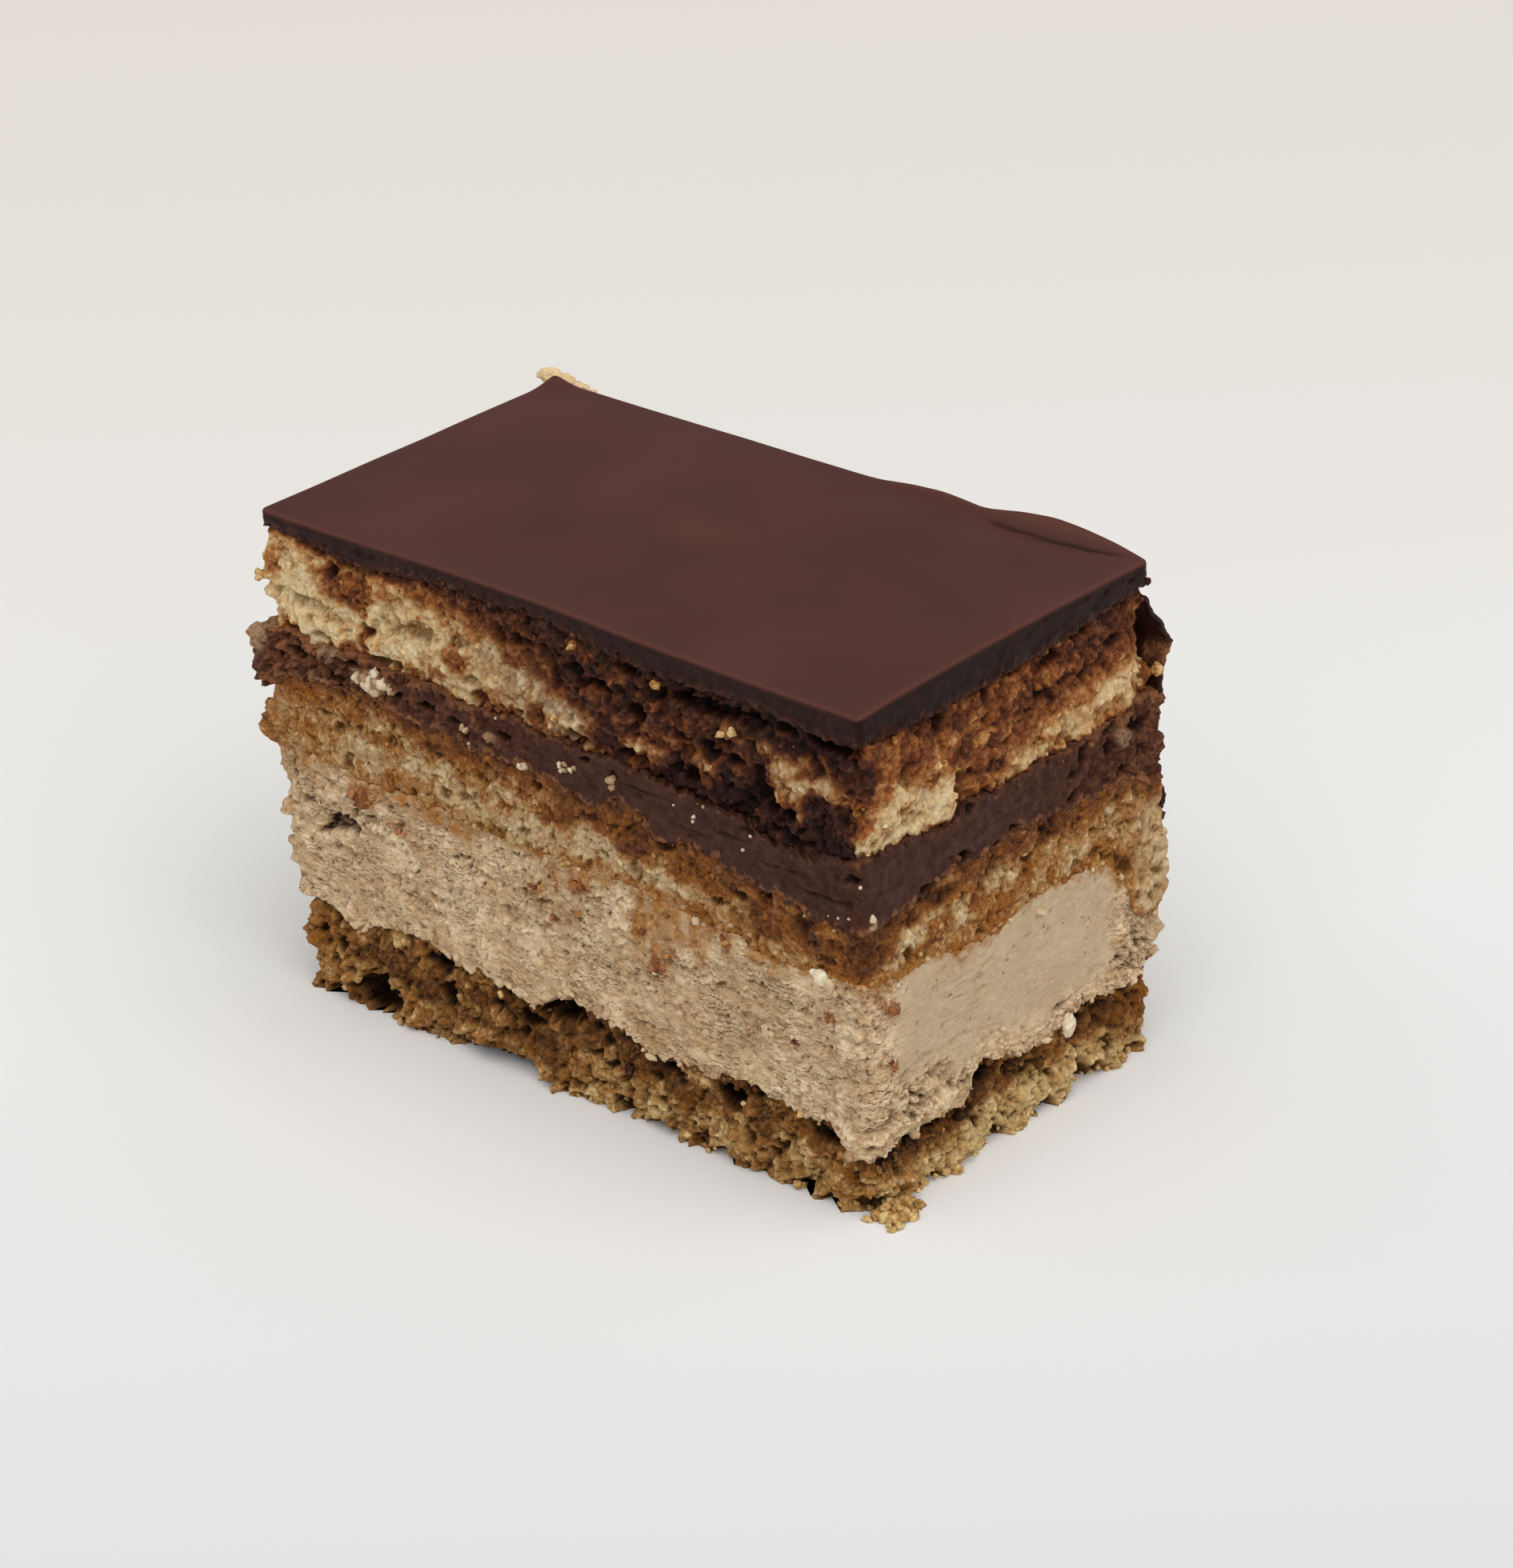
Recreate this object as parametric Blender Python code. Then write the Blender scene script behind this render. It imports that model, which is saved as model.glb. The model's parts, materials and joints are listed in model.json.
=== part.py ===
"""Opera cake portion: a cut rectangular slice of six stacked layers.

From the base up: coffee-soaked almond sponge, a thick band of coffee buttercream,
a second sponge, a band of chocolate ganache, a third sponge and a chocolate glaze.
Each layer is one closed solid that runs through the whole slice.  The layers lie on
one another and keep a 0.3 mm joint line.

Frame: X runs along the long cut side, Y across the slice, +Z up, base at Z = 0,
origin under the middle of the bounding box.  Metres.
"""
import math

import bmesh
import bpy
from mathutils import Vector, noise

MM = 0.001

# ---------------------------------------------------------------- sizes (millimetres)
LENGTH = 80.5            # nominal length of the slice, along X
WIDTH = 44.0             # nominal width of the slice, along Y
JOINT = 0.34             # open line between two layers that touch

# Height of each joint line above the base at the slice's corners:
# front left, front right, back right, back left; then the rise at mid-length and mid-width.
JOINTS = {
    "base":        (0.0, 0.0, 0.0, 0.0, 0.0, 0.0),
    "cream_foot":  (10.2, 7.6, 9.8, 10.4, 1.0, 0.3),
    "cream_top":   (28.4, 25.2, 24.6, 27.6, 0.4, 0.0),
    "choc_foot":   (36.6, 31.7, 32.0, 35.8, 0.8, 0.6),
    "choc_top":    (41.6, 38.5, 39.3, 41.0, 0.1, 0.1),
    "glaze_foot":  (52.2, 51.2, 51.3, 52.2, 0.4, 0.1),
    "glaze_top":   (54.8, 54.2, 54.7, 54.9, 0.1, 0.0),
}
WAVE_HEIGHT = {          # slow unevenness of the joint lines, as spread by hand
    "base": 0.0, "cream_foot": 0.55, "cream_top": 0.40, "choc_foot": 0.45,
    "choc_top": 0.40, "glaze_foot": 0.15, "glaze_top": 0.08,
}

# Layers from the base up: joint below, joint above, how far each cut side stands out
# (left, right, front, back), how rough the cut is, how far the middle of the side
# swells, radius of the upright edges, levels up the side, and the colour (linear RGB)
# with its roughness.
LAYERS = [
    ("sponge_bottom", "base", "cream_foot", (-1.7, -0.2, -0.5, 0.9), 1.40, -0.35, 1.6, 3,
     (0.270, 0.150, 0.058), 0.80),
    ("buttercream", "cream_foot", "cream_top", (0.0, 0.0, 0.0, 2.2), 0.75, 0.35, 1.2, 4,
     (0.520, 0.375, 0.220), 0.62),
    ("sponge_middle", "cream_top", "choc_foot", (1.2, 0.0, 0.0, 2.4), 1.15, 0.20, 1.4, 3,
     (0.400, 0.235, 0.085), 0.82),
    ("ganache", "choc_foot", "choc_top", (1.5, 0.1, 0.0, 2.3), 0.60, 0.10, 1.0, 2,
     (0.045, 0.018, 0.015), 0.48),
    ("sponge_top", "choc_top", "glaze_foot", (0.5, -0.5, -0.7, 0.9), 1.50, -0.25, 1.5, 4,
     (0.330, 0.180, 0.062), 0.84),
    ("glaze", "glaze_foot", "glaze_top", (0.0, 0.1, -0.2, 0.2), 0.12, 0.15, 0.8, 2,
     (0.066, 0.026, 0.021), 0.36),
]

STEPS_X = 36             # stations along each long side
STEPS_Y = 20             # stations along each short side
RIM = 2.6                # width of the ring of faces behind the cut side

# The curled bead of set glaze along the back edge, left by the knife.
BEAD_FROM = 6.0          # start along X
BEAD_TO = 40.0           # end along X
BEAD_RISE = 1.05         # how far it stands above the glaze
BEAD_REACH = 1.2         # how far it leans out over the back side
BEAD_WIDTH = 1.3         # width of the ridge across Y
GROOVE_DEPTH = 0.45      # dip in front of the bead

CORNER_LIFT = 0.55       # the back left corner of the glaze is turned up this much
CORNER_SPAN = 9.0        # length of the turned-up corner


# ---------------------------------------------------------------- surface functions
def joint_height(name, x, y):
    """Height of a joint line at a point of the slice, in millimetres."""
    fl, fr, br, bl, rise_x, rise_y = JOINTS[name]
    a = min(max(x / LENGTH + 0.5, -0.1), 1.1)
    b = min(max(y / WIDTH + 0.5, -0.1), 1.1)
    z = (fl * (1 - a) + fr * a) * (1 - b) + (bl * (1 - a) + br * a) * b
    z += rise_x * math.sin(math.pi * a) + rise_y * math.sin(math.pi * b)
    amp = WAVE_HEIGHT[name]
    if amp:
        seed = 7.0 * sorted(JOINTS).index(name)
        z += amp * (0.6 * math.sin(0.17 * x + 0.09 * y + seed)
                    + 0.4 * math.sin(0.11 * y - 0.31 * x + 1.7 * seed))
    return z


def bead_run(x):
    """0 where the back edge has no bead, 1 at the bead's full height."""
    run = (x - BEAD_FROM) / (BEAD_TO - BEAD_FROM)
    if run <= 0.0 or run >= 1.0:
        return 0.0
    return math.sin(math.pi * run) ** 0.6 * (0.75 + 0.25 * math.sin(7.0 * run))


def bead_height(x, y, y_edge):
    """Ridge and groove of the glaze's back edge."""
    inside = y_edge - y
    ridge = math.exp(-(inside / BEAD_WIDTH) ** 2)
    groove = math.exp(-((inside - 2.6) / 1.2) ** 2)
    return bead_run(x) * (BEAD_RISE * ridge - GROOVE_DEPTH * groove)


def corner_lift(x, y):
    """Turned-up back left corner of the glaze."""
    dx = x + LENGTH / 2
    dy = WIDTH / 2 - y
    return CORNER_LIFT * math.exp(-(dx * dx + dy * dy) / (0.5 * CORNER_SPAN) ** 2)


def side_relief(x, y, z, seed):
    """Unevenness of a cut side: broad waves with tears and crumbs on them."""
    broad = noise.noise(Vector((x * 0.055, y * 0.055, z * 0.05 + seed)))
    torn = noise.noise(Vector((x * 0.19, y * 0.19, z * 0.24 + 3.3 * seed)))
    crumb = noise.noise(Vector((x * 0.47, y * 0.47, z * 0.43 - 1.7 * seed)))
    return 0.7 * broad + 0.7 * torn + 0.5 * crumb


def rim_station(i):
    """Station i of the outline: a point on the square -1..1, and whether it is on an
    X side, a Y side or both."""
    per = [(STEPS_X, (-1, -1), (1, -1)), (STEPS_Y, (1, -1), (1, 1)),
           (STEPS_X, (1, 1), (-1, 1)), (STEPS_Y, (-1, 1), (-1, -1))]
    for count, a, b in per:
        if i < count:
            t = i / count
            return a[0] + (b[0] - a[0]) * t, a[1] + (b[1] - a[1]) * t
        i -= count
    raise ValueError("station off the outline")


def side_point(u, v, w, spec, seed):
    """Point on the cut side for outline position u, v and height share w, in mm."""
    name, below, above, (left, right, front, back), rough, swell, radius = spec[:7]
    x = -LENGTH / 2 - left if u < 0 else LENGTH / 2 + right
    y = -WIDTH / 2 - front if v < 0 else WIDTH / 2 + back
    on_x, on_y = abs(u) > 0.9999, abs(v) > 0.9999
    if not on_x:
        x = 0.5 * (right - left) + 0.5 * (LENGTH + left + right) * u
    if not on_y:
        y = 0.5 * (back - front) + 0.5 * (WIDTH + front + back) * v
    z = joint_height(below, x, y) * (1 - w) + joint_height(above, x, y) * w
    out = rough * side_relief(x, y, z, seed) + swell * math.sin(math.pi * w)
    if on_x and on_y:                           # rounded upright edge
        out = 0.6 * out - 0.29 * radius
    if on_x:
        x += math.copysign(out, u)
    if on_y:
        y += math.copysign(out, v)
        if name == "glaze" and v > 0:           # the bead leans out over the back side
            y += BEAD_REACH * min(bead_run(x), 1.0) * w
    return x, y


def heights(x, y, spec):
    """Lower and upper face of a layer at x, y, in mm."""
    name, below, above = spec[:3]
    low = joint_height(below, x, y) + (JOINT / 2 if below != "base" else 0.0)
    high = joint_height(above, x, y)
    if name == "glaze":
        edge = WIDTH / 2 + spec[3][3] + BEAD_REACH
        high += bead_height(x, y, edge) + corner_lift(x, y)
    else:
        high -= JOINT / 2
    return low, high


# ---------------------------------------------------------------- building
def make_material(name, rgb, rough):
    mat = bpy.data.materials.new(name)
    mat.use_nodes = True
    bsdf = mat.node_tree.nodes["Principled BSDF"]
    bsdf.inputs["Base Color"].default_value = (*rgb, 1.0)
    bsdf.inputs["Roughness"].default_value = rough
    bsdf.inputs["Metallic"].default_value = 0.0
    mat.diffuse_color = (*rgb, 1.0)
    mat.roughness = rough
    return mat


def make_layer(spec, seed):
    """One closed layer: rings of points up the side, then rings inwards over both faces."""
    name, levels = spec[0], spec[7]
    insets = [RIM]                              # rings inside the side, on both faces
    if name == "glaze":
        insets = [1.0, 2.0, 3.4, 7.0, 13.0]     # finer, for the bead and the groove
    count = 2 * (STEPS_X + STEPS_Y)
    stations = [rim_station(i) for i in range(count)]
    bm = bmesh.new()

    def ring(points):
        return [bm.verts.new(Vector(p) * MM) for p in points]

    def inner(inset, upper):
        pts = []
        for u, v in stations:
            x, y = u * (LENGTH / 2 - inset), v * (WIDTH / 2 - inset)
            pts.append((x, y, heights(x, y, spec)[1 if upper else 0]))
        return ring(pts)

    loops = [inner(inset, False) for inset in ([RIM] if name == "glaze" else insets)[::-1]]
    for level in range(levels + 1):
        w = level / levels
        pts = []
        for u, v in stations:
            x, y = side_point(u, v, w, spec, seed)
            low, high = heights(x, y, spec)
            pts.append((x, y, low + (high - low) * w))
        loops.append(ring(pts))
    loops += [inner(inset, True) for inset in insets]

    for low_loop, high_loop in zip(loops, loops[1:]):
        for i in range(count):
            j = (i + 1) % count
            bm.faces.new((low_loop[i], low_loop[j], high_loop[j], high_loop[i]))
    for loop, upper in ((loops[0], False), (loops[-1], True)):
        mid = bm.verts.new(Vector((0.0, 0.0, heights(0.0, 0.0, spec)[1 if upper else 0])) * MM)
        for i in range(count):
            a, b = loop[i], loop[(i + 1) % count]
            bm.faces.new((a, b, mid) if upper else (b, a, mid))
    bmesh.ops.recalc_face_normals(bm, faces=bm.faces)
    mesh = bpy.data.meshes.new(name)
    bm.to_mesh(mesh)
    bm.free()
    obj = bpy.data.objects.new(name, mesh)
    bpy.context.scene.collection.objects.link(obj)
    mesh.materials.append(make_material(name + "_food", spec[8], spec[9]))
    return obj


def main():
    for obj in list(bpy.data.objects):
        bpy.data.objects.remove(obj, do_unlink=True)

    layers = [make_layer(spec, 1.0 + 2.7 * i) for i, spec in enumerate(LAYERS)]

    # centre the bounding box over the origin, base on Z = 0
    points = [v.co for obj in layers for v in obj.data.vertices]
    shift = Vector((
        0.5 * (min(p.x for p in points) + max(p.x for p in points)),
        0.5 * (min(p.y for p in points) + max(p.y for p in points)),
        min(p.z for p in points)))
    for obj in layers:
        for vert in obj.data.vertices:
            vert.co = vert.co - shift
        obj.data.shade_smooth()
        obj.data.set_sharp_from_angle(angle=math.radians(50.0))
    print("centring shift (mm):", [round(c * 1000, 3) for c in shift])


main()
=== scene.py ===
import json
import math

import bmesh
import bpy
import numpy as np
from mathutils import Matrix, Vector

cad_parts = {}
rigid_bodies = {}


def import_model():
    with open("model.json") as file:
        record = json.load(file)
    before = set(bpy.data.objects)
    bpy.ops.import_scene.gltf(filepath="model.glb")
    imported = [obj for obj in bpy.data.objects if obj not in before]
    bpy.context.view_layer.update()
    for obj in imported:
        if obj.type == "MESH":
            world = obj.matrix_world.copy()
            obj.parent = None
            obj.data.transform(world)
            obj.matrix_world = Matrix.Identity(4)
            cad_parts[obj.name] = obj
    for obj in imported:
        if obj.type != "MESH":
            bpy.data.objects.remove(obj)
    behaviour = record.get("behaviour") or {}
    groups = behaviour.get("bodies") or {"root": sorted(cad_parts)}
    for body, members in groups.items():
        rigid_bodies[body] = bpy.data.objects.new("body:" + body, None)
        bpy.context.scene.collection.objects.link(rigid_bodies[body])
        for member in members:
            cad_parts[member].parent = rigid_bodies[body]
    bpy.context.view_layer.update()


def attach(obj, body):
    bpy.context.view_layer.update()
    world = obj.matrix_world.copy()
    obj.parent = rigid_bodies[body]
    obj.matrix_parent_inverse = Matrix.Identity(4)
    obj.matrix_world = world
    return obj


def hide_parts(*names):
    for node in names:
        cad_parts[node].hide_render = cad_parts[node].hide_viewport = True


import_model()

MM = 0.001

# The cake's own drawing frame, in millimetres: long cut side (front) at y = -22, short cut
# side (right) at x = 40.25, base at z = 0.  SHIFT takes it to the CAD frame.
SHIFT = np.array([-0.518, 1.295, 0.0])
HX, HY = 40.25, 22.0
LOOP = 4 * (HX + HY)                       # length of the nominal outline


# =============================================================== numbers and noise
def smooth(a, b, x):
    t = np.clip((np.asarray(x, float) - a) / (b - a), 0.0, 1.0)
    return t * t * (3 - 2 * t)


def _hash(ix, iy, iz, seed):
    h = (ix.astype(np.uint32) * np.uint32(374761393)
         + iy.astype(np.uint32) * np.uint32(668265263)
         + iz.astype(np.uint32) * np.uint32(2246822519)
         + np.uint32((seed * 3266489917) & 0xFFFFFFFF))
    h = (h ^ (h >> np.uint32(15))) * np.uint32(2246822519)
    h = (h ^ (h >> np.uint32(13))) * np.uint32(3266489917)
    return h ^ (h >> np.uint32(16))


def perlin(p, seed=0):
    """Gradient noise, about -1 to 1, for points p (N, 3)."""
    p = np.asarray(p, float)
    i = np.floor(p).astype(np.int64)
    f = p - i
    u = f * f * f * (f * (f * 6 - 15) + 10)
    out = np.zeros(len(p))
    for dx in (0, 1):
        wx = u[:, 0] if dx else 1 - u[:, 0]
        for dy in (0, 1):
            wy = u[:, 1] if dy else 1 - u[:, 1]
            for dz in (0, 1):
                wz = u[:, 2] if dz else 1 - u[:, 2]
                h = _hash(i[:, 0] + dx, i[:, 1] + dy, i[:, 2] + dz, seed)
                gx = (h & np.uint32(1023)).astype(float) / 511.5 - 1
                gy = ((h >> np.uint32(10)) & np.uint32(1023)).astype(float) / 511.5 - 1
                gz = ((h >> np.uint32(20)) & np.uint32(1023)).astype(float) / 511.5 - 1
                out += wx * wy * wz * (gx * (f[:, 0] - dx) + gy * (f[:, 1] - dy)
                                       + gz * (f[:, 2] - dz))
    return out * 1.35


def fbm(p, octaves=3, seed=0, gain=0.5, lac=2.03):
    out, amp, q = 0.0, 1.0, np.asarray(p, float)
    for k in range(octaves):
        out = out + amp * perlin(q, seed + 31 * k)
        amp *= gain
        q = q * lac
    return out


def worley(p, seed=0):
    """Cell noise: distance to the nearest and second point, and the cell's own number."""
    p = np.asarray(p, float)
    i = np.floor(p).astype(np.int64)
    f = p - i
    f1 = np.full(len(p), 9.0)
    f2 = np.full(len(p), 9.0)
    own = np.zeros(len(p))
    for dx in (-1, 0, 1):
        for dy in (-1, 0, 1):
            for dz in (-1, 0, 1):
                h = _hash(i[:, 0] + dx, i[:, 1] + dy, i[:, 2] + dz, seed)
                px = (h & np.uint32(1023)).astype(float) / 1023
                py = ((h >> np.uint32(10)) & np.uint32(1023)).astype(float) / 1023
                pz = ((h >> np.uint32(20)) & np.uint32(1023)).astype(float) / 1023
                d = np.sqrt((dx + px - f[:, 0]) ** 2 + (dy + py - f[:, 1]) ** 2
                            + (dz + pz - f[:, 2]) ** 2)
                near = d < f1
                f2 = np.where(near, f1, np.minimum(f2, d))
                own = np.where(near, ((h >> np.uint32(5)) & np.uint32(1023)) / 1023.0, own)
                f1 = np.where(near, d, f1)
    return f1, f2, own


def vec_noise(p, seed):
    return np.stack([perlin(p, seed), perlin(p, seed + 101), perlin(p, seed + 202)], 1)


def rough_warp(P, seed, k=1.0):
    """Offsets that make the outline of a spot ragged; the last column stretches it."""
    w = vec_noise(P / 1.25, seed) * 0.50 + vec_noise(P / 0.5, seed + 11) * 0.24
    s = 0.22 * perlin(P / 1.7, seed + 21) + 0.20 * perlin(P / 0.6, seed + 22)
    return np.concatenate([w * k, s[:, None] * k], 1)


# =============================================================== the slice's form
# Joint heights along the four cut sides, in millimetres: pairs of (place along the side,
# height).  F runs along x, R along y, B along x, L along y.
JOINT = {
    "cream_foot": {
        "F": [(-40, 11.2), (-36.5, 11.0), (-33, 10.6), (-31, 9.2), (-29, 10.4), (-26, 11.0),
              (-21, 11.2), (-19.5, 11.8), (-17.5, 10.6), (-15, 9.8), (-12, 10.2), (-9, 9.8),
              (-7, 9.3), (-5.6, 8.6), (-4.4, 8.6), (-3, 9.4), (-2, 10.4), (0, 11.3), (2, 11.0),
              (6, 10.4), (9, 10.0), (10.5, 9.0), (13, 8.8), (15, 9.1), (17.5, 9.3), (19.5, 8.9),
              (22, 10.1), (25, 10.0), (27, 9.6), (31, 9.2), (35, 9.0), (36.5, 8.2), (37.4, 7.0),
              (38.3, 6.6), (39.3, 6.7), (40, 6.9)],
        "R": [(-22, 6.9), (-20, 6.7), (-17, 7.2), (-14, 7.3), (-11, 7.2), (-9, 6.9), (-7, 7.4),
              (-6, 9.2), (-5, 10.3), (-4, 10.6), (-2, 9.0), (0, 8.6), (3, 8.3), (5, 8.3), (7, 9.0),
              (9, 9.9), (12, 9.7), (14, 9.3), (17, 9.2), (19, 9.1), (21, 9.6), (24, 10.0)],
        "B": [(40, 10.0), (28, 9.0), (14, 10.3), (3, 9.2), (-10, 10.4), (-24, 9.6), (-40, 10.6)],
        "L": [(22, 10.6), (12, 9.5), (2, 10.4), (-9, 9.8), (-22, 11.2)]},
    "cream_top": {
        "F": [(-40, 28.2), (-35, 28.2), (-31, 28.0), (-27, 27.2), (-24.5, 27.6), (-22, 27.8),
              (-17, 27.6), (-12, 27.0), (-6, 27.0), (0, 26.8), (4, 27.2), (8, 27.4), (12, 27.2),
              (14, 27.0), (20, 26.2), (24, 26.2), (26, 25.6), (28, 25.2), (31, 24.9), (33, 25.3),
              (37, 25.6), (40, 26.0)],
        "R": [(-22, 26.0), (-20, 25.2), (-18, 24.6), (-14, 25.0), (-10, 24.6), (-6, 23.7),
              (-2, 23.5), (0, 24.2), (3, 24.8), (7, 25.0), (10, 24.6), (13, 24.2), (16, 23.6),
              (17.5, 21.5), (19, 19.4), (19.8, 17.4), (20.4, 15.6), (22, 14.8), (24, 14.6)],
        "B": [(40, 15.4), (36, 22.5), (30, 24.9), (18, 25.6), (4, 26.6), (-12, 26.3), (-26, 27.7),
              (-40, 27.9)],
        "L": [(22, 27.9), (10, 27.0), (-4, 28.2), (-14, 27.6), (-22, 28.2)]},
    "choc_foot": {
        "F": [(-40, 36.4), (-38, 36.6), (-34, 37.2), (-30, 37.3), (-25, 37.5), (-22, 36.9),
              (-18, 36.6), (-15, 36.5), (-12, 35.8), (-9, 36.2), (-5, 36.2), (-2, 36.0), (2, 35.4),
              (5, 34.4), (7, 35.5), (9, 36.3), (12, 36.0), (13.4, 33.8), (15, 33.4), (17, 34.6),
              (20, 34.2), (22, 33.7), (24, 33.2), (27, 32.4), (30, 32.3), (33, 31.9), (36, 31.6),
              (38, 31.0), (40, 31.0)],
        "R": [(-22, 31.1), (-18, 31.8), (-15, 32.2), (-12, 32.4), (-9, 33.4), (-6, 32.8), (-3, 33.0),
              (0, 33.4), (3, 33.4), (6, 32.9), (9, 32.6), (13, 32.2), (17, 32.4), (20, 31.6),
              (24, 30.4)],
        "B": [(40, 30.4), (28, 32.0), (15, 33.8), (2, 34.0), (-12, 35.3), (-27, 35.2), (-40, 36.0)],
        "L": [(22, 36.0), (11, 35.1), (0, 36.4), (-12, 35.8), (-22, 36.4)]},
    "choc_top": {
        "F": [(-40, 41.6), (-37, 42.0), (-34, 40.7), (-31, 41.7), (-28, 42.0), (-24, 41.4),
              (-21, 41.2), (-17, 41.4), (-14, 40.8), (-11, 40.3), (-8, 40.8), (-5, 41.1), (-2, 40.4),
              (1, 40.6), (7, 40.4), (12, 40.2), (16, 40.0), (19, 39.9), (22, 39.0), (24, 39.4),
              (26, 38.6), (28, 38.0), (31, 37.6), (35, 37.4), (37, 38.3), (39, 38.6), (40, 39.0)],
        "R": [(-22, 39.4), (-19, 38.8), (-16, 39.2), (-13, 38.6), (-10, 37.8), (-8, 38.2), (-6, 39.4),
              (-3, 38.8), (0, 38.9), (3, 38.8), (7, 39.0), (11, 38.9), (15, 39.2), (19, 39.2),
              (22, 40.0), (24, 40.4)],
        "B": [(40, 40.2), (30, 39.2), (17, 40.0), (5, 39.6), (-9, 40.6), (-22, 40.2), (-40, 41.3)],
        "L": [(22, 41.3), (12, 40.6), (1, 41.6), (-10, 41.0), (-22, 41.6)]},
    "glaze_foot": {
        "F": [(-40, 53.1), (-37, 52.9), (-33, 52.6), (-30, 52.4), (-27, 51.9), (-23, 52.2),
              (-20, 52.6), (-15, 52.8), (-8, 52.8), (-3, 52.9), (2, 52.6), (6, 52.3), (10, 51.8),
              (15, 51.6), (22, 51.6), (30, 51.5), (34, 51.0), (38, 50.9), (40, 51.2)],
        "R": [(-22, 51.2), (-16, 50.9), (-10, 50.5), (-4, 50.6), (0, 50.9), (3, 50.8), (8, 51.2),
              (14, 51.4), (20, 51.9), (22, 52.2)],
        "B": [(40, 52.0), (20, 51.2), (0, 51.9), (-20, 51.8), (-40, 52.7)],
        "L": [(22, 52.7), (0, 52.0), (-22, 53.0)]},
    "glaze_top": {
        "F": [(-40, 54.8), (-20, 54.75), (-8, 54.7), (0, 54.7), (10, 54.5), (20, 54.3), (30, 54.15),
              (40, 54.15)],
        "R": [(-22, 54.2), (-18, 54.45), (-10, 54.75), (0, 54.9), (8, 54.95), (16, 54.85), (22, 54.75)],
        "B": [(40, 54.75), (20, 54.6), (0, 54.75), (-20, 54.8), (-40, 54.9)],
        "L": [(22, 54.9), (0, 54.8), (-22, 54.8)]},
}
RAGGED = {"cream_foot": 0.80, "cream_top": 0.55, "choc_foot": 0.62, "choc_top": 0.80,
          "glaze_foot": 0.34, "glaze_top": 0.0}
INNER = {"cream_foot": (10.2, 7.6, 9.8, 10.4), "cream_top": (28.4, 25.2, 24.6, 27.6),
         "choc_foot": (36.9, 32.2, 32.2, 36.2), "choc_top": (41.6, 38.6, 39.4, 41.0),
         "glaze_foot": (52.3, 51.2, 51.4, 52.2), "glaze_top": (54.9, 54.2, 54.7, 54.9)}


def place_on_loop(x, y, nx, ny):
    """Distance round the nominal outline, from the front left corner."""
    s = np.where(ny < -0.707, HX + np.clip(x, -HX, HX), 0.0)
    s = np.where(nx > 0.707, 2 * HX + HY + np.clip(y, -HY, HY), s)
    s = np.where(ny > 0.707, 2 * HX + 2 * HY + HX - np.clip(x, -HX, HX), s)
    return np.where(nx < -0.707, 4 * HX + 2 * HY + HY - np.clip(y, -HY, HY), s)


def joint_at(name, s, x, y):
    """Height of a joint line where it shows, for places s round the outline."""
    if name == "base":
        return np.zeros_like(s)
    t = JOINT[name]
    pts = [(HX + np.clip(u, -HX, HX), h) for u, h in t["F"]]
    pts += [(2 * HX + HY + np.clip(u, -HY, HY), h) for u, h in t["R"]]
    pts += [(3 * HX + 2 * HY - u, h) for u, h in t["B"]]
    pts += [(4 * HX + 3 * HY - u, h) for u, h in t["L"]]
    pts.sort()
    a = np.array(pts)
    z = np.interp(s, a[:, 0], a[:, 1], period=LOOP)
    z = (z + 0.5 * np.interp(s + 0.8, a[:, 0], a[:, 1], period=LOOP)
         + 0.5 * np.interp(s - 0.8, a[:, 0], a[:, 1], period=LOOP)) / 2
    r = RAGGED[name]
    seed = 11 + 7 * sorted(JOINT).index(name)
    q = np.stack([x, y, np.zeros_like(x)], 1)
    z += r * (0.50 * perlin(q / 3.4, seed) + 0.70 * perlin(q / 1.35, seed + 1)
              + 0.80 * perlin(q / 0.62, seed + 2))
    return z


def joint_inside(name, x, y):
    if name == "base":
        return np.zeros_like(x)
    fl, fr, br, bl = INNER[name]
    a = np.clip(x / (2 * HX) + 0.5, 0, 1)
    b = np.clip(y / (2 * HY) + 0.5, 0, 1)
    return (fl * (1 - a) + fr * a) * (1 - b) + (bl * (1 - a) + br * a) * b


# Features on the cut sides are placed by side and distance: F(x, z), R(y, z), B(x, z), L(y, z).
def on_side(side, u, z):
    return {"F": (u, -HY, z), "R": (HX, u, z), "B": (u, HY + 2, z), "L": (-HX, u, z)}[side]


def spot(P, side, u, z, ru, rz, warp, soft=0.3, depth=3.5):
    """1 inside a spot with an uneven edge, 0 outside."""
    c = on_side(side, u, z)
    r = (ru, depth, rz) if side in "FB" else (depth, ru, rz)
    near = ((np.abs(P[:, 0] - c[0]) < r[0] * 1.6 + 2) & (np.abs(P[:, 1] - c[1]) < r[1] * 1.6 + 2)
            & (np.abs(P[:, 2] - c[2]) < r[2] * 1.6 + 2))
    out = np.zeros(len(P))
    if near.any():
        q = np.sqrt(sum(((P[near, k] + warp[near, k] - c[k]) / r[k]) ** 2 for k in range(3)))
        if warp.shape[1] > 3:
            q = q * (1 + warp[near, 3])
        out[near] = 1 - smooth(1 - soft, 1 + soft, q)
    return out


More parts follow.
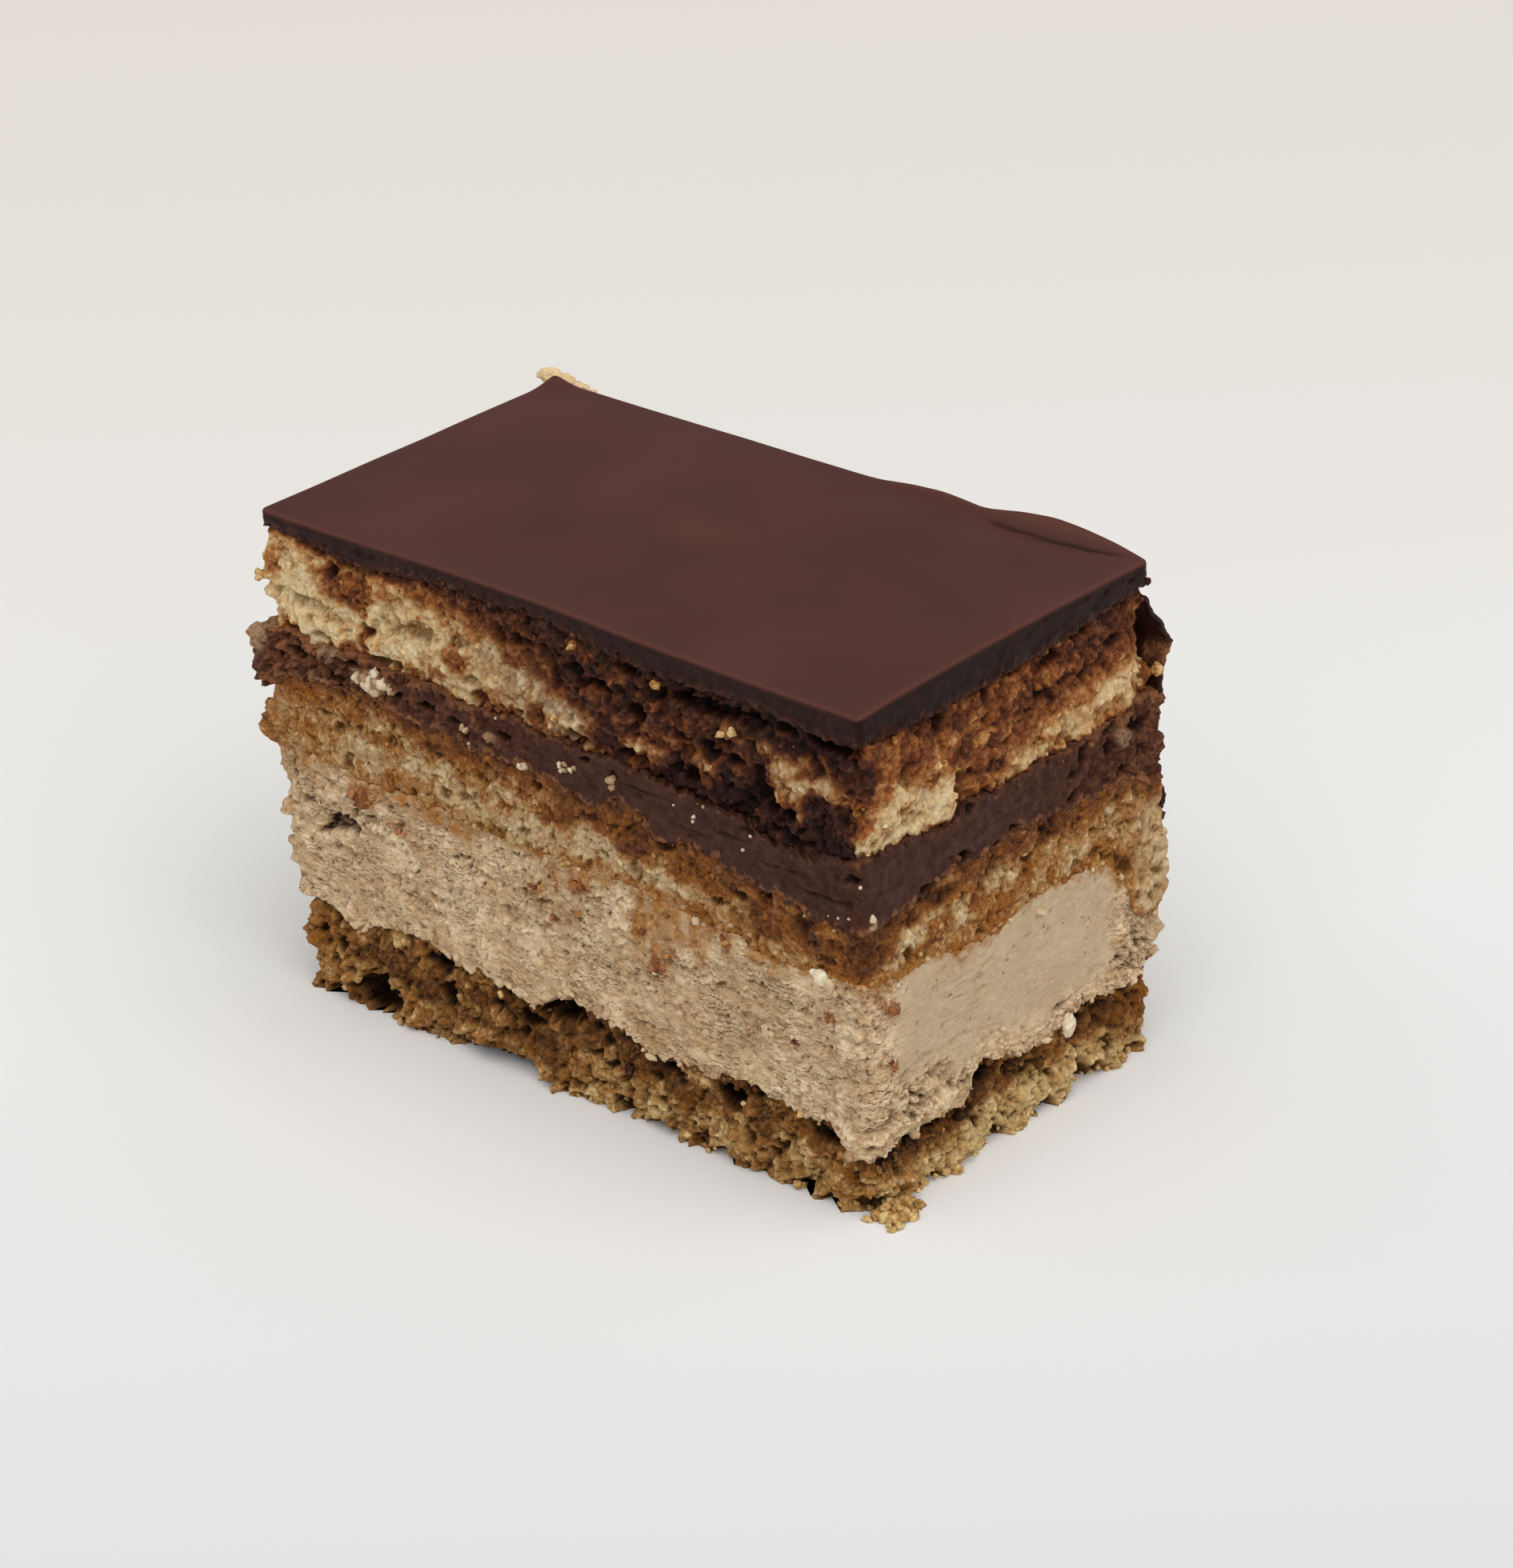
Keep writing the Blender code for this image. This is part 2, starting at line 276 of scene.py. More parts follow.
class Wall:
    """The cut side of one layer as a grid: cols round the outline, rows up the side."""

    def __init__(self, spec, ds_seen, ds_far, dz):
        (name, low, high, (left, right, front, back), radius) = spec
        self.name, self.low, self.high = name, low, high
        self.ds, self.dz = ds_seen, dz
        x0, x1, y0, y1 = -HX - left, HX + right, -HY - front, HY + back
        r = radius
        xs, ys, nxs, nys = [], [], [], []

        def straight(ax, ay, bx, by, nx, ny, ds):
            n = max(2, int(round(math.hypot(bx - ax, by - ay) / ds)))
            t = np.arange(n) / n
            xs.append(ax + (bx - ax) * t); ys.append(ay + (by - ay) * t)
            nxs.append(np.full(n, float(nx))); nys.append(np.full(n, float(ny)))

        def arc(cx, cy, a0):
            n = max(4, int(round(0.5 * math.pi * r / ds_seen)))
            a = math.radians(a0) + np.arange(n) / n * math.pi / 2
            xs.append(cx + r * np.cos(a)); ys.append(cy + r * np.sin(a))
            nxs.append(np.cos(a)); nys.append(np.sin(a))

        straight(x0 + r, y0, x1 - r, y0, 0, -1, ds_seen)
        arc(x1 - r, y0 + r, -90)
        straight(x1, y0 + r, x1, y1 - r, 1, 0, ds_seen)
        arc(x1 - r, y1 - r, 0)
        straight(x1 - r, y1, x0 + r, y1, 0, 1, ds_far)
        arc(x0 + r, y1 - r, 90)
        straight(x0, y1 - r, x0, y0 + r, -1, 0, ds_far)
        arc(x0 + r, y0 + r, 180)
        self.x, self.y = np.concatenate(xs), np.concatenate(ys)
        self.nx, self.ny = np.concatenate(nxs), np.concatenate(nys)
        self.s = place_on_loop(self.x, self.y, self.nx, self.ny)
        self.cols = len(self.x)
        # the joint lines are read on the nominal outline, so that neighbours share them
        ex = np.clip(self.x, -HX, HX)
        ey = np.clip(self.y, -HY, HY)
        self.ex, self.ey = ex, ey
        self.z0 = joint_at(low, self.s, ex, ey)
        self.z1 = joint_at(high, self.s, ex, ey)
        self.z1 = np.maximum(self.z1, self.z0 + 0.8)
        self.rows = max(4, int(math.ceil(np.mean(self.z1 - self.z0) / dz)))
        t = np.linspace(0, 1, self.rows + 1)
        self.t = np.tile(t, self.cols)
        ci = np.repeat(np.arange(self.cols), self.rows + 1)
        self.ci = ci
        z = self.z0[ci] + (self.z1 - self.z0)[ci] * self.t
        self.P = np.stack([self.x[ci], self.y[ci], z], 1)
        self.N = np.stack([self.nx[ci], self.ny[ci], np.zeros(len(ci))], 1)
        self.S = self.s[ci]
        self.above = z - self.z0[ci]              # distance to the joint lines
        self.below = self.z1[ci] - z
        self.attr = {}
        self.side = {"F": -self.N[:, 1], "R": self.N[:, 0], "B": self.N[:, 1], "L": -self.N[:, 0]}

    def move(self, d, shift=None):
        """Pushes the side out by d and sideways by shift, keeping its rims in line."""
        rim = smooth(0, 0.5, np.minimum(self.above, self.below))
        Q = self.P + self.N * d[:, None]
        if shift is not None:
            sh = shift.copy()
            sh[:, 2] *= rim
            Q = Q + sh
        self.Q = Q


def build(wall, caps=(0.014, 0.055), top_rings=None, top_z=None):
    """Closed mesh of a layer: side grid, rings over both faces and a fan in the middle."""
    C, R = wall.cols, wall.rows + 1
    Q = wall.Q.reshape(C, R, 3)
    cx, cy = 0.0, 0.5
    verts = [Q.reshape(-1, 3)]
    base = C * R
    top_fs = list(caps) if top_rings is None else list(top_rings)

    def rings(edge, fs, name, z_of=None, lift=0.0):
        out = []
        for f in fs:
            x = edge[:, 0] * (1 - f) + cx * f
            y = edge[:, 1] * (1 - f) + cy * f
            if z_of is not None:
                z = z_of(x, y, edge, f)
            elif name == "base":
                z = np.zeros(C)
            else:
                k = smooth(0.0, 0.16, f)
                z = edge[:, 2] * (1 - k) + joint_inside(name, x, y) * k
            out.append(np.stack([x, y, z], 1))
        return out

    low = rings(Q[:, 0], list(caps), wall.low)
    top = rings(Q[:, -1], top_fs, wall.high, top_z)
    nl, nt = len(low), len(top)
    verts += low + top
    zc0 = float(joint_inside(wall.low, np.zeros(1), np.zeros(1))[0])
    zc1 = float(joint_inside(wall.high, np.zeros(1), np.zeros(1))[0])
    if top_z is not None:
        zc1 = float(top_z(np.array([cx]), np.array([cy]), Q[:1, -1], 1.0)[0])
    verts.append(np.array([[cx, cy, zc0], [cx, cy, zc1]]))
    V = np.concatenate(verts)
    n_all = len(V)

    i = np.arange(C)
    j = (i + 1) % C
    k = np.arange(R - 1)
    a = (i[:, None] * R + k[None, :]).ravel()
    b = (j[:, None] * R + k[None, :]).ravel()
    quads = [np.stack([a, b, b + 1, a + 1], 1)]
    lo_idx = [i * R] + [base + m * C + i for m in range(nl)]
    hi_idx = [i * R + R - 1] + [base + (nl + m) * C + i for m in range(nt)]
    for p, q in zip(lo_idx, lo_idx[1:]):
        quads.append(np.stack([p[j], p, q, q[j]], 1))
    for p, q in zip(hi_idx, hi_idx[1:]):
        quads.append(np.stack([p, p[j], q[j], q], 1))
    quads = np.concatenate(quads)
    tris = np.concatenate([
        np.stack([lo_idx[-1][j], lo_idx[-1], np.full(C, n_all - 2)], 1),
        np.stack([hi_idx[-1], hi_idx[-1][j], np.full(C, n_all - 1)], 1)])

    me = bpy.data.meshes.new(wall.name)
    me.vertices.add(n_all)
    me.vertices.foreach_set("co", ((V - SHIFT) * MM).astype(np.float32).ravel())
    loops = np.concatenate([quads.ravel(), tris.ravel()]).astype(np.int32)
    me.loops.add(len(loops))
    me.loops.foreach_set("vertex_index", loops)
    sizes = np.concatenate([np.full(len(quads), 4), np.full(len(tris), 3)])
    starts = np.concatenate([[0], np.cumsum(sizes)[:-1]]).astype(np.int32)
    me.polygons.add(len(sizes))
    me.polygons.foreach_set("loop_start", starts)
    me.update(calc_edges=True)
    me.polygons.foreach_set("use_smooth", np.ones(len(sizes), bool))

    # attributes: the side's values, carried inwards over the faces
    for name, val in wall.attr.items():
        full = np.zeros(n_all, np.float32)
        v = val.reshape(C, R)
        full[:base] = val
        for m in range(nl):
            full[base + m * C: base + (m + 1) * C] = v[:, 0]
        for m in range(nt):
            full[base + (nl + m) * C: base + (nl + m + 1) * C] = v[:, -1]
        full[-2], full[-1] = v[:, 0].mean(), v[:, -1].mean()
        if "top_" + name in wall.__dict__:
            full[base + nl * C: base + (nl + nt) * C] = wall.__dict__["top_" + name]
        me.attributes.new(name, "FLOAT", "POINT").data.foreach_set("value", full)

    # bake map: the four sides in three rows, both faces beside each other above them
    cum = np.concatenate([[0], np.cumsum(np.hypot(np.diff(wall.x, append=wall.x[0]),
                                                  np.diff(wall.y, append=wall.y[0])))])
    hmax = float((wall.z1 - wall.z0).max())
    corners = [int(np.argmin(np.abs(wall.s - c))) for c in
               (2 * HX, 2 * HX + 2 * HY, 4 * HX + 2 * HY)]
    starts_c = [0] + sorted(corners) + [C]
    k_uv = 0.97 / (2 * HX + 6)
    row_h = hmax * k_uv + 0.012
    uv = np.zeros((len(loops), 2), np.float32)
    face_col = np.repeat(i, R - 1)
    nq = C * (R - 1)
    seg = np.searchsorted(np.array(starts_c[1:]), face_col, side="right")
    seg = np.clip(seg, 0, 3)
    origin_u = np.array([0.01, 0.01, 0.01, 0.01 + (2 * HY + 8) * k_uv])
    origin_v = np.array([0.01, 0.01 + 2 * row_h, 0.01 + row_h, 0.01 + 2 * row_h])
    s_left = cum[face_col] - cum[np.array(starts_c)[seg]]
    s_right = cum[face_col + 1] - cum[np.array(starts_c)[seg]]
    dzm = hmax / (R - 1)
    kk = np.tile(k, C)
    for c, (ss, rr) in enumerate(((s_left, kk), (s_right, kk), (s_right, kk + 1), (s_left, kk + 1))):
        uv[np.arange(nq) * 4 + c, 0] = origin_u[seg] + ss * k_uv
        uv[np.arange(nq) * 4 + c, 1] = origin_v[seg] + rr * dzm * k_uv
    rest = loops[nq * 4:]
    is_top = (rest >= base + nl * C) & (rest < n_all - 2) | (rest == n_all - 1)
    # rim vertices belong to whichever face they bound
    quad_top = np.repeat(np.concatenate([np.zeros(nl * C, bool), np.ones(nt * C, bool)]), 4)
    tri_top = np.repeat(np.concatenate([np.zeros(C, bool), np.ones(C, bool)]), 3)
    on_top = np.concatenate([quad_top, tri_top])
    free = 1.0 - (0.01 + 3 * row_h) - 0.02
    big = min(free / (2 * HY + 6), 0.98 / (2 * HX + 6) * (0.72 if top_z is not None else 0.5))
    small = min(free / (2 * HY + 6), 0.98 / (2 * HX + 6) * (0.26 if top_z is not None else 0.48))
    ku = np.where(on_top, big, small)
    ou = np.where(on_top, 0.01, 0.01 + big * (2 * HX + 8))
    uv[nq * 4:, 0] = ou + (V[rest, 0] + HX + 3) * ku
    uv[nq * 4:, 1] = 0.01 + 3 * row_h + 0.005 + (V[rest, 1] + HY + 2) * ku
    layer = me.uv_layers.new(name="OFBake")
    layer.uv.foreach_set("vector", uv.ravel())
    me.validate()
    ob = bpy.data.objects.new(wall.name, me)
    bpy.context.scene.collection.objects.link(ob)
    return ob


# =============================================================== relief of each layer
DS, DFAR, DZ = ((0.19, 0.27, 0.18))

# how far the corner towards the front left, and the edge towards the back right, stand out
# of each layer's plain outline: (height, distance)
LEFT_EDGE = [(0, 0.0), (1, -0.7), (2.5, -1.4), (4, -1.0), (5, 0.2), (6.5, 0.5), (7.5, 0.4), (9, -0.5),
             (10.4, -1.9), (10.9, -3.6), (11.6, -3.0), (12.5, -1.6), (13.5, -0.4), (14.5, 0.6),
             (15.3, 0.5), (16, 0.1), (16.8, 0.8), (17.4, -0.2), (18.3, -0.8), (19.6, -0.8),
             (20.3, 1.1), (21, 0.8), (22, 0.5), (23, 0.0), (24, 0.2), (26, 0.7), (28, 0.5), (29.2, 0.9),
             (30.5, 1.1), (31, 0.9), (32, 0.2), (33, -0.2), (34.4, -0.5), (35.4, -1.7), (36.3, -2.2),
             (36.6, 0.9), (38.3, 0.5), (39.8, 1.1), (41, 0.6), (41.8, -0.4), (43, -2.4),
             (44.2, -1.8), (44.7, -0.6), (45, 0.8), (45.8, 0.1), (46.5, -0.2), (46.9, 1.5), (47.6, 0.9),
             (48.5, 0.5), (49.6, 0.3), (51.4, -0.3), (52.5, -1.3), (53, 0), (56, 0)]
BACK_EDGE = [(0, -1.2), (1.5, -0.8), (3, -0.9), (5, -0.6), (6, 0.1), (7, -0.6), (8.5, -0.2),
             (10, 0.2), (10.8, -0.5), (12, 0.3), (13, 1.0), (14, 0.4), (16, 0.2), (17.6, 1.0),
             (18.6, 0.5), (20, 1.2), (22, 1.4), (23, 1.4), (24.5, 0.8), (27, 0.3), (30, 0.6), (32, 0.1),
             (33.5, 0.7), (35, 0.3), (36.5, 0.0), (38.5, 0.3), (40, 0.4), (42, 0.8), (44, 0.6),
             (46, 0.2), (48, -0.6), (50, -0.8), (51.5, 0), (56, 0)]


def edge_drift(w):
    """Stand-out of the two silhouette edges, fading away from them."""
    z = w.P[:, 2] + 0.25 * perlin(w.P / 2.3, 71)
    a = np.array(LEFT_EDGE, float)
    b = np.array(BACK_EDGE, float)
    left = np.interp(z, a[:, 0], a[:, 1])
    back = np.interp(z, b[:, 0], b[:, 1])
    kl = np.where(w.N[:, 0] < -0.2, 0.35 + 0.65 * (1 - smooth(-20, -8, w.P[:, 1])), 0.0)
    kl = kl * np.clip(-w.N[:, 0] * 1.4, 0, 1)
    kb = np.where(w.N[:, 1] > 0.2, 0.25 + 0.75 * smooth(18, 34, w.P[:, 0]), 0.0)
    kb = kb * np.clip(w.N[:, 1] * 1.4, 0, 1)
    return left * kl + back * kb


def blur(w, v, mm):
    """Values of the side grid, averaged over about mm millimetres."""
    C = w.cols
    g = v.reshape(C, -1)
    n = max(1, int(round(2.6 * mm / w.ds)))
    k = np.exp(-0.5 * (np.arange(-n, n + 1) * w.ds / mm) ** 2)
    k /= k.sum()
    q = np.concatenate([g[-n:], g, g[:n]])
    g = sum(k[i] * q[i:i + C] for i in range(2 * n + 1))
    n = max(1, int(round(2.6 * mm / w.dz)))
    k = np.exp(-0.5 * (np.arange(-n, n + 1) * w.dz / mm) ** 2)
    k /= k.sum()
    R = g.shape[1]
    q = np.concatenate([np.repeat(g[:, :1], n, 1), g, np.repeat(g[:, -1:], n, 1)], 1)
    g = sum(k[i] * q[:, i:i + R] for i in range(2 * n + 1))
    return g.ravel()


def shade(w, d, fine=0.30, wide=1.1, k_fine=0.50, k_wide=0.45, k_under=0.45):
    """Painted shade and highlight of a relief: how deep each place lies in its crevice or under a ledge, painted dark
    as shade, and how far it stands out on the crests, painted pale as a highlight.
    """
    low = blur(w, d, fine) - d
    deep = blur(w, d, wide) - d
    g = d.reshape(w.cols, -1)
    # painted shadow under ledges: how steeply the surface just above stands out
    over = np.zeros_like(g)
    for k in range(1, max(2, int(round(0.9 / w.dz)))):
        up = np.concatenate([g[:, k:], np.repeat(g[:, -1:], k, 1)], 1)
        over = np.maximum(over, (up - g - 0.05) / (k * w.dz))
    under = smooth(0.5, 2.2, over.ravel())
    # painted shade in crevices, hollows and under ledges; painted highlight on the crests
    cav = k_fine * smooth(0.03, 0.26, low) + k_wide * smooth(0.10, 0.80, deep) + k_under * under
    crest = smooth(0.02, 0.22, -low) * 0.7 + smooth(0.05, 0.6, -deep) * 0.3
    return cav, crest


def crumb_relief(P, seed, clump=2.2, crumb=0.95, grain=0.46, tear=3.2, mid=1.0):
    """Torn sponge: clumps, crumbs and grains that each stand at their own depth, with
    crevices between them, open pores, and hollows where pieces came away."""
    warp = vec_noise(P / 1.6, seed) * 0.62 + vec_noise(P / 0.62, seed + 40) * 0.30
    f1, f2, own = worley((P + warp) / clump, seed + 3)
    g1, g2, own2 = worley((P + warp * 0.9) / crumb, seed + 4)
    m1, m2, own3 = worley((P + warp * 0.5) / grain, seed + 5)
    hollow = smooth(0.12, 0.60, perlin(P / tear, seed + 7) + 0.5 * perlin(P / (tear * 0.38), seed + 8))
    pores = smooth(0.16, 0.50, perlin((P + warp * 0.5) / 0.66, seed + 9) + 0.3 * perlin(P / 0.33, seed + 10))
    pores = pores * smooth(-0.35, 0.30, perlin(P / 2.2, seed + 15))
    rift = 1 - smooth(0.0, 0.20, f2 - f1)
    rift2 = 1 - smooth(0.0, 0.28, g2 - g1)
    d = 0.34 * fbm(P / 6.0, 2, seed + 12)
    d = d + 0.62 * (0.50 - f1 ** 1.5) + 0.34 * (own - 0.5)
    d = d + mid * (0.30 * (0.50 - g1 ** 1.3) + 0.22 * (own2 - 0.5))
    d = d + 0.13 * (0.45 - m1) + 0.12 * (own3 - 0.5) + 0.16 * perlin(P / 0.55, seed + 17)
    d = d - 0.20 * rift - 0.12 * mid * rift2 - 0.90 * hollow - 0.34 * pores
    # painted shade: how dark the hollows, pores and crevices between crumbs are painted
    cav = 0.34 * hollow + 0.28 * pores + 0.14 * rift + 0.10 * mid * rift2 + 0.10 * (0.5 - own3)
    return d, np.clip(cav, 0, 1), own, own2, own3


def soften(a, b, x):
    return smooth(a, b, x)


def per_side(w, F, R, B, L):
    """Value on each side from (place, value) lists, joined over the corners."""
    pts = [(HX + u, h) for u, h in F] + [(3 * HX - HX + HY + u, h) for u, h in R]
    pts += [(3 * HX + 2 * HY - u, h) for u, h in B] + [(4 * HX + 3 * HY - u, h) for u, h in L]
    pts.sort()
    a = np.array(pts, float)
    return np.interp(w.S, a[:, 0], a[:, 1], period=LOOP)


def spots(w, table, warp, soft=0.3):
    """Adds up (side, place, height, half width, half height, amount) spots."""
    out = np.zeros(len(w.P))
    for side, u, z, ru, rz, k in table:
        out += k * spot(w.P, side, u, z, ru, rz, warp, soft)
    return out


def scatter(side_list, n, zr, size, amount, seed):
    """More spots of the same sort for the sides that are turned away."""
    rng = np.random.default_rng(seed)
    out = []
    for side in side_list:
        half = (HX if side in "FB" else HY) - 2
        for _ in range(n if side in "FB" else n // 2):
            s = size * rng.uniform(0.6, 1.5)
            out.append((side, rng.uniform(-half, half), rng.uniform(*zr), s * rng.uniform(0.9, 1.8),
                        s * rng.uniform(0.6, 1.1), amount * rng.uniform(0.6, 1.2)))
    return out


def rim_fade(w, mm=0.6):
    return smooth(0, mm, np.minimum(w.above, w.below))


# ---------------------------------------------------------------- top sponge
def make_sponge_top():
    w = Wall(("sponge_top", "choc_top", "glaze_foot", (0.5, -0.5, -0.7, 0.9), 1.3), DS, DFAR, DZ)
    P = w.P
    d, cav, own, own2, own3 = crumb_relief(P, 300, 2.4, 1.0, 0.46, 4.0, 0.9)
    warp = rough_warp(P, 320)
    edge = per_side(w,
                    F=[(-40, 51.9), (-36, 51.6), (-33, 51.2), (-30, 51.3), (-26, 51.0), (-23, 51.2),
                       (-20, 50.6), (-15, 50.2), (-12, 49.6), (-9, 48.6), (-6, 47.6), (-3, 46.8),
                       (0, 45.8), (1.5, 45.4), (2.6, 43.6), (5.2, 43.2), (6.4, 41.0), (8, 38.6), (26, 37.0), (38.6, 36.6),
                       (39.6, 44.6), (40, 45.0)],
                    R=[(-22, 46.0), (-16, 45.4), (-10, 45.4), (-8, 43.4), (-5, 41.4), (0, 40.8),
                       (3, 41.6), (6, 42.8), (10, 44.0), (15, 44.6), (22, 44.6)],
                    B=[(40, 46), (25, 48.2), (8, 46), (-6, 48.8), (-20, 45.6), (-40, 49.5)],
                    L=[(22, 49.5), (8, 47.0), (-6, 49.8), (-22, 51.6)])
    n = 1.3 * perlin(P / 2.6, 331) + 1.0 * perlin(P / 1.1, 332) + 0.6 * perlin(P / 0.5, 333)
    # soaked zone under the glaze, darkest on the long front side right of the middle
    deep = per_side(w, F=[(-40, 0.42), (-30, 0.50), (-20, 0.60), (-10, 0.72), (-2, 0.80), (6, 0.82),
                          (14, 0.82), (20, 0.90), (28, 0.94), (36, 0.94), (40, 0.86)],
                    R=[(-22, 0.62), (-16, 0.57), (-8, 0.60), (0, 0.57), (6, 0.62), (14, 0.68), (22, 0.74)],
                    B=[(40, 0.62), (20, 0.7), (0, 0.62), (-20, 0.74), (-40, 0.56)],
                    L=[(22, 0.56), (0, 0.66), (-22, 0.45)])
    mott = 0.17 * perlin(P / 1.7, 343) + 0.13 * perlin(P / 0.8, 344)
    depth = (P[:, 2] - edge + n) / 2.4
    fond = per_side(w, F=[(-40, 0.15), (-24, 0.17), (-10, 0.24), (0, 0.26), (40, 0.18)],
                    R=[(-22, 0.15), (-10, 0.17), (-4, 0.30), (8, 0.31), (22, 0.33)],
                    B=[(40, 0.24), (0, 0.2), (-40, 0.18)], L=[(22, 0.18), (-22, 0.12)])
    tone = np.clip(fond + 0.16 * perlin(P / 2.6, 341) + 0.10 * perlin(P / 0.9, 342), 0.0, 0.44)
    tone = tone + (deep + mott - tone) * soften(-0.8, 1.1, depth)
    # touch of chocolate just over the ganache and just under the glaze
    tone = tone + 0.40 * (1 - smooth(0, 0.6, w.above + 0.3 * n)) * (1 - tone)
    choc = per_side(w, F=[(-40, .9), (-34, 1.3), (-20, 1.7), (0, 1.5), (40, 1.2)], R=[(-22, .9), (0, 1.2), (22, 1.8)],
                    B=[(40, 1.4), (-40, 1.4)], L=[(22, 1.2), (-22, 1.0)])
    tone = tone + 0.75 * (1 - smooth(0.1, 1.0, (w.below + 0.35 * n) / choc)) * (0.95 - tone)
    orange = [("F", -13.2, 45.0, 1.6, 1.3, .40), ("F", -26.7, 43.5, 1.1, 1.5, .52), ("F", -16.2, 42.9, 1.2, .9, .36),
              ("F", -9.8, 41.6, 2.0, .8, .32), ("F", -2.2, 42.2, 1.2, 1.2, .42), ("F", 21.8, 40.6, 1.7, 1.1, .22),
              ("F", 33, 39.6, 3.2, 1.4, .42), ("F", 29.5, 40.0, 1.8, 1.6, .62), ("F", -39.6, 49.0, 1.2, 1.4, .34),
              ("F", -29, 47.4, 3.4, .8, .30), ("F", -18, 50.2, 2.5, .7, .25), ("F", 1.8, 41.8, .6, .5, .32),
              ("F", 5.9, 41.8, 1.3, 1.3, .60), ("F", 16.6, 42.4, 1.6, 1.4, .60), ("F", 37.5, 46.3, .9, .7, .25),
              ("F", -26.4, 46.2, .5, .35, .5), ("F", -5.5, 47.2, 1.2, .8, .25), ("F", 0.6, 46.0, 1.6, 1.0, .3),
              ("F", -37.5, 42.6, 1.6, .8, .45), ("F", -20, 42.2, 1.3, .7, .30),
              ("R", -4.5, 40.5, 3.2, 1.6, .34), ("R", -15, 46.2, 5, 1.2, .26), ("R", 4, 43.5, 2.4, 2.0, .25),
              ("R", 9, 45.6, 3, 1.0, .25), ("R", -6.8, 44.6, 2.0, 1.4, .24), ("R", 8.4, 40.4, .9, .5, .3),
              ("R", -13.4, 44.4, 1.8, .8, .2), ("R", -19, 44.6, 2.0, .8, .34), ("R", -14.4, 42.0, 1.5, .7, .26),
              ("R", -11, 43.4, 1.4, .8, .32), ("R", -17.6, 40.6, 1.2, .5, .2), ("R", 12, 43.2, 2.4, .6, .22),
              ("R", 17, 41.4, 1.8, .6, .2), ("R", 6, 41.0, 1.4, .6, .2)]
    dark = [("F", -28.4, 48.9, 4.1, 1.8, .66), ("F", -30.5, 50.1, 1.2, .9, .30), ("F", -23, 49.6, 1.2, 1.0, .40),
            ("F", 36.3, 42.2, 3.9, 1.8, .80), ("F", 34, 43.3, 1.6, 1.0, .5), ("F", 40, 47.5, 1.2, 2.4, .8),
            ("F", 27, 43.2, 1.8, 3.2, .7), ("F", 24.5, 44.2, 1.6, 1.8, .5), ("F", 8.6, 42.0, .9, .7, .5),
            ("R", -21, 46.8, 1.2, 2.6, .9), ("R", -1.2, 41.4, 1.6, .7, .75), ("R", -.5, 45.8, 1.0, 1.6, .45),
            ("R", 5, 46, 1.6, 1.5, .35), ("R", -13, 46.7, 1.8, .8, .25), ("R", -9.5, 48.6, 1.6, .8, .35),
            ("R", -4, 48.6, 4, 1.0, .22), ("R", 15, 48.4, 6, 1.4, .38), ("R", 23, 42, .8, 1.5, .4), ("R", -7.0, 48.0, 1.0, 1.1, .6),
            ("R", 2.6, 46.0, .8, 1.1, .6), ("R", 8.8, 43.6, 1.0, .8, .55), ("R", 11.5, 49.2, 2.4, .8, .5),
            ("R", -12.4, 49.8, 2.0, .5, .5), ("R", -1.8, 44.0, .9, .8, .5), ("R", -10.0, 43.2, .9, .6, .45)]
    dark += scatter("BL", 7, (43, 50), 1.5, 0.6, 5)
    orange += scatter("BL", 9, (42, 48), 1.5, 0.3, 6)
    # lumps that took up only some of the chocolate
    fair = [("F", 2.6, 42.6, 2.5, 1.5, .85), ("F", 4.9, 43.4, 1.4, 1.0, .7), ("F", 11.6, 42.4, 3.1, 1.5, .85),
            ("F", 16.8, 43.8, 2.4, 1.2, .60), ("F", 20.4, 42.6, 1.6, 1.5, .90), ("F", 23.8, 47.9, 1.9, 1.1, .75),
            ("F", 19.6, 47.4, 1.6, .9, .5), ("F", 25.2, 44.8, 1.5, 1.7, .65), ("F", 30.8, 45.5, 3.0, 1.9, 1.),
            ("F", 29.0, 42.6, 1.5, 1.7, .8), ("F", 31.9, 42.6, 1.6, 2.2, .95), ("F", 37.2, 45.4, 3.4, 1.8, .9),
            ("F", 34.0, 47.7, 2.4, .9, .5), ("F", 27.3, 47.4, 1.6, .8, .5), ("F", 8.0, 45.0, 1.8, .8, .45),
            ("F", 5.4, 46.7, 1.6, .8, .4), ("F", 13.2, 44.8, 1.6, .8, .55), ("F", 14.8, 50.0, .9, .8, .35),
            ("F", 3.4, 51.3, 1.6, .5, .30), ("F", 8.6, 49.4, 1.3, .8, .35), ("F", 13.4, 47.0, 2.0, .8, .40),
            ("F", 5.2, 50.3, 1.0, .6, .30), ("F", 26.5, 48.9, 1.2, .6, .35), ("F", 38.3, 49.9, 2.2, .6, .55),
            ("F", 17.2, 46.6, 1.0, .8, .4), ("F", 22.0, 44.6, .9, .7, .5), ("F", -8, 49.0, 2.0, .8, .3),
            ("F", -1.5, 48.2, 1.6, .9, .35), ("R", -4.0, 46.8, 1.5, .9, .6), ("R", 1.6, 48.2, 1.3, .8, .55),
            ("R", 6.6, 47.4, 1.7, .9, .55), ("R", -11.0, 45.4, 1.5, .8, .5), ("R", 3.6, 44.2, 1.5, .8, .6),
            ("R", 11.6, 47.4, 1.4, .7, .4), ("R", -16.4, 46.0, 1.6, .7, .5), ("R", -7.6, 46.2, 1.0, .8, .5),
            ("R", -20.6, 50.0, 1.6, .6, .5), ("R", -17, 48.4, 3, 1.0, .3)]
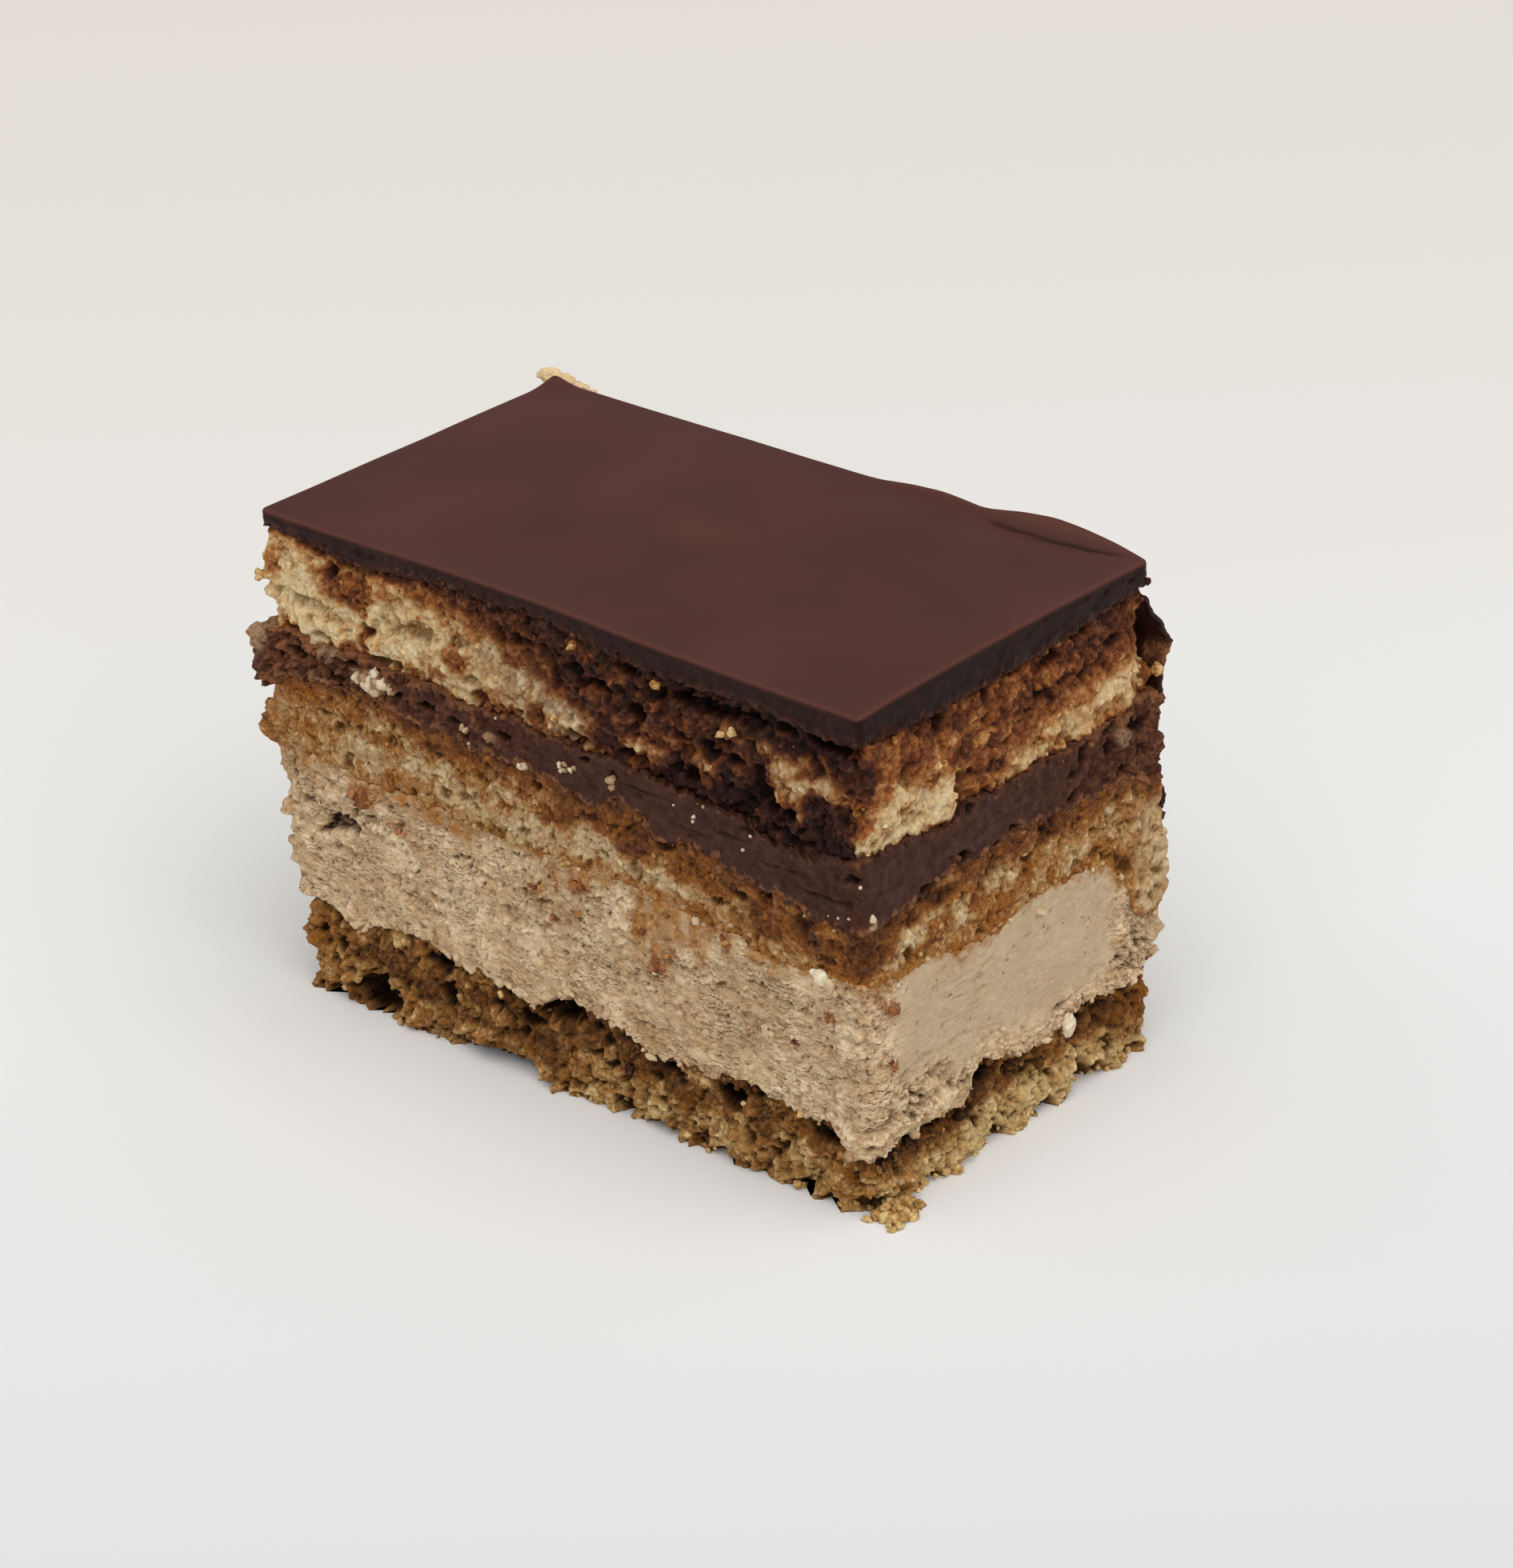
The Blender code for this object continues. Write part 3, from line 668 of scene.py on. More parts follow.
    light = [("F", 2.4, 42.8, 1.1, .7, .55), ("F", 11.0, 42.7, 1.4, .6, .5), ("F", 20.1, 42.9, .6, .7, .6),
             ("F", 30.4, 46.0, 1.9, .8, .50), ("F", 31.8, 43.8, 1.3, 1.2, .55), ("F", 38.4, 44.4, 1.8, 1.4, .70),
             ("F", 35.0, 45.2, 1.6, .8, .5), ("F", 21.4, 43.4, 1.2, .6, .4), ("F", 14.0, 43.0, 1.8, .6, .4),
             ("F", 40.6, 42.6, 1.7, 2.8, 1.), ("F", -37, 47.4, 4, 2.6, .5), ("F", 28.8, 42.8, .5, .5, .4),
             ("R", -17, 42.2, 5.0, 2.6, .92), ("R", -12, 41.2, 3.0, 2.2, .80), ("R", -9.4, 39.8, 1.3, 1.0, .45),
             ("R", -3, 44.8, 1.4, .8, .45), ("R", 1, 43.5, 2.0, .6, .4), ("R", 14, 42.3, 8, 1.8, .55),
             ("R", 19.6, 43.2, 3, 2.0, .55), ("R", 6.5, 41, 2.2, 1.2, .5), ("R", -16.5, 47.8, 3, .8, .3),
             ("R", 9.5, 45.7, 1.6, .8, .3)]
    fa = np.clip(spots(w, fair, warp, 0.55), 0, 1)
    tone = tone * (1 - fa) + (0.37 + 1.1 * mott) * fa
    lo = np.clip(spots(w, light, warp, 0.50), 0, 1)
    tone = tone * (1 - lo) + (0.12 + 0.07 * np.clip(w.side["R"], 0, 1) + 0.5 * np.clip(mott, 0, 1)) * lo
    tone = tone + spots(w, orange, warp, 0.5) * (1 - tone)
    dk = np.clip(spots(w, dark, warp, 0.4), 0, 1)
    tone = tone + dk * (0.84 - tone)
    # single crumbs differ from their neighbours
    tone = tone + (own - 0.5) * 0.10 + (own2 - 0.5) * 0.10 + (own3 - 0.5) * 0.05

    holes = [("F", 6.7, 47.9, 1.6, .5, -1.6), ("F", 11.3, 46.2, 1.0, 1.0, -1.6), ("F", 10.2, 50.4, 1.4, .5, -1.5),
             ("F", 13.3, 49.0, 1.0, 1.2, -1.6), ("F", 21.0, 49.6, 2.2, .8, -2.0), ("F", 26.2, 50.0, 1.8, .6, -1.8),
             ("F", 30.5, 50.2, 1.4, .5, -1.5), ("F", 22.4, 47.0, .9, .9, -1.6), ("F", 24.0, 45.0, 1.3, .5, -1.4),
             ("F", 27.0, 43.2, 1.0, 1.6, -1.6), ("F", 20.6, 45.4, .8, .6, -1.2), ("F", 2.6, 41.1, 1.0, .5, -1.5),
             ("F", 4.2, 41.0, .6, .4, -1.2), ("F", 9.6, 41.4, 1.0, .5, -1.3), ("F", 11.2, 41.0, .8, .4, -1.2),
             ("F", 18.2, 41.5, .9, .6, -1.5), ("F", 28.4, 41.6, .8, .9, -1.4), ("F", 30.2, 41.0, .9, .5, -1.2),
             ("F", 37.0, 50.0, 3.2, .6, -2.2), ("F", 17.4, 49.4, 1.0, .6, -1.2), ("F", 3.2, 48.6, 1.0, .5, -1.0),
             ("F", 17.0, 45.4, .8, .6, -1.0), ("F", -7.0, 41.7, .5, .35, -1.2), ("F", -5.0, 41.7, .5, .3, -1.2),
             ("F", 2.3, 43.0, .6, .4, -1.0), ("F", 20.0, 42.1, .5, .4, -1.0), ("F", -23.6, 41.8, 2.4, .5, -1.7),
             ("F", -32.5, 42.2, 1.6, .45, -1.2), ("F", -37.2, 42.3, 1.4, .45, -1.2), ("F", -18.6, 46.5, 2.2, 1.2, -1.4),
             ("F", -21.6, 45.8, 1.6, .9, -1.0), ("F", -34.5, 45.6, 3.4, .7, -0.9), ("F", -26.0, 44.7, 1.0, .6, -1.1),
             ("F", -10.8, 43.4, 1.6, .5, -1.0), ("F", -12.5, 47.3, 1.2, .7, -0.8), ("F", -30.2, 50.3, 1.0, .6, -1.0),
             ("F", -4.4, 49.6, 1.6, .6, -1.0), ("F", -27.0, 50.4, 1.4, .6, -.6), ("F", -6, 45.2, 1.2, .7, -.7),
             ("F", -31, 44.6, 1.2, .5, -.7),
             ("R", -16, 50.3, 1.7, .35, -1.6), ("R", -9.6, 48.9, .9, 1.1, -1.4), ("R", 1.3, 50.1, 1.2, .5, -1.8),
             ("R", 7.5, 49.4, 1.4, .9, -1.4), ("R", 12.2, 50.5, 1.4, .4, -1.5), ("R", 5.2, 46.0, .8, .9, -.9),
             ("R", 22.6, 46.5, 1.5, 3.4, -2.4), ("R", -14.2, 41.6, 1.3, .8, -.9), ("R", -13.5, 40.4, 1.5, .6, -1.0),
             ("R", -19.3, 39.9, .5, .4, -1.2), ("R", -17.3, 39.8, .5, .4, -1.2), ("R", -6.9, 41.0, .8, 1.4, -0.7),
             ("R", .3, 43.2, .5, .4, -.6), ("R", -4.4, 50.2, 1.4, .35, -1.2), ("R", 17.5, 47.6, 1.0, .6, -.8)]
    holes += scatter("BL", 12, (43, 50.5), 1.2, -1.4, 7)
    lumps = [("F", -28.3, 48.9, 3.8, 1.5, .6), ("F", -36.3, 43.4, 1.8, 1.4, .6), ("F", -33.2, 43.4, 1.6, 1.0, .6),
             ("F", -24.0, 43.6, 2.0, 1.0, .9), ("F", -30.2, 43.0, 1.2, 1.0, .5), ("F", -13.5, 45.0, 3.0, 2.2, .5),
             ("F", -8.5, 44.0, 2.4, 1.2, .4), ("F", 23.8, 47.9, 1.5, .8, .7), ("F", 31, 45.2, 2.4, 1.3, .5),
             ("F", 21.8, 40.6, 1.5, 1.0, .5), ("F", 3.2, 42.5, 1.8, 1.2, .4), ("F", 14, 45.2, 2.2, 1.1, .5),
             ("F", 1.6, 47.6, 1.6, 1.0, .5), ("F", 33.5, 39.7, 2.6, 1.0, .4), ("F", 9.0, 48.6, 1.2, .8, .4),
             ("R", -9.6, 40, 1.8, 1.6, .35), ("R", -18, 42.6, 3.0, 2.0, .4), ("R", 6, 45.6, 3, 1.4, .4),
             ("R", 15, 43.0, 4.5, 1.6, .4), ("R", -14, 46, 3.0, 1.2, .3)]
    h = spots(w, holes, warp * 0.8, 0.45)
    d = d + h + spots(w, lumps, warp, 0.5)
    # chocolate-soaked parts are torn deeper
    soaked = smooth(0.5, 0.8, tone)
    pits = smooth(0.24, 0.58, perlin(P / 1.15, 361) + 0.4 * perlin(P / 0.5, 362))
    d = d - 0.85 * pits * soaked
    # painted shade in the soaked pits and in the holes
    cav = np.clip(cav + 0.45 * pits * soaked + np.clip(-h, 0, 1.8) * 0.50, 0, 1)
    # hollow under the lip of the glaze
    lip = 1 - smooth(0.0, 1.3, w.below)
    d = d - 0.45 * lip * (0.6 + 0.6 * perlin(P / 2.4, 364))
    d = d * (0.60 + 0.40 * rim_fade(w, 0.7))
    # painted shade from the relief's crevices and ledges and painted highlight on its crests; the pale parts, the right
    # side most, get less of the shade
    c2, crest = shade(w, d, 0.34, 1.4, 0.34, 0.55, 0.40)
    fair_part = 1 - smooth(0.15, 0.42, tone)
    on_r = np.clip(w.side["R"], 0, 1)
    cav = cav * (1 - (0.30 + 0.20 * on_r) * fair_part)
    c2 = c2 * (1 - (0.32 + 0.20 * on_r) * fair_part)
    d = d * (0.86 - (0.20 + 0.12 * on_r) * fair_part) + edge_drift(w)
    w.move(d, vec_noise(P / 0.9, 370) * 0.16 + vec_noise(P / 0.45, 371) * 0.08)
    veil = per_side(w, F=[(-40, 0.0), (-24, 0.05), (-12, 0.30), (-4, 0.60), (4, 0.85), (36, 0.85), (40, 0.55)],
                    R=[(-22, 0.30), (-16, 0.12), (0, 0.20), (10, 0.15), (22, 0.20)],
                    B=[(40, 0.3), (0, 0.5), (-40, 0.2)], L=[(22, 0.2), (-22, 0.05)])
    veil = veil * (0.75 + 0.5 * smooth(-0.4, 0.4, perlin(P / 2.8, 391))) * smooth(0.12, 0.45, tone + 0.15)
    veil = veil * (1 - 0.80 * lo) * (1 - 0.42 * fa) * (1 - 0.4 * np.clip(spots(w, orange, warp, 0.5), 0, 1))
    w.attr = {"tone": np.clip(tone, 0, 1), "cav": np.clip(cav * 0.75 + c2 * 0.72, 0, 1), "crest": crest,
              "veil": np.clip(veil, 0, 1),
              "cool": np.clip(0.45 + 0.5 * perlin(P / 3.0, 381) + 0.5 * lo, 0, 1),
              "wet": np.clip(0.5 + 0.8 * perlin(P / 1.2, 382), 0, 1)}
    return w


# ---------------------------------------------------------------- middle sponge
def make_sponge_middle():
    w = Wall(("sponge_middle", "cream_top", "choc_foot", (1.2, 0.0, 0.0, 2.4), 1.3), DS, DFAR, DZ)
    P = w.P
    d, cav, own, own2, own3 = crumb_relief(P, 500, 2.2, 0.85, 0.44, 3.2, 0.9)
    d = d * 0.85
    warp = rough_warp(P, 520)
    n = 1.2 * perlin(P / 2.8, 531) + 0.9 * perlin(P / 1.1, 532) + 0.5 * perlin(P / 0.5, 533)
    edge = per_side(w,
                    F=[(-40, 33.6), (-36, 34.2), (-31, 34.8), (-27, 35.4), (-23, 35.0), (-19, 34.2),
                       (-15, 33.4), (-10, 33.2), (-5, 33.0), (0, 32.6), (3, 31.8), (6, 31.4), (9, 31.0),
                       (13, 30.6), (17, 30.0), (21, 29.4), (24, 28.6), (27, 27.4), (31, 26.2), (40, 25.8)],
                    R=[(-22, 27.0), (-19, 28.6), (-15, 30.0), (-10, 30.2), (0, 30.4), (5, 30.4),
                       (10, 30.2), (15, 30.4), (20, 30.0), (24, 29.0)],
                    B=[(40, 29), (22, 30.4), (6, 30.6), (-10, 32.0), (-24, 31.6), (-40, 33.6)],
                    L=[(22, 33.6), (6, 31.6), (-8, 33.2), (-22, 33.6)])
    deep = per_side(w, F=[(-40, 0.52), (-30, 0.54), (-20, 0.58), (-10, 0.59), (0, 0.60), (12, 0.62),
                          (22, 0.58), (30, 0.54), (36, 0.53), (40, 0.53)],
                    R=[(-22, 0.54), (-16, 0.57), (-8, 0.60), (0, 0.61), (8, 0.58), (16, 0.56), (24, 0.54)],
                    B=[(40, 0.5), (15, 0.58), (-12, 0.5), (-40, 0.46)],
                    L=[(22, 0.48), (0, 0.55), (-22, 0.44)])
    mott = 0.16 * perlin(P / 3.6, 544) + 0.20 * perlin(P / 1.6, 545) + 0.10 * perlin(P / 0.75, 546)
    fond = per_side(w, F=[(-40, .26), (-20, .26), (0, .24), (20, .28), (40, .34)],
                    R=[(-22, .34), (-8, .34), (4, .38), (14, .34), (24, .24)], B=[(40, .3), (-40, .3)], L=[(22, .3), (-22, .26)])
    tone = np.clip(fond + 0.24 * perlin(P / 2.8, 541) + 0.15 * perlin(P / 0.9, 542), 0.0, 0.56)
    tone = tone + (deep + mott - tone) * soften(-0.6, 1.0, (P[:, 2] - edge + n) / 2.0)
    tone = tone + 0.40 * (1 - smooth(0.1, 1.1, w.below + 0.5 * n)) * (1 - tone)
    # amber syrup line over the cream
    syrup = (1 - smooth(0.3, 1.3, w.above + 0.35 * n)) * (0.70 + 0.5 * perlin(P / 4.0, 551))
    left = per_side(w, F=[(-40, 0.42), (-26, 0.34), (-14, 0.22), (0, 0.18), (24, 0.22), (40, 0.3)],
                    R=[(-22, 0.36), (-8, 0.34), (8, 0.40), (16, 0.46), (24, 0.44)],
                    B=[(40, .3), (10, .1), (-16, .12), (-40, .3)], L=[(22, .25), (0, .12), (-22, .3)])
    amber = np.clip(syrup, 0, 0.95) + np.clip(left + 0.50 * perlin(P / 3.0, 552) + 0.2 * perlin(P / 1.1, 553), 0, 0.7)
    amber += np.clip(spots(w, [("F", -37, 31.5, 3.4, 3.0, .40), ("F", -34, 35.2, 3.6, 1.1, .55),
                               ("F", -42, 29.6, 1.6, 2.0, .9), ("F", -20.4, 29.6, 3.4, 1.0, .85),
                               ("F", -12, 33.9, 3.2, 1.2, .45), ("F", 7.4, 33.6, 1.6, 1.5, .55),
                               ("F", 19, 31.5, 3.2, 1.5, .5), ("F", 17, 27.4, 3.4, 1.2, .85), ("F", -36, 28.4, 3.0, .8, .5),
                               ("R", 12.4, 29.0, 1.8, 1.0, .8), ("R", 14.0, 26.0, 2.0, 1.4, .9),
                               ("R", 20, 28.4, 4, 2.0, .5), ("R", -3, 27.0, 3, 1.0, .5), ("R", 5, 27.4, 3, 1.2, .4),
                               ("R", 18.6, 21.8, 1.5, 2.4, .95), ("R", -8, 30.4, 1.2, .8, .5), ("R", -6.5, 25.2, 3.0, 1.2, .6),
                               ("R", -15, 26.2, 4, .8, .4)] + scatter("BL", 8, (27, 33), 1.8, .6, 15),
                           warp, 0.6), 0, 1)
    brown = [("F", -16.0, 34.3, 2.3, .9, .62), ("F", -1.3, 31.9, 1.6, 1.1, .66), ("F", 1.3, 32.1, 1.5, 1.3, .58),
             ("F", 11.0, 32.6, 2.4, 1.2, .45), ("F", 9.5, 31.2, 1.5, .8, .5), ("F", -22.6, 29.4, 1.5, .9, .45),
             ("F", -7.2, 30.9, .8, .5, .5), ("F", 6.4, 28.5, 1.0, .6, .4), ("F", 16, 31.0, 1.6, .8, .45),
             ("F", 28, 29.5, 2.6, 1.8, .36), ("F", 34, 28.6, 3.0, 1.4, .45), ("F", 39.4, 29, 1.4, 2.6, .78),
             ("F", -9.8, 35.1, .9, .7, .3), ("F", -35.5, 35.2, 3, 1.0, .25), ("F", 24, 31.6, 1.2, .8, .4),
             ("F", -40, 34, 1.0, 1.0, .3), ("F", -27.5, 34.0, 1.5, .8, .2),
             ("R", -19, 29.6, 2.4, 1.3, .55), ("R", -11, 27.6, 2.4, 1.3, .38), ("R", -5.2, 28.4, 1.4, 1.4, .5),
             ("R", -10.6, 30.7, 1.6, .9, .5), ("R", -2, 31.9, 1.4, 1.0, .55), ("R", 3, 32.2, 3, .8, .4),
             ("R", 22.6, 30.8, 1.3, 2.2, .7), ("R", 14, 31.3, 5, 1.0, .35), ("R", 9, 32.0, 2.5, .8, .5),
             ("R", -21.6, 28.2, 1.2, 1.5, .6), ("R", -15.6, 30.6, 1.5, .9, .5), ("R", -8.2, 31.0, 1.5, .9, .55),
             ("R", -17.8, 31.0, 1.4, .8, .5), ("R", .6, 31.4, 1.5, 1.1, .5), ("R", 6.6, 31.2, 1.3, .9, .45),
             ("R", -12.6, 26.4, 1.2, .8, .35), ("R", 3.0, 28.0, 1.0, .8, .3), ("F", -12.4, 32.2, 1.4, .7, .35),
             ("F", -25.0, 33.0, 1.6, .7, .35), ("F", 6.2, 32.6, 1.6, .8, .4), ("F", 20.6, 30.6, 1.4, .9, .4)]
    brown += scatter("BL", 10, (28, 34), 1.3, 0.6, 16)
    light = [("F", -27.5, 31.2, 3.6, 1.8, .75), ("F", -30, 28.8, 2.0, .8, .5), ("F", -19.5, 31.8, 2.6, 1.0, .70),
             ("F", -13, 30.2, 4, 1.4, .55), ("F", -7, 28.8, 4, 1.2, .6), ("F", -1.6, 29.2, 2.5, 1.4, .6),
             ("F", 4.5, 31.0, 3, 1.4, .85), ("F", 8.2, 29.8, 4, 1.1, .8), ("F", 14, 29.0, 4, .9, .7), ("F", 18, 28.6, 2.2, .8, .5),
             ("F", 21.5, 28.2, 1.8, 1.0, .55), ("F", 24.5, 29.6, 1.2, 1.0, .45), ("F", -9, 36.0, 1.0, .6, .3),
             ("R", -14.6, 28.4, 2.0, 1.5, .9), ("R", -7.7, 28.2, 1.4, 1.7, .8), ("R", 10, 27.4, 3.2, 1.6, .8),
             ("R", 4.4, 26.6, 1.6, 1.0, .6), ("R", -2.5, 29.2, 1.5, .9, .5), ("R", 0.8, 28.6, 1.2, .8, .45),
             ("R", 14.6, 28.6, 1.6, 1.0, .5), ("R", -18.6, 26.6, 1.2, .7, .5), ("R", 22.6, 19.5, 2.4, 3.6, .9), ("R", 22.0, 27.0, 1.7, 3.2, .6),
             ("R", 21.6, 16.6, 1.6, 1.4, .9), ("R", 6, 29.8, 1.6, .8, .3)]
    lo = np.clip(spots(w, light, warp, 0.55), 0, 1)
    tone = tone * (1 - 0.94 * lo) + (0.08 + 0.6 * np.clip(mott, 0, 1)) * 0.94 * lo
    b = np.clip(spots(w, brown, warp, 0.45), 0, 1)
    tone = tone + b * (0.86 - tone) * 0.9
    tone = tone + (own - 0.5) * 0.14 + (own2 - 0.5) * 0.12 + (own3 - 0.5) * 0.06
    holes = [("F", 27.7, 32.0, .7, .7, -2.0), ("F", -15.5, 29.8, .8, .6, -.7), ("F", -11, 29.4, .5, .3, -.7),
             ("F", -8, 36, .6, .4, -.8), ("F", 14.8, 33.0, 1.0, .6, -.9), ("F", -30.6, 32.9, .8, .4, -.5),
             ("F", 4.5, 33.2, 1.1, .5, -.7), ("F", 24.5, 31.0, 1.0, .5, -.9), ("F", -2.4, 34.6, .8, .5, -.8),
             ("F", 21.6, 29.2, .8, .4, -.9), ("F", -33, 33.8, 1.0, .4, -.6), ("F", 18.5, 32.4, .9, .5, -.7),
             ("R", -12.4, 31.8, 1.1, .6, -1.4), ("R", 5.3, 30.8, 1.2, .9, -.9), ("R", 13.4, 26.0, .9, .7, -.8),
             ("R", -17.6, 27.4, .8, .5, -.6), ("R", 3.2, 29.9, 1.2, .5, -.5), ("R", 19, 22.2, .8, 1.2, -.7),
             ("R", 16.8, 30.4, 1.0, .5, -.6)]
    holes += scatter("BL", 8, (28, 34), 1.0, -1.1, 17)
    lumps = [("F", 1, 32.2, 1.3, 1.2, .4), ("F", -41, 31.0, 2.0, 1.6, .6), ("F", -22, 29.6, 2.2, .9, .4),
             ("F", 10, 32.4, 1.8, 1.0, .4), ("R", 22.2, 19, 2.2, 3.4, .6), ("R", -19.5, 28.8, 1.8, 1.3, .4),
             ("F", -16, 34.2, 1.8, .8, .4), ("R", -14.6, 28.6, 1.4, 1.1, .3), ("R", 20.8, 16.6, 1.2, 1.2, .5)]
    h = spots(w, holes, warp * 0.8, 0.45)
    d = d + h + spots(w, lumps, warp, 0.5)
    d = d * (0.55 + 0.45 * rim_fade(w, 0.7))
    # painted shade in holes and crevices, painted highlight on the crests
    c2, crest = shade(w, d)
    cav = np.clip(cav * 0.75 + np.clip(-h, 0, 1.6) * 0.45 + c2 * 0.75, 0, 1)
    d = d * 0.70 + edge_drift(w)
    w.move(d, vec_noise(P / 0.9, 570) * 0.15 + vec_noise(P / 0.45, 571) * 0.10)
    veil = per_side(w, F=[(-40, .10), (-20, .15), (4, .25), (18, .45), (28, .75), (40, .95)],
                    R=[(-22, .95), (-17, .6), (-8, .45), (4, .30), (22, .30)], B=[(40, .3), (-40, .2)], L=[(22, .2), (-22, .1)])
    veil = veil * smooth(-0.10, 0.22, perlin(np.stack([P[:, 0] / 1.5, P[:, 1] / 1.5, P[:, 2] / 1.9], 1), 591)
                         + 0.5 * perlin(P / 0.7, 592)) * (1 - smooth(1.6, 4.6, w.below))
    w.attr = {"tone": np.clip(tone, 0, 1), "cav": cav, "crest": crest, "amber": np.clip(amber, 0, 1),
              "veil": np.clip(veil, 0, 1),
              "cool": np.clip(0.42 + 0.6 * perlin(P / 2.6, 581) + 0.5 * lo, 0, 1),
              "wet": np.clip(0.5 + 0.8 * perlin(P / 1.2, 582), 0, 1)}
    return w


# ---------------------------------------------------------------- bottom sponge
def make_sponge_bottom():
    w = Wall(("sponge_bottom", "base", "cream_foot", (-1.6, -0.1, -0.15, 0.9), 1.6), DS, DFAR, DZ)
    P = w.P
    d, cav, own, own2, own3 = crumb_relief(P, 700, 2.9, 1.25, 0.55, 3.0, 1.25)
    d = d * 1.15
    warp = rough_warp(P, 720)
    n = 1.2 * perlin(P / 2.8, 731) + 0.8 * perlin(P / 1.1, 732) + 0.5 * perlin(P / 0.5, 733)
    u = w.above / (w.above + w.below)
    top = per_side(w, F=[(-40, .44), (-36, .56), (-26, .60), (-16, .64), (-4, .66), (4, .62), (12, .66),
                         (22, .62), (30, .64), (36, .60), (40, .52)],
                   R=[(-22, .60), (-14, .66), (-8, .62), (-4, .68), (4, .64), (12, .68), (20, .64), (22, .56)],
                   B=[(40, .6), (10, .66), (-20, .6), (-40, .56)], L=[(22, .56), (0, .66), (-22, .48)])
    low = per_side(w, F=[(-40, .34), (-30, .44), (-20, .46), (-10, .40), (0, .34), (10, .32), (20, .34),
                         (30, .36), (40, .26)],
                   R=[(-22, .24), (-16, .16), (-6, .10), (6, .08), (14, .14), (20, .28), (22, .32)],
                   B=[(40, .3), (10, .36), (-20, .3), (-40, .4)], L=[(22, .4), (0, .3), (-22, .38)])
    cut = per_side(w, F=[(-40, .5), (-20, .50), (0, .60), (20, .52), (40, .55)],
                   R=[(-22, .66), (-10, .64), (0, .60), (12, .60), (22, .6)],
                   B=[(40, .5), (0, .6), (-40, .5)], L=[(22, .5), (-22, .5)])
    mott = 0.13 * perlin(P / 1.7, 745) + 0.12 * perlin(P / 0.8, 746)
    tone = low + (top - low) * soften(-0.16, 0.16, u - cut + 0.10 * n) + mott
    tone = tone + 0.30 * (own - 0.5) + 0.28 * (own2 - 0.5) + 0.12 * (own3 - 0.5)
    amber = 0.26 + 0.45 * perlin(P / 3.2, 743) + 0.2 * perlin(P / 1.2, 744)
    amber += spots(w, [("F", -37.5, 7.0, 2.6, 3.2, .70), ("F", -23, 1.6, 1.8, 1.8, .9), ("F", -35, 1.5, 3.0, 1.2, .5),
                       ("R", -16.4, 1.6, 1.8, 1.6, .9), ("F", 5.5, 2.6, 2.4, 1.2, .6), ("F", 37, 2.5, 3, 2, .4),
                       ("R", 20, 7.0, 3.2, 3, .5), ("R", 3, 7, 4, 1.3, .3), ("F", -13, 3.2, 2.4, 1.0, .5),
                       ("F", -6.4, 3.8, 1.4, 1.0, .4), ("F", 0.4, 1.6, 1.8, .8, .5), ("F", 31, 4.6, 1.6, 1.8, .35),
                       ("F", -31.5, 3.8, 1.6, 1.2, .4), ("F", -20.6, 9.8, 1.0, 1.2, .5)],
                   warp, 0.7)
    light = [("R", -14, 2.4, 4, 1.6, .55), ("R", 12, 2.6, 4, 1.6, .5), ("F", 31, 4.6, 1.6, 1.9, .75), ("F", 24.5, 7.6, 1.4, .9, .45), ("F", 22, 3.5, 4.0, 1.4, .30),
             ("F", 8, 3.2, 5, 1.4, .30), ("F", 18, 8.4, 2.2, .9, .55), ("F", -9.6, 6.0, 1.6, 1.0, .55),
             ("F", -24.5, 10.2, 1.4, 1.0, .7), ("F", -30.5, 9.0, 1.0, 1.0, .5), ("F", -12.5, 3.2, 2.2, .8, .35),
             ("F", -31.5, 3.4, 1.6, 1.2, .35), ("F", -21, 10.2, 1.2, 1.0, .4), ("F", 1.4, 1.4, 1.5, .6, .5),
             ("R", -8, 2.8, 8, 1.9, .55), ("R", 7, 2.8, 8, 1.9, .6), ("R", 1.5, 4.6, 2.0, 1.6, .5),
             ("R", -19, 1.2, 3.0, 1.6, .6), ("R", 16, 2.2, 2.0, 1.2, .6), ("R", 21, 1.6, 1.4, 1.0, .7),
             ("F", 36, 1.8, 2.4, 1.0, .3)]
    dark = [("F", -35.5, 7.2, 1.6, 1.6, .20), ("F", -27, 6.4, 4.5, 1.4, .28), ("F", -19, 5.0, 3.0, 2.4, .30),
            ("F", -5, 5.8, 4.5, 2.4, .30), ("F", 13.5, 7.6, 2.6, 1.0, .35), ("F", 22.5, 7.8, 2.4, 1.6, .5),
            ("F", 34, 7.6, 3.0, 1.2, .45), ("F", -10, 1.0, 5, 1.0, .4), ("F", 4, 8.6, 5, 1.2, .15),
            ("F", -3, 3.6, 6.0, 2.4, .34), ("F", -38, 6.4, 2.6, 3.0, .12), ("R", -16, 5.4, 5, 1.8, .3),
            ("R", -10, 4.6, 4, 1.4, .22), ("R", 18, 5.4, 5, 2.6, .3), ("R", -5, 8.4, 3.4, 1.4, .35), ("R", 15, 7.6, 3.6, 1.6, .32), ("R", 3, 7.0, 5, .9, .25),
            ("R", -12, 6.2, 5, .8, .25)]
    lo = np.clip(spots(w, light, warp, 0.6), 0, 1)
    tone = tone * (1 - lo) + (0.10 + 0.8 * np.clip(mott, 0, 1)) * lo
    tone = tone + spots(w, dark, warp, 0.5) * (1 - tone)
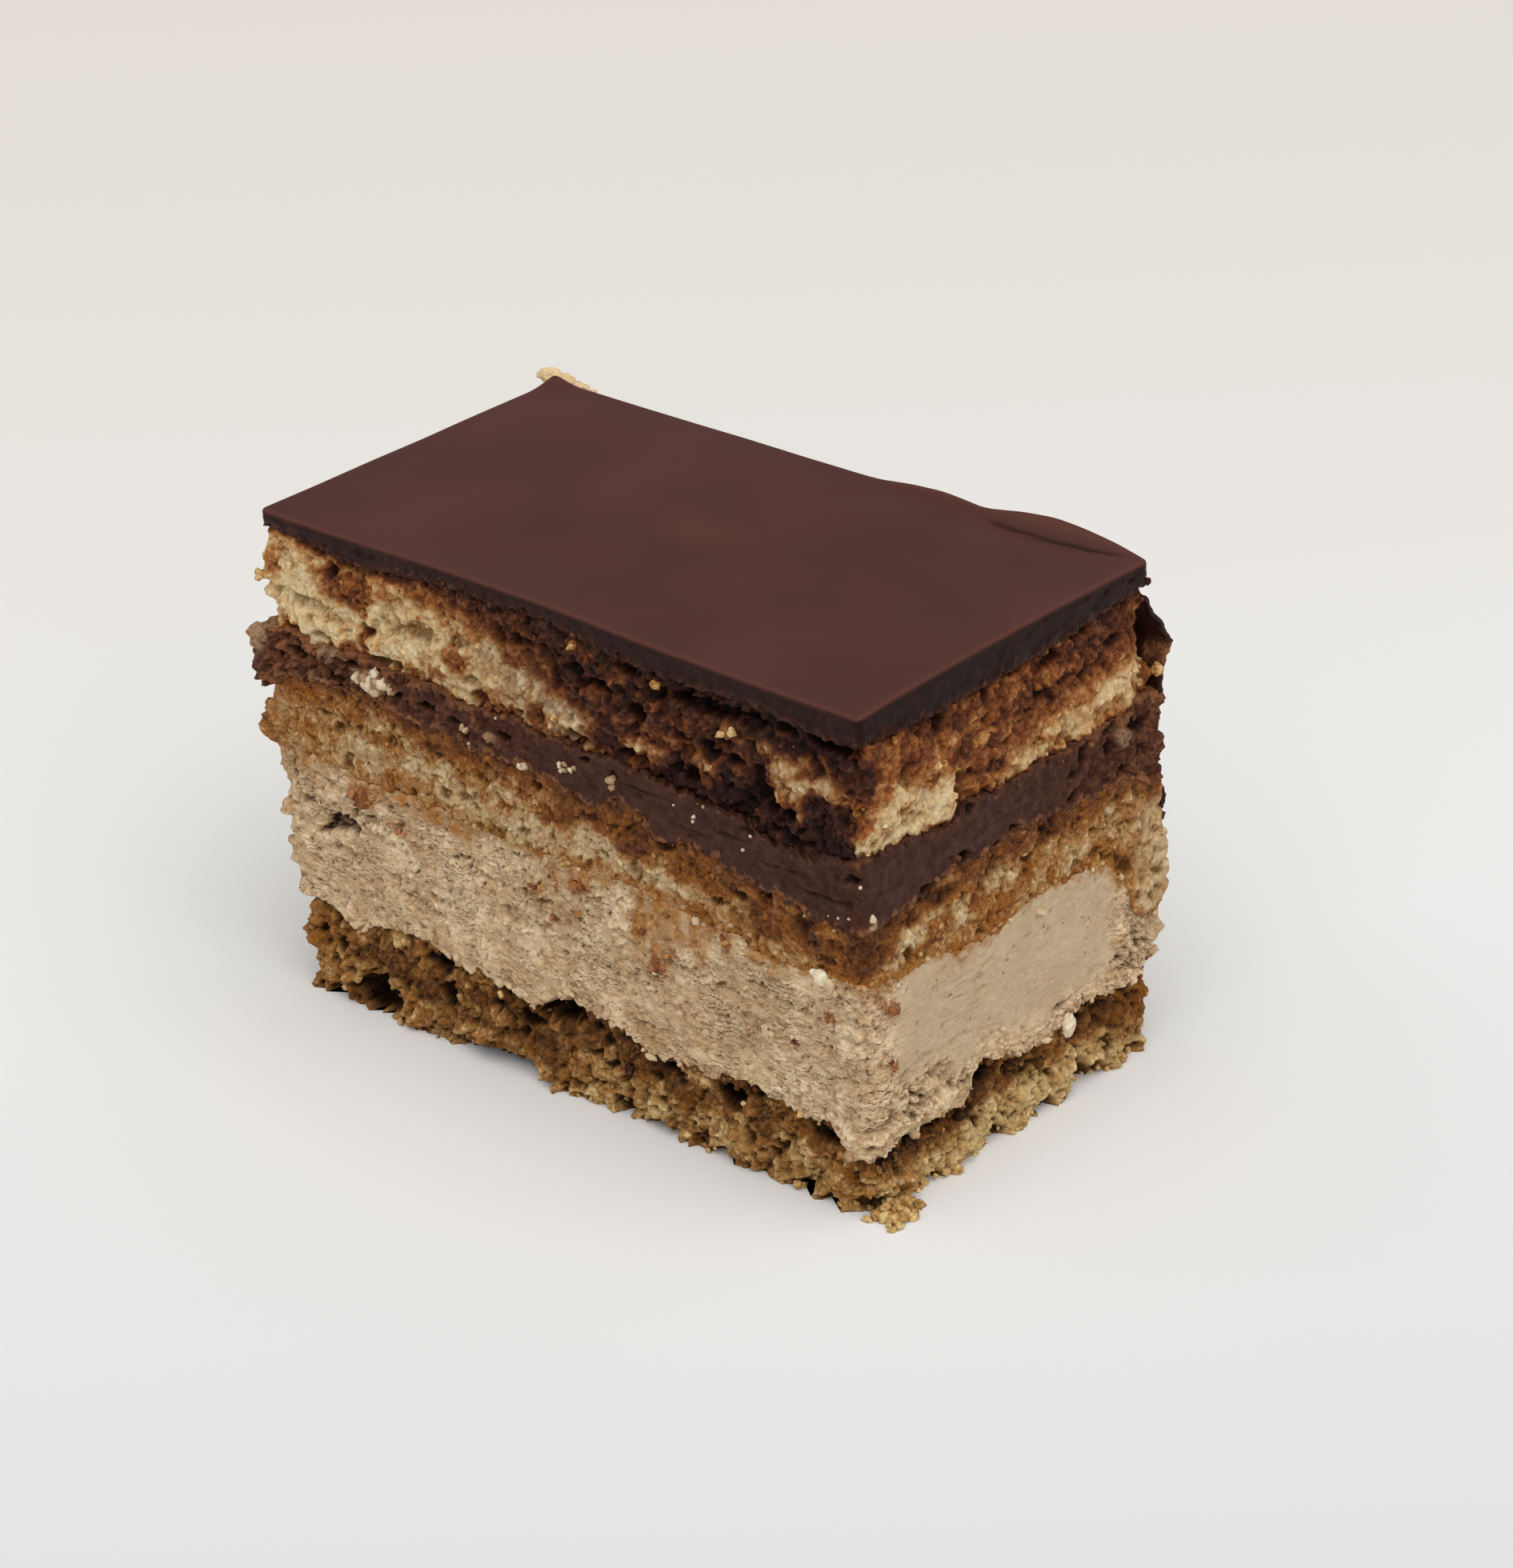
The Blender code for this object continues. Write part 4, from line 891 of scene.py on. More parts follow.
    holes = [("F", -28.4, 1.9, 2.8, 1.6, -4.2), ("F", -34.2, 0.5, 1.4, .9, -2.6), ("F", -10.5, 0.5, 5.0, 1.0, -3.0),
             ("F", 7.0, 1.0, 1.0, 1.0, -2.4), ("F", 12, 0.4, 2.2, .7, -2.0), ("F", 39.4, 0.9, 1.9, 1.2, -2.0),
             ("F", -18.4, 9.2, 1.6, .9, -2.2), ("F", -23, 10.8, .9, .4, -1.5), ("F", -2.0, 9.6, 3.4, 1.5, -3.4),
             ("F", -5.6, 6.9, 1.4, .7, -1.6), ("F", 22.2, 7.8, 1.8, 1.2, -2.6), ("F", 25.4, 9.2, 1.2, .5, -1.4),
             ("F", -33.2, 6.4, .8, 1.0, -1.0), ("F", 31.0, 0.3, 1.6, .7, -1.8), ("F", 20.5, 0.3, 1.6, .6, -1.8),
             ("F", 34.2, 7.8, 2.2, .9, -1.7), ("F", 14.0, 8.0, 2.2, .6, -1.3), ("F", 5.2, 5.4, .8, .4, -.8),
             ("F", 9.2, 9.6, 1.6, .5, -1.2), ("F", -17.2, 5.8, .8, 1.4, -1.3), ("F", 34.6, 0.3, 1.2, .5, -1.4),
             ("R", -4.6, 9.0, 2.4, 1.2, -2.6), ("R", -2.4, 0.5, 1.2, .9, -2.0), ("R", 5.2, 0.5, 1.2, .8, -2.0),
             ("R", -12, 0.4, 1.2, .6, -1.5), ("R", 11.5, 0.6, 2.4, 1.0, -2.2), ("R", 18.6, 0.4, 1.2, .7, -1.5),
             ("R", 13.5, 9.4, 2.4, .6, -1.6), ("R", -13.5, 6.6, 3.4, .6, -1.2), ("R", 1.5, 7.8, 2.6, .5, -1.2),
             ("R", -19.6, 6.0, 1.6, .7, -1.2), ("R", -7.6, .4, .8, .5, -1.2)]
    holes += scatter("BL", 10, (0.5, 9.5), 1.4, -1.8, 27)
    lumps = [("F", -23.0, 1.6, 1.6, 1.7, 1.2), ("F", 31, 4.4, 1.5, 1.7, .9), ("F", -38, 7.4, 1.9, 2.2, .5),
             ("F", -24.4, 10.0, 1.2, .9, .7), ("F", 1.4, 1.3, 1.6, .7, .6), ("F", -13, 3.2, 2.2, .9, .8),
             ("F", 13.5, 2.8, 3.0, 1.2, .5), ("F", -9.4, 6.0, 1.5, .9, 1.0), ("F", -31.8, 3.8, 1.6, 1.3, .8),
             ("F", 24.4, 7.2, 1.2, .9, .8), ("F", 18.4, 8.0, 2.2, .9, .7), ("F", -6.4, 3.6, 1.4, 1.2, .6),
             ("F", -4, 1.2, 1.4, 1.4, .8), ("F", 24, 2.8, 3, 1.3, .5), ("F", -19.3, 3.0, 1.1, 1.0, .7),
             ("R", -17, 2.0, 3.0, 1.6, .7), ("R", 2, 3.6, 2.4, 1.7, .6), ("R", 15.8, 1.6, 1.6, 1.2, .9),
             ("R", 21, 1.4, 1.2, .8, .9), ("R", -8, 2.0, 2.6, 1.5, .5), ("R", 8.4, 1.8, 1.2, 1.6, .6)]
    h = spots(w, holes, warp * 0.9, 0.45)
    d = d + h + spots(w, lumps, warp, 0.5)
    # ragged foot: the lowest crumbs stand on the base in tufts
    foot = 1 - smooth(0.0, 2.6, P[:, 2])
    d = d + foot * (0.75 * perlin(np.stack([P[:, 0], P[:, 1], P[:, 2] * 0.4], 1) / 1.2, 751)
                    + 0.45 * perlin(P / 0.6, 752))
    # soaked through and set back under the cream
    back = per_side(w, F=[(-40, .5), (-30, .8), (-22, 1.1), (-8, 1.2), (0, 1.1), (8, .4), (18, .0), (24, .5), (30, .1), (36, .4),
                          (40, .4)], R=[(-22, .3), (-10, .3), (-4, .7), (4, .2), (14, .5), (22, .2)],
                    B=[(40, .4), (0, .8), (-40, .5)], L=[(22, .5), (-22, .5)])
    d = d - back * (1 - smooth(0.0, 2.0, w.below)) * (0.7 + 1.0 * perlin(P / 2.0, 753))
    d = d + 0.55 * smooth(0.05, 0.5, perlin(P / 1.6, 755)) * (1 - smooth(0.6, 2.4, w.below))
    d = d * (0.60 + 0.40 * smooth(0, 0.6, w.below))
    # painted shade in holes, crevices and just under the cream's overhang; painted highlight on the crests
    c2, crest = shade(w, d, 0.32, 1.3, 0.5, 0.6, 0.5)
    cav = np.clip(cav * 0.58 + np.clip(-h, 0, 2.4) * 0.52 + 0.10 * (1 - smooth(0, 0.8, w.below)) + c2 * 0.80, 0, 1)
    standing = np.clip(spots(w, lumps, warp, 0.5), 0, 1)
    d = d * 0.88 + edge_drift(w)
    w.move(d, vec_noise(P / 0.9, 770) * 0.18 + vec_noise(P / 0.45, 771) * 0.12)
    w.Q[:, 2] = np.maximum(w.Q[:, 2], 0.0)
    w.attr = {"tone": np.clip(tone - 0.14 * standing, 0, 1), "cav": cav, "crest": crest, "amber": np.clip(amber, 0, 1),
              "cool": np.clip(0.4 + 0.6 * perlin(P / 2.6, 781), 0, 1),
              "wet": np.clip(0.5 + 0.8 * perlin(P / 1.2, 782), 0, 1)}
    return w


# ---------------------------------------------------------------- buttercream
def make_buttercream():
    w = Wall(("buttercream", "cream_foot", "cream_top", (0.0, 0.0, 0.0, 2.2), 1.2), DS, DFAR,
             DZ * 1.16)
    P = w.P
    warp = rough_warp(P, 920)
    cut = np.clip(w.side["R"], 0, 1) * smooth(-19.5, -15, P[:, 1]) * (1 - smooth(14.0, 18, P[:, 1]))
    cut *= smooth(2.0, 4.4, w.above + 0.9 * perlin(P / 3.0, 921) + 1.0 * smooth(-2, 12, P[:, 1])
                  - 2.2 * (1 - smooth(-14, -5, P[:, 1])))
    cut_b = np.clip(w.side["B"], 0, 1) * smooth(-0.25, 0.25, perlin(P / 16.0, 922))
    even = np.clip(cut + cut_b * 0.9, 0, 1)             # where the knife left it smooth
    rough = 1 - even
    u_f = np.clip(w.side["F"], 0, 1)
    # torn shingles: short ledges, each standing out over the next
    q = P
    n1 = fbm(np.stack([q[:, 0] / 3.2, q[:, 1] / 3.2, q[:, 2] / 4.2], 1), 3, 931)
    n2 = fbm(np.stack([q[:, 0] / 0.9, q[:, 1] / 0.9, q[:, 2] / 1.6], 1), 2, 932)
    v = q[:, 2] / 0.88 + 0.10 * q[:, 0] / 0.95 + 0.90 * n1 + 0.26 * n2
    k = np.floor(v)
    saw = v - k
    thick = per_side(w, F=[(-40, .55), (-20, .85), (-4, 1.0), (14, 1.0), (24, 1.15), (36, 1.1), (40, .8)],
                     R=[(-22, .9), (-15, .9), (14, .9), (22, 1.0)], B=[(40, 1), (-40, 1)], L=[(22, .6), (-22, .45)])
    # the ledges crowd in the upper half and thin out towards the foot
    calm = u_f * (1 - smooth(12.5, 17.0, P[:, 2] + 2.2 * perlin(P / 5.0, 936)))
    crowd = thick * (1 - 0.62 * calm)
    cell = np.stack([q[:, 0] / 3.2, q[:, 1] / 3.2, k * 7.31], 1)
    amp = smooth(0.04, 0.60, perlin(cell, 933) + 0.25 * perlin(q / 0.9, 937)) * crowd
    ledge = (1 - saw) ** 1.4 * amp
    v2 = (q[:, 2] / 0.50 + 0.8 * fbm(np.stack([q[:, 0] / 1.7, q[:, 1] / 1.7, q[:, 2] / 2.2], 1), 2, 934)
          + 0.25 * n2)
    k2 = np.floor(v2)
    saw2 = v2 - k2
    amp2 = 1.25 * smooth(-0.15, 0.4, perlin(np.stack([q[:, 0] / 1.0, q[:, 1] / 1.0, k2 * 3.7], 1), 935)) * crowd
    ledge2 = (1 - saw2) ** 1.2 * amp2
    swell = 0.36 * fbm(P / 6.5, 2, 941)
    curd = 0.20 * fbm(np.stack([P[:, 0] / 1.9, P[:, 1] / 1.9, P[:, 2] / 1.2], 1), 3, 942)
    f1, f2, own = worley((P + warp[:, :3]) / 1.7, 943)
    pits = smooth(0.30, 0.55, perlin(P / 0.62, 944)) * 0.26
    holes_small = smooth(0.34, 0.60, perlin(P / np.array([1.3, 1.3, 0.8]), 945) + 0.3 * perlin(P / 0.5, 946)) * 0.40
    left = per_side(w, F=[(-40, 1.0), (-24, 0.85), (-12, 0.55), (4, 0.30), (40, 0.25)],
                    R=[(-22, 0.8), (-14, 0.3), (14, 0.4), (22, 1.0)],
                    B=[(40, .9), (0, .4), (-40, .9)], L=[(22, 1.0), (-22, 1.0)])
    d_rough = (0.58 * (ledge - 0.3) + 0.24 * (ledge2 - 0.25) + curd
               + left * (0.30 * (0.5 - f1) + 0.30 * (own - 0.5)) - pits
               - holes_small * (0.10 + 0.90 * left * (1 - 0.5 * calm)))
    # the knife's fine lines, some of them opened, and pinholes further on
    vk = (P[:, 2] + 0.05 * P[:, 1]) / 0.62 + 0.5 * fbm(P / 3.0, 2, 955)
    kk = np.floor(vk)
    line = smooth(0.70, 0.98, vk - kk) * smooth(0.05, 0.45, perlin(np.stack([P[:, 0] / 3.2, P[:, 1] / 3.2, kk * 5.1], 1), 956))
    line *= 1 - 0.75 * smooth(-6, 2, P[:, 1])
    knife = 0.06 * perlin(np.stack([P[:, 0] / 9, P[:, 1] / 9, P[:, 2] / 0.5], 1), 951)
    knife += 0.06 * perlin(np.stack([P[:, 0] / 2.5, P[:, 1] / 2.5, (P[:, 2] + 0.25 * P[:, 1]) / 0.7], 1), 952)
    g1, g2, gown = worley((P + warp[:, :3] * 0.5) / 1.15, 953)
    pin = (1 - smooth(0.10, 0.26, g1)) * (gown > 0.45)
    d_even = 0.10 * fbm(P / 1.2, 3, 954) + knife - 0.20 * pin - 0.14 * pits - 0.12 * line
    d = swell * (0.4 + 0.6 * rough) + d_rough * rough + d_even * even

    holes = [("F", -30.8, 21.5, 1.9, .95, -2.0), ("F", -32.8, 20.7, 1.5, .9, -1.8), ("F", -34.4, 19.7, .9, .6, -1.2),
             ("F", -33.6, 22.0, 1.9, .5, -.9), ("F", -32.0, 18.2, 1.8, .5, -.7), ("F", -36.5, 24.5, 1.2, .6, -.8),
             ("F", -39, 21.8, 1.2, .4, -.8), ("F", -23, 17.4, 2.4, .4, -.7), ("F", -18.2, 15.0, 1.6, .4, -.8),
             ("F", -28, 23.4, 1.8, .4, -.8), ("F", -13.6, 23.0, 1.8, .35, -.7), ("F", -7.2, 18.5, 1.6, .9, -1.0),
             ("F", -18, 18.2, 1.4, .5, -.8), ("F", -21, 16.0, 2.4, .4, -.7), ("F", -10.5, 21.6, 1.5, .4, -.8),
             ("F", -8.4, 25.0, .9, .4, -.7), ("F", 35, 17.4, 1.5, .5, -.9), ("F", 31, 20.8, 2.2, .35, -.7),
             ("F", 2, 18.4, 2.0, .3, -.7), ("F", 5, 16.8, 1.6, .3, -.7), ("F", 22, 19.7, 2.0, .3, -.8),
             ("F", 15.6, 20.2, 2.2, .3, -.8), ("F", 33.5, 13.5, 1.2, .5, -.6), ("F", 38, 19.4, 1.2, .4, -.7),
             ("F", -3, 21.8, 2.2, .3, -.7), ("F", 27, 21.8, 2.0, .3, -.7), ("F", 10, 11.8, 2.6, .3, -.4),
             ("R", -5.2, 19.8, .8, .35, -1.0), ("R", -4.8, 18.2, .6, .35, -1.0), ("R", -3.8, 20.8, .8, .25, -.7),
             ("R", -12.2, 12.6, 1.8, .6, -1.3), ("R", -14.4, 10.2, 1.0, .45, -1.4), ("R", -9.0, 14.4, .9, .35, -.9),
             ("R", -16.0, 13.8, 1.4, .3, -.9), ("R", -13.6, 14.6, 1.4, .3, -.8), ("R", 8, 11.0, 1.8, .35, -1.3),
             ("R", 19.0, 11.3, 2.6, .35, -1.6), ("R", 19.0, 13.6, 2.0, .45, -1.1), ("R", 13.4, 12.6, 1.4, .35, -.8),
             ("R", -7.4, 9.2, 1.6, .5, -1.0), ("R", 21.8, 12.6, 1.2, .5, -1.1), ("R", -20, 12.5, 1.0, 1.2, -.8),
             ("R", 2.6, 21.1, .5, .3, -.6), ("R", 5.6, 20.4, .4, .25, -.6), ("R", -2.6, 12.6, 1.2, .25, -.7)]
    holes += scatter("BL", 12, (12, 26), 1.2, -1.3, 37)
    lumps = [("F", -27.7, 26.0, 2.3, 1.3, .35), ("F", -33, 24.4, 3.4, 1.0, .45), ("F", 38.5, 12.0, 2.5, 3.0, .5),
             ("F", 38.0, 18.0, 1.8, 2.4, .4), ("F", -38, 17, 1.6, 2.5, .5), ("F", -13, 12.2, 3.4, 1.6, .4),
             ("F", -6.2, 17.0, 2.0, .8, .4), ("R", -19.5, 13, 1.8, 3.0, .6), ("R", -10, 8.6, 3.2, 1.2, .9),
             ("R", -16, 8.8, 4.0, 1.2, .7), ("R", 2.0, 10.2, 3.4, 1.4, .8), ("R", 18.5, 10.0, 2.4, .6, 1.2),
             ("R", 6.0, 9.6, 1.6, .8, .6), ("F", 38.6, 7.8, 1.4, 2.0, .7), ("R", 17.5, 15.0, 1.4, .8, .6)]
    h = spots(w, holes, warp * 0.9, 0.40) * (1 - 0.35 * np.clip(w.side["R"], 0, 1))
    h = np.where(h < -1.1, h, h * 0.55)
    d = d + h + spots(w, lumps, warp, 0.5)
    # places where the cream was torn away in flakes
    tear = np.clip(spots(w, [("R", -16.0, 11.4, 3.2, 2.2, 1.), ("R", -11.6, 12.4, 2.6, 1.3, .8),
                             ("R", -8.0, 9.6, 2.6, 1.2, .7), ("R", 19.6, 12.6, 3.2, 1.9, .9), ("R", -20.2, 9.0, 1.6, 2.4, .3),
                             ("R", 8.0, 10.6, 2.4, .7, .6), ("F", 37.8, 10.6, 2.6, 2.0, .22), ("F", 31.0, 10.2, 2.4, .9, .35),
                             ("F", -19.0, 16.0, 3.4, 1.2, .6), ("F", -27.0, 22.6, 3.0, 1.0, .6), ("F", -12.0, 22.2, 3.0, 1.0, .5),
                             ("F", -36.6, 22.6, 2.4, 2.0, .5)], warp * 1.2, 0.5), 0, 1)
    chunk = smooth(-0.12, 0.30, perlin(P / np.array([1.5, 1.5, 1.0]), 947) + 0.45 * perlin(P / 0.6, 948))
    d = d + tear * (0.42 - 1.05 * chunk + 0.30 * perlin(P / 0.45, 949))

    amber = np.clip(spots(w, [("F", 16.6, 25.6, 3.2, 2.2, 1.6), ("F", 12.6, 23.0, 2.3, 2.8, 1.5),
                              ("F", 10.4, 22.0, 1.2, 3.0, .7), ("F", 18.8, 22.6, 1.0, 2.0, .9),
                              ("F", -17, 26.6, 4.6, 1.0, .7), ("F", -14.5, 25.4, 2.0, .8, .5),
                              ("F", -36.5, 26.4, 3.0, 1.2, .55), ("F", -38.5, 23.0, 1.6, 2.6, .35),
                              ("F", 1.4, 25.6, 3.2, 1.2, .55), ("F", -1.4, 22.0, 1.8, 1.8, .3),
                              ("F", 11.8, 10.8, 2.0, .8, .4), ("F", 27, 24.2, 2.0, .8, .4),
                              ("F", -7.2, 18.4, 1.4, .8, .35), ("F", -32, 18.0, 1.8, 1.0, .35),
                              ("F", -22.5, 24.0, 1.8, 1.2, .3), ("F", 34.2, 11.8, 1.2, .7, .35),
                              ("R", -7.5, 23.0, 2.4, 1.2, .6), ("R", 17.8, 22.2, 1.4, 2.4, .85),
                              ("R", 14.5, 23.6, 2.8, .8, .45), ("R", 3, 8.8, 3, .8, .3), ("R", 16.8, 14.6, 1.2, .8, .5),
                              ("R", -20.6, 24.0, 1.6, 1.6, .45)]
                           + scatter("BL", 8, (20, 26), 1.8, .6, 38), warp * 1.4, 0.8), 0, 1)
    reach = per_side(w, F=[(-40, 2.6), (-30, 2.8), (-22, 3.0), (-15, 2.4), (-6, 1.2), (0, 2.0), (4, 2.0),
                           (9, 1.2), (13, 3.0), (18, 3.2), (21, 1.2), (32, 1.2), (38, 1.6), (40, 2.6)],
                     R=[(-22, 1.6), (-16, .5), (-8, .9), (0, .4), (10, .4), (16, 1.2), (22, 1.0)],
                     B=[(40, 1), (0, .8), (-40, 1.4)], L=[(22, 1.2), (-22, 1.4)])
    wave = perlin(P / 2.0, 961) + 0.6 * perlin(P / 0.8, 962)
    amber = np.clip(amber + 0.72 * (1 - smooth(0, 1, (w.below + 0.9 * wave) / reach)), 0, 1)
    fleck = np.clip(spots(w, [("F", -27.7, 25.9, 2.3, 1.3, 1.), ("F", 2.8, 24.9, 1.4, 1.1, .9),
                              ("F", -3.8, 22.8, 1.0, .7, .8), ("F", -2.8, 21.8, .7, .7, .8), ("F", -0.6, 24.6, .6, 1.6, .7),
                              ("F", 4.8, 24.8, .7, .6, .8), ("F", -0.7, 20.2, .8, .6, .9), ("F", 2.6, 22.0, .7, .5, .8),
                              ("F", 22.5, 25.2, .8, 1.2, 1.), ("F", 35.7, 21.3, .8, .8, 1.),
                              ("F", 30.9, 16.8, .5, .7, .9), ("F", -23.6, 23.6, 1.3, .7, .6), ("F", -20.6, 22.7, .9, .5, .6),
                              ("F", -34.8, 25.4, .5, .9, .6), ("F", 13.0, 19.2, 1.1, 1.4, .9), ("F", 14.8, 21.4, 1.0, .7, .6),
                              ("F", 9.8, 23.8, .8, .8, .6), ("F", 9.8, 21.6, .7, .7, .4), ("F", 26.6, 24.2, .7, .4, .4),
                              ("F", -18.4, 18.4, 1.0, .6, .35), ("F", -11.0, 25.8, .8, .4, .4),
                              ("R", -18.7, 22.6, 1.4, .7, .6), ("R", -17.9, 21.8, .9, .55, 1.), ("R", -20.0, 23.6, .9, .7, .6),
                              ("R", -19.6, 17.0, 1.2, .7, .5), ("R", -18.3, 15.9, .8, .4, 1.)]
                           + scatter("BL", 6, (14, 26), .8, .8, 39), warp * 0.7, 0.4), 0, 1)
    chips = np.clip(spots(w, [("F", 18.6, 11.0, 1.8, .8, 1.), ("F", 27.5, 17.2, .7, 1.2, .8),
                              ("F", 35.2, 25.6, 1.2, 1.2, 1.), ("R", -20.4, 19.6, .6, 1.0, .4)],
                          warp * 0.4, 0.25), 0, 1)
    d = d + 0.30 * fleck + 0.35 * chips
    d = d * (0.45 + 0.55 * rim_fade(w, 0.5))
    # painted shade in holes, torn places, pits, pinholes, knife lines and under each ledge; painted highlight on the
    # crests
    c2, crest = shade(w, d, 0.26, 1.0, 0.55, 0.30, 0.60)
    cav = np.clip(np.clip(-h - 0.3, 0, 2.2) * 0.26 + 0.24 * tear * chunk + rough * (0.5 * pits + 0.45 * holes_small * left)
                  + rough * (0.42 * smooth(0.80, 1.0, saw) * amp + 0.42 * smooth(0.8, 1.0, saw2) * amp2)
                  + even * (0.22 * pin + 0.28 * line) + 0.62 * c2 * (1 - 0.55 * even), 0, 1)
    d = d + edge_drift(w)
    shift = vec_noise(P / 1.0, 970) * 0.12 * (0.3 + 0.7 * rough)[:, None]
    shift[:, 2] -= rough * (0.34 * ledge + 0.16 * ledge2)
    w.move(d, shift)
    w.attr = {"cav": cav, "crest": crest, "amber": amber, "fleck": fleck, "chip": chips, "even": even * (1 - 0.9 * tear),
              "tone": np.clip(0.5 + 0.5 * perlin(P / 4.0, 981) + 0.35 * perlin(P / 1.2, 982), 0, 1),
              "wet": np.clip(0.5 + 0.8 * perlin(P / 1.4, 983), 0, 1)}
    return w


# ---------------------------------------------------------------- ganache
def make_ganache():
    w = Wall(("ganache", "choc_foot", "choc_top", (1.5, 0.1, 0.0, 2.3), 1.0), DS, DFAR, DZ * 0.95)
    P = w.P
    warp = rough_warp(P, 1120)
    crumb = per_side(w, F=[(-40, 1.0), (-26, 0.9), (-18, 0.5), (-8, 0.50), (0, 0.25), (6, 0.10), (36, 0.08), (40, .25)],
                     R=[(-22, 0.20), (-18, .10), (-4, 0.12), (8, 0.30), (14, 0.6), (22, 0.8)],
                     B=[(40, 0.7), (20, 0.2), (-10, 0.15), (-28, 0.5), (-40, 0.9)],
                     L=[(22, 0.6), (0, 0.3), (-22, 1.0)])
    f1, f2, own = worley((P + warp[:, :3]) / 1.4, 1121)
    g1, g2, own2 = worley((P + warp[:, :3]) / 0.62, 1122)
    d_crumb = (0.55 * (0.5 - f1) + 0.55 * (own - 0.5) + 0.3 * (0.5 - g1) + 0.36 * (own2 - 0.5)
               + 0.30 * fbm(P / 1.0, 2, 1123) - 0.25 * (1 - smooth(0.02, 0.2, f2 - f1)))
    # knife drag: slanting streaks on the front, softer waves on the right
    sl = np.where(w.N[:, 1] < -0.5, P[:, 2] + 0.22 * P[:, 0], P[:, 2] + 0.04 * P[:, 1])
    drag = 0.14 * perlin(np.stack([P[:, 0] / 6.5, P[:, 1] / 6.5, sl / 0.75], 1), 1131)
    drag += 0.08 * perlin(np.stack([P[:, 0] / 3.0, P[:, 1] / 3.0, sl / 0.32], 1), 1132)
    smear = 0.20 * fbm(P / 3.0, 2, 1133) + 0.16 * fbm(P / 1.1, 3, 1134)
    pock = smooth(0.38, 0.66, perlin(P / 1.3, 1135)) * 0.5
    streak = spots(w, [("F", 35.6, 34.1, 2.8, .14, 1.), ("F", 23.5, 37.0, 2.6, .12, .7), ("F", 13, 38.4, 3.0, .12, .7),
                       ("F", 29.5, 35.6, 3.0, .12, .5), ("F", 19, 36.0, 2.4, .10, .5)], rough_warp(P, 1136, 0.35), 0.5)
    d = crumb * d_crumb + (1 - crumb) * (drag + smear) - pock * (0.30 + 0.70 * crumb) - 0.35 * streak
    holes = [("R", 11.6, 37.2, .7, 1.0, -2.2), ("R", 12.2, 38.2, .4, .6, -1.6), ("R", 10.0, 33.8, .8, .5, -2.0),
             ("R", -7.0, 33.6, 1.0, .8, -1.8), ("R", -2.0, 32.8, .9, .6, -1.3),
             ("R", -12.6, 32.6, 1.2, .5, -1.4), ("R", 0.8, 33.8, .8, .45, -1.6), ("R", 17.8, 33.4, .9, .45, -1.5),
             ("R", 20.0, 34.4, .5, .35, -1.2), ("R", 10.4, 36.0, 1.1, .35, -.8), ("R", -6.0, 38.6, .6, .6, -.8),
             ("R", 16.0, 38.6, 1.0, .5, -1.2), ("R", 15.6, 36.6, .6, .8, -.9),
             ("F", -22.0, 39.0, 1.0, .35, -1.2), ("F", -17.4, 39.0, 1.2, .35, -1.2), ("F", -13.4, 38.3, .9, .35, -1.0),
             ("F", -6.6, 38.8, .9, .35, -1.3), ("F", 4.6, 39.4, .6, .3, -1.0), ("F", 8.4, 39.0, .4, .3, -.7),
             ("F", -30.5, 38.4, 1.3, .5, -1.1), ("F", -12.2, 37.2, .8, .4, -.7), ("F", -36, 39.8, 1.2, .5, -1.0),
             ("F", -33.6, 39.6, .8, .6, -1.0), ("F", -28.6, 40.6, 1.4, .35, -1.2), ("F", -29.4, 37.4, 1.6, .3, -1.0),
             ("F", 39, 37.2, .8, .4, -1.0), ("F", 26, 38.2, 1.0, .3, -.6), ("R", 20.5, 37.4, 1.0, .8, -.9)]
    holes += scatter("BL", 8, (34, 39), .9, -1.3, 47)
    lumps = [("R", 17.5, 37.2, 1.3, 1.2, .9), ("F", -40.4, 39.6, 1.8, 1.6, .7), ("F", -31.4, 40.6, 1.6, .8, .5),
             ("F", -37.5, 37.8, 2.2, 1.0, .5), ("F", -21.4, 37.3, 3.2, .6, .3), ("F", -25.4, 39.6, 2.2, .9, .4),
             ("R", 22.6, 35.5, 1.2, 2.6, .6), ("F", 13.6, 34.2, 1.0, 1.0, .3)]
    h = spots(w, holes, warp * 0.8, 0.45)
    d = d + h + spots(w, lumps, warp, 0.5)
    d = d * (0.4 + 0.6 * rim_fade(w, 0.5))
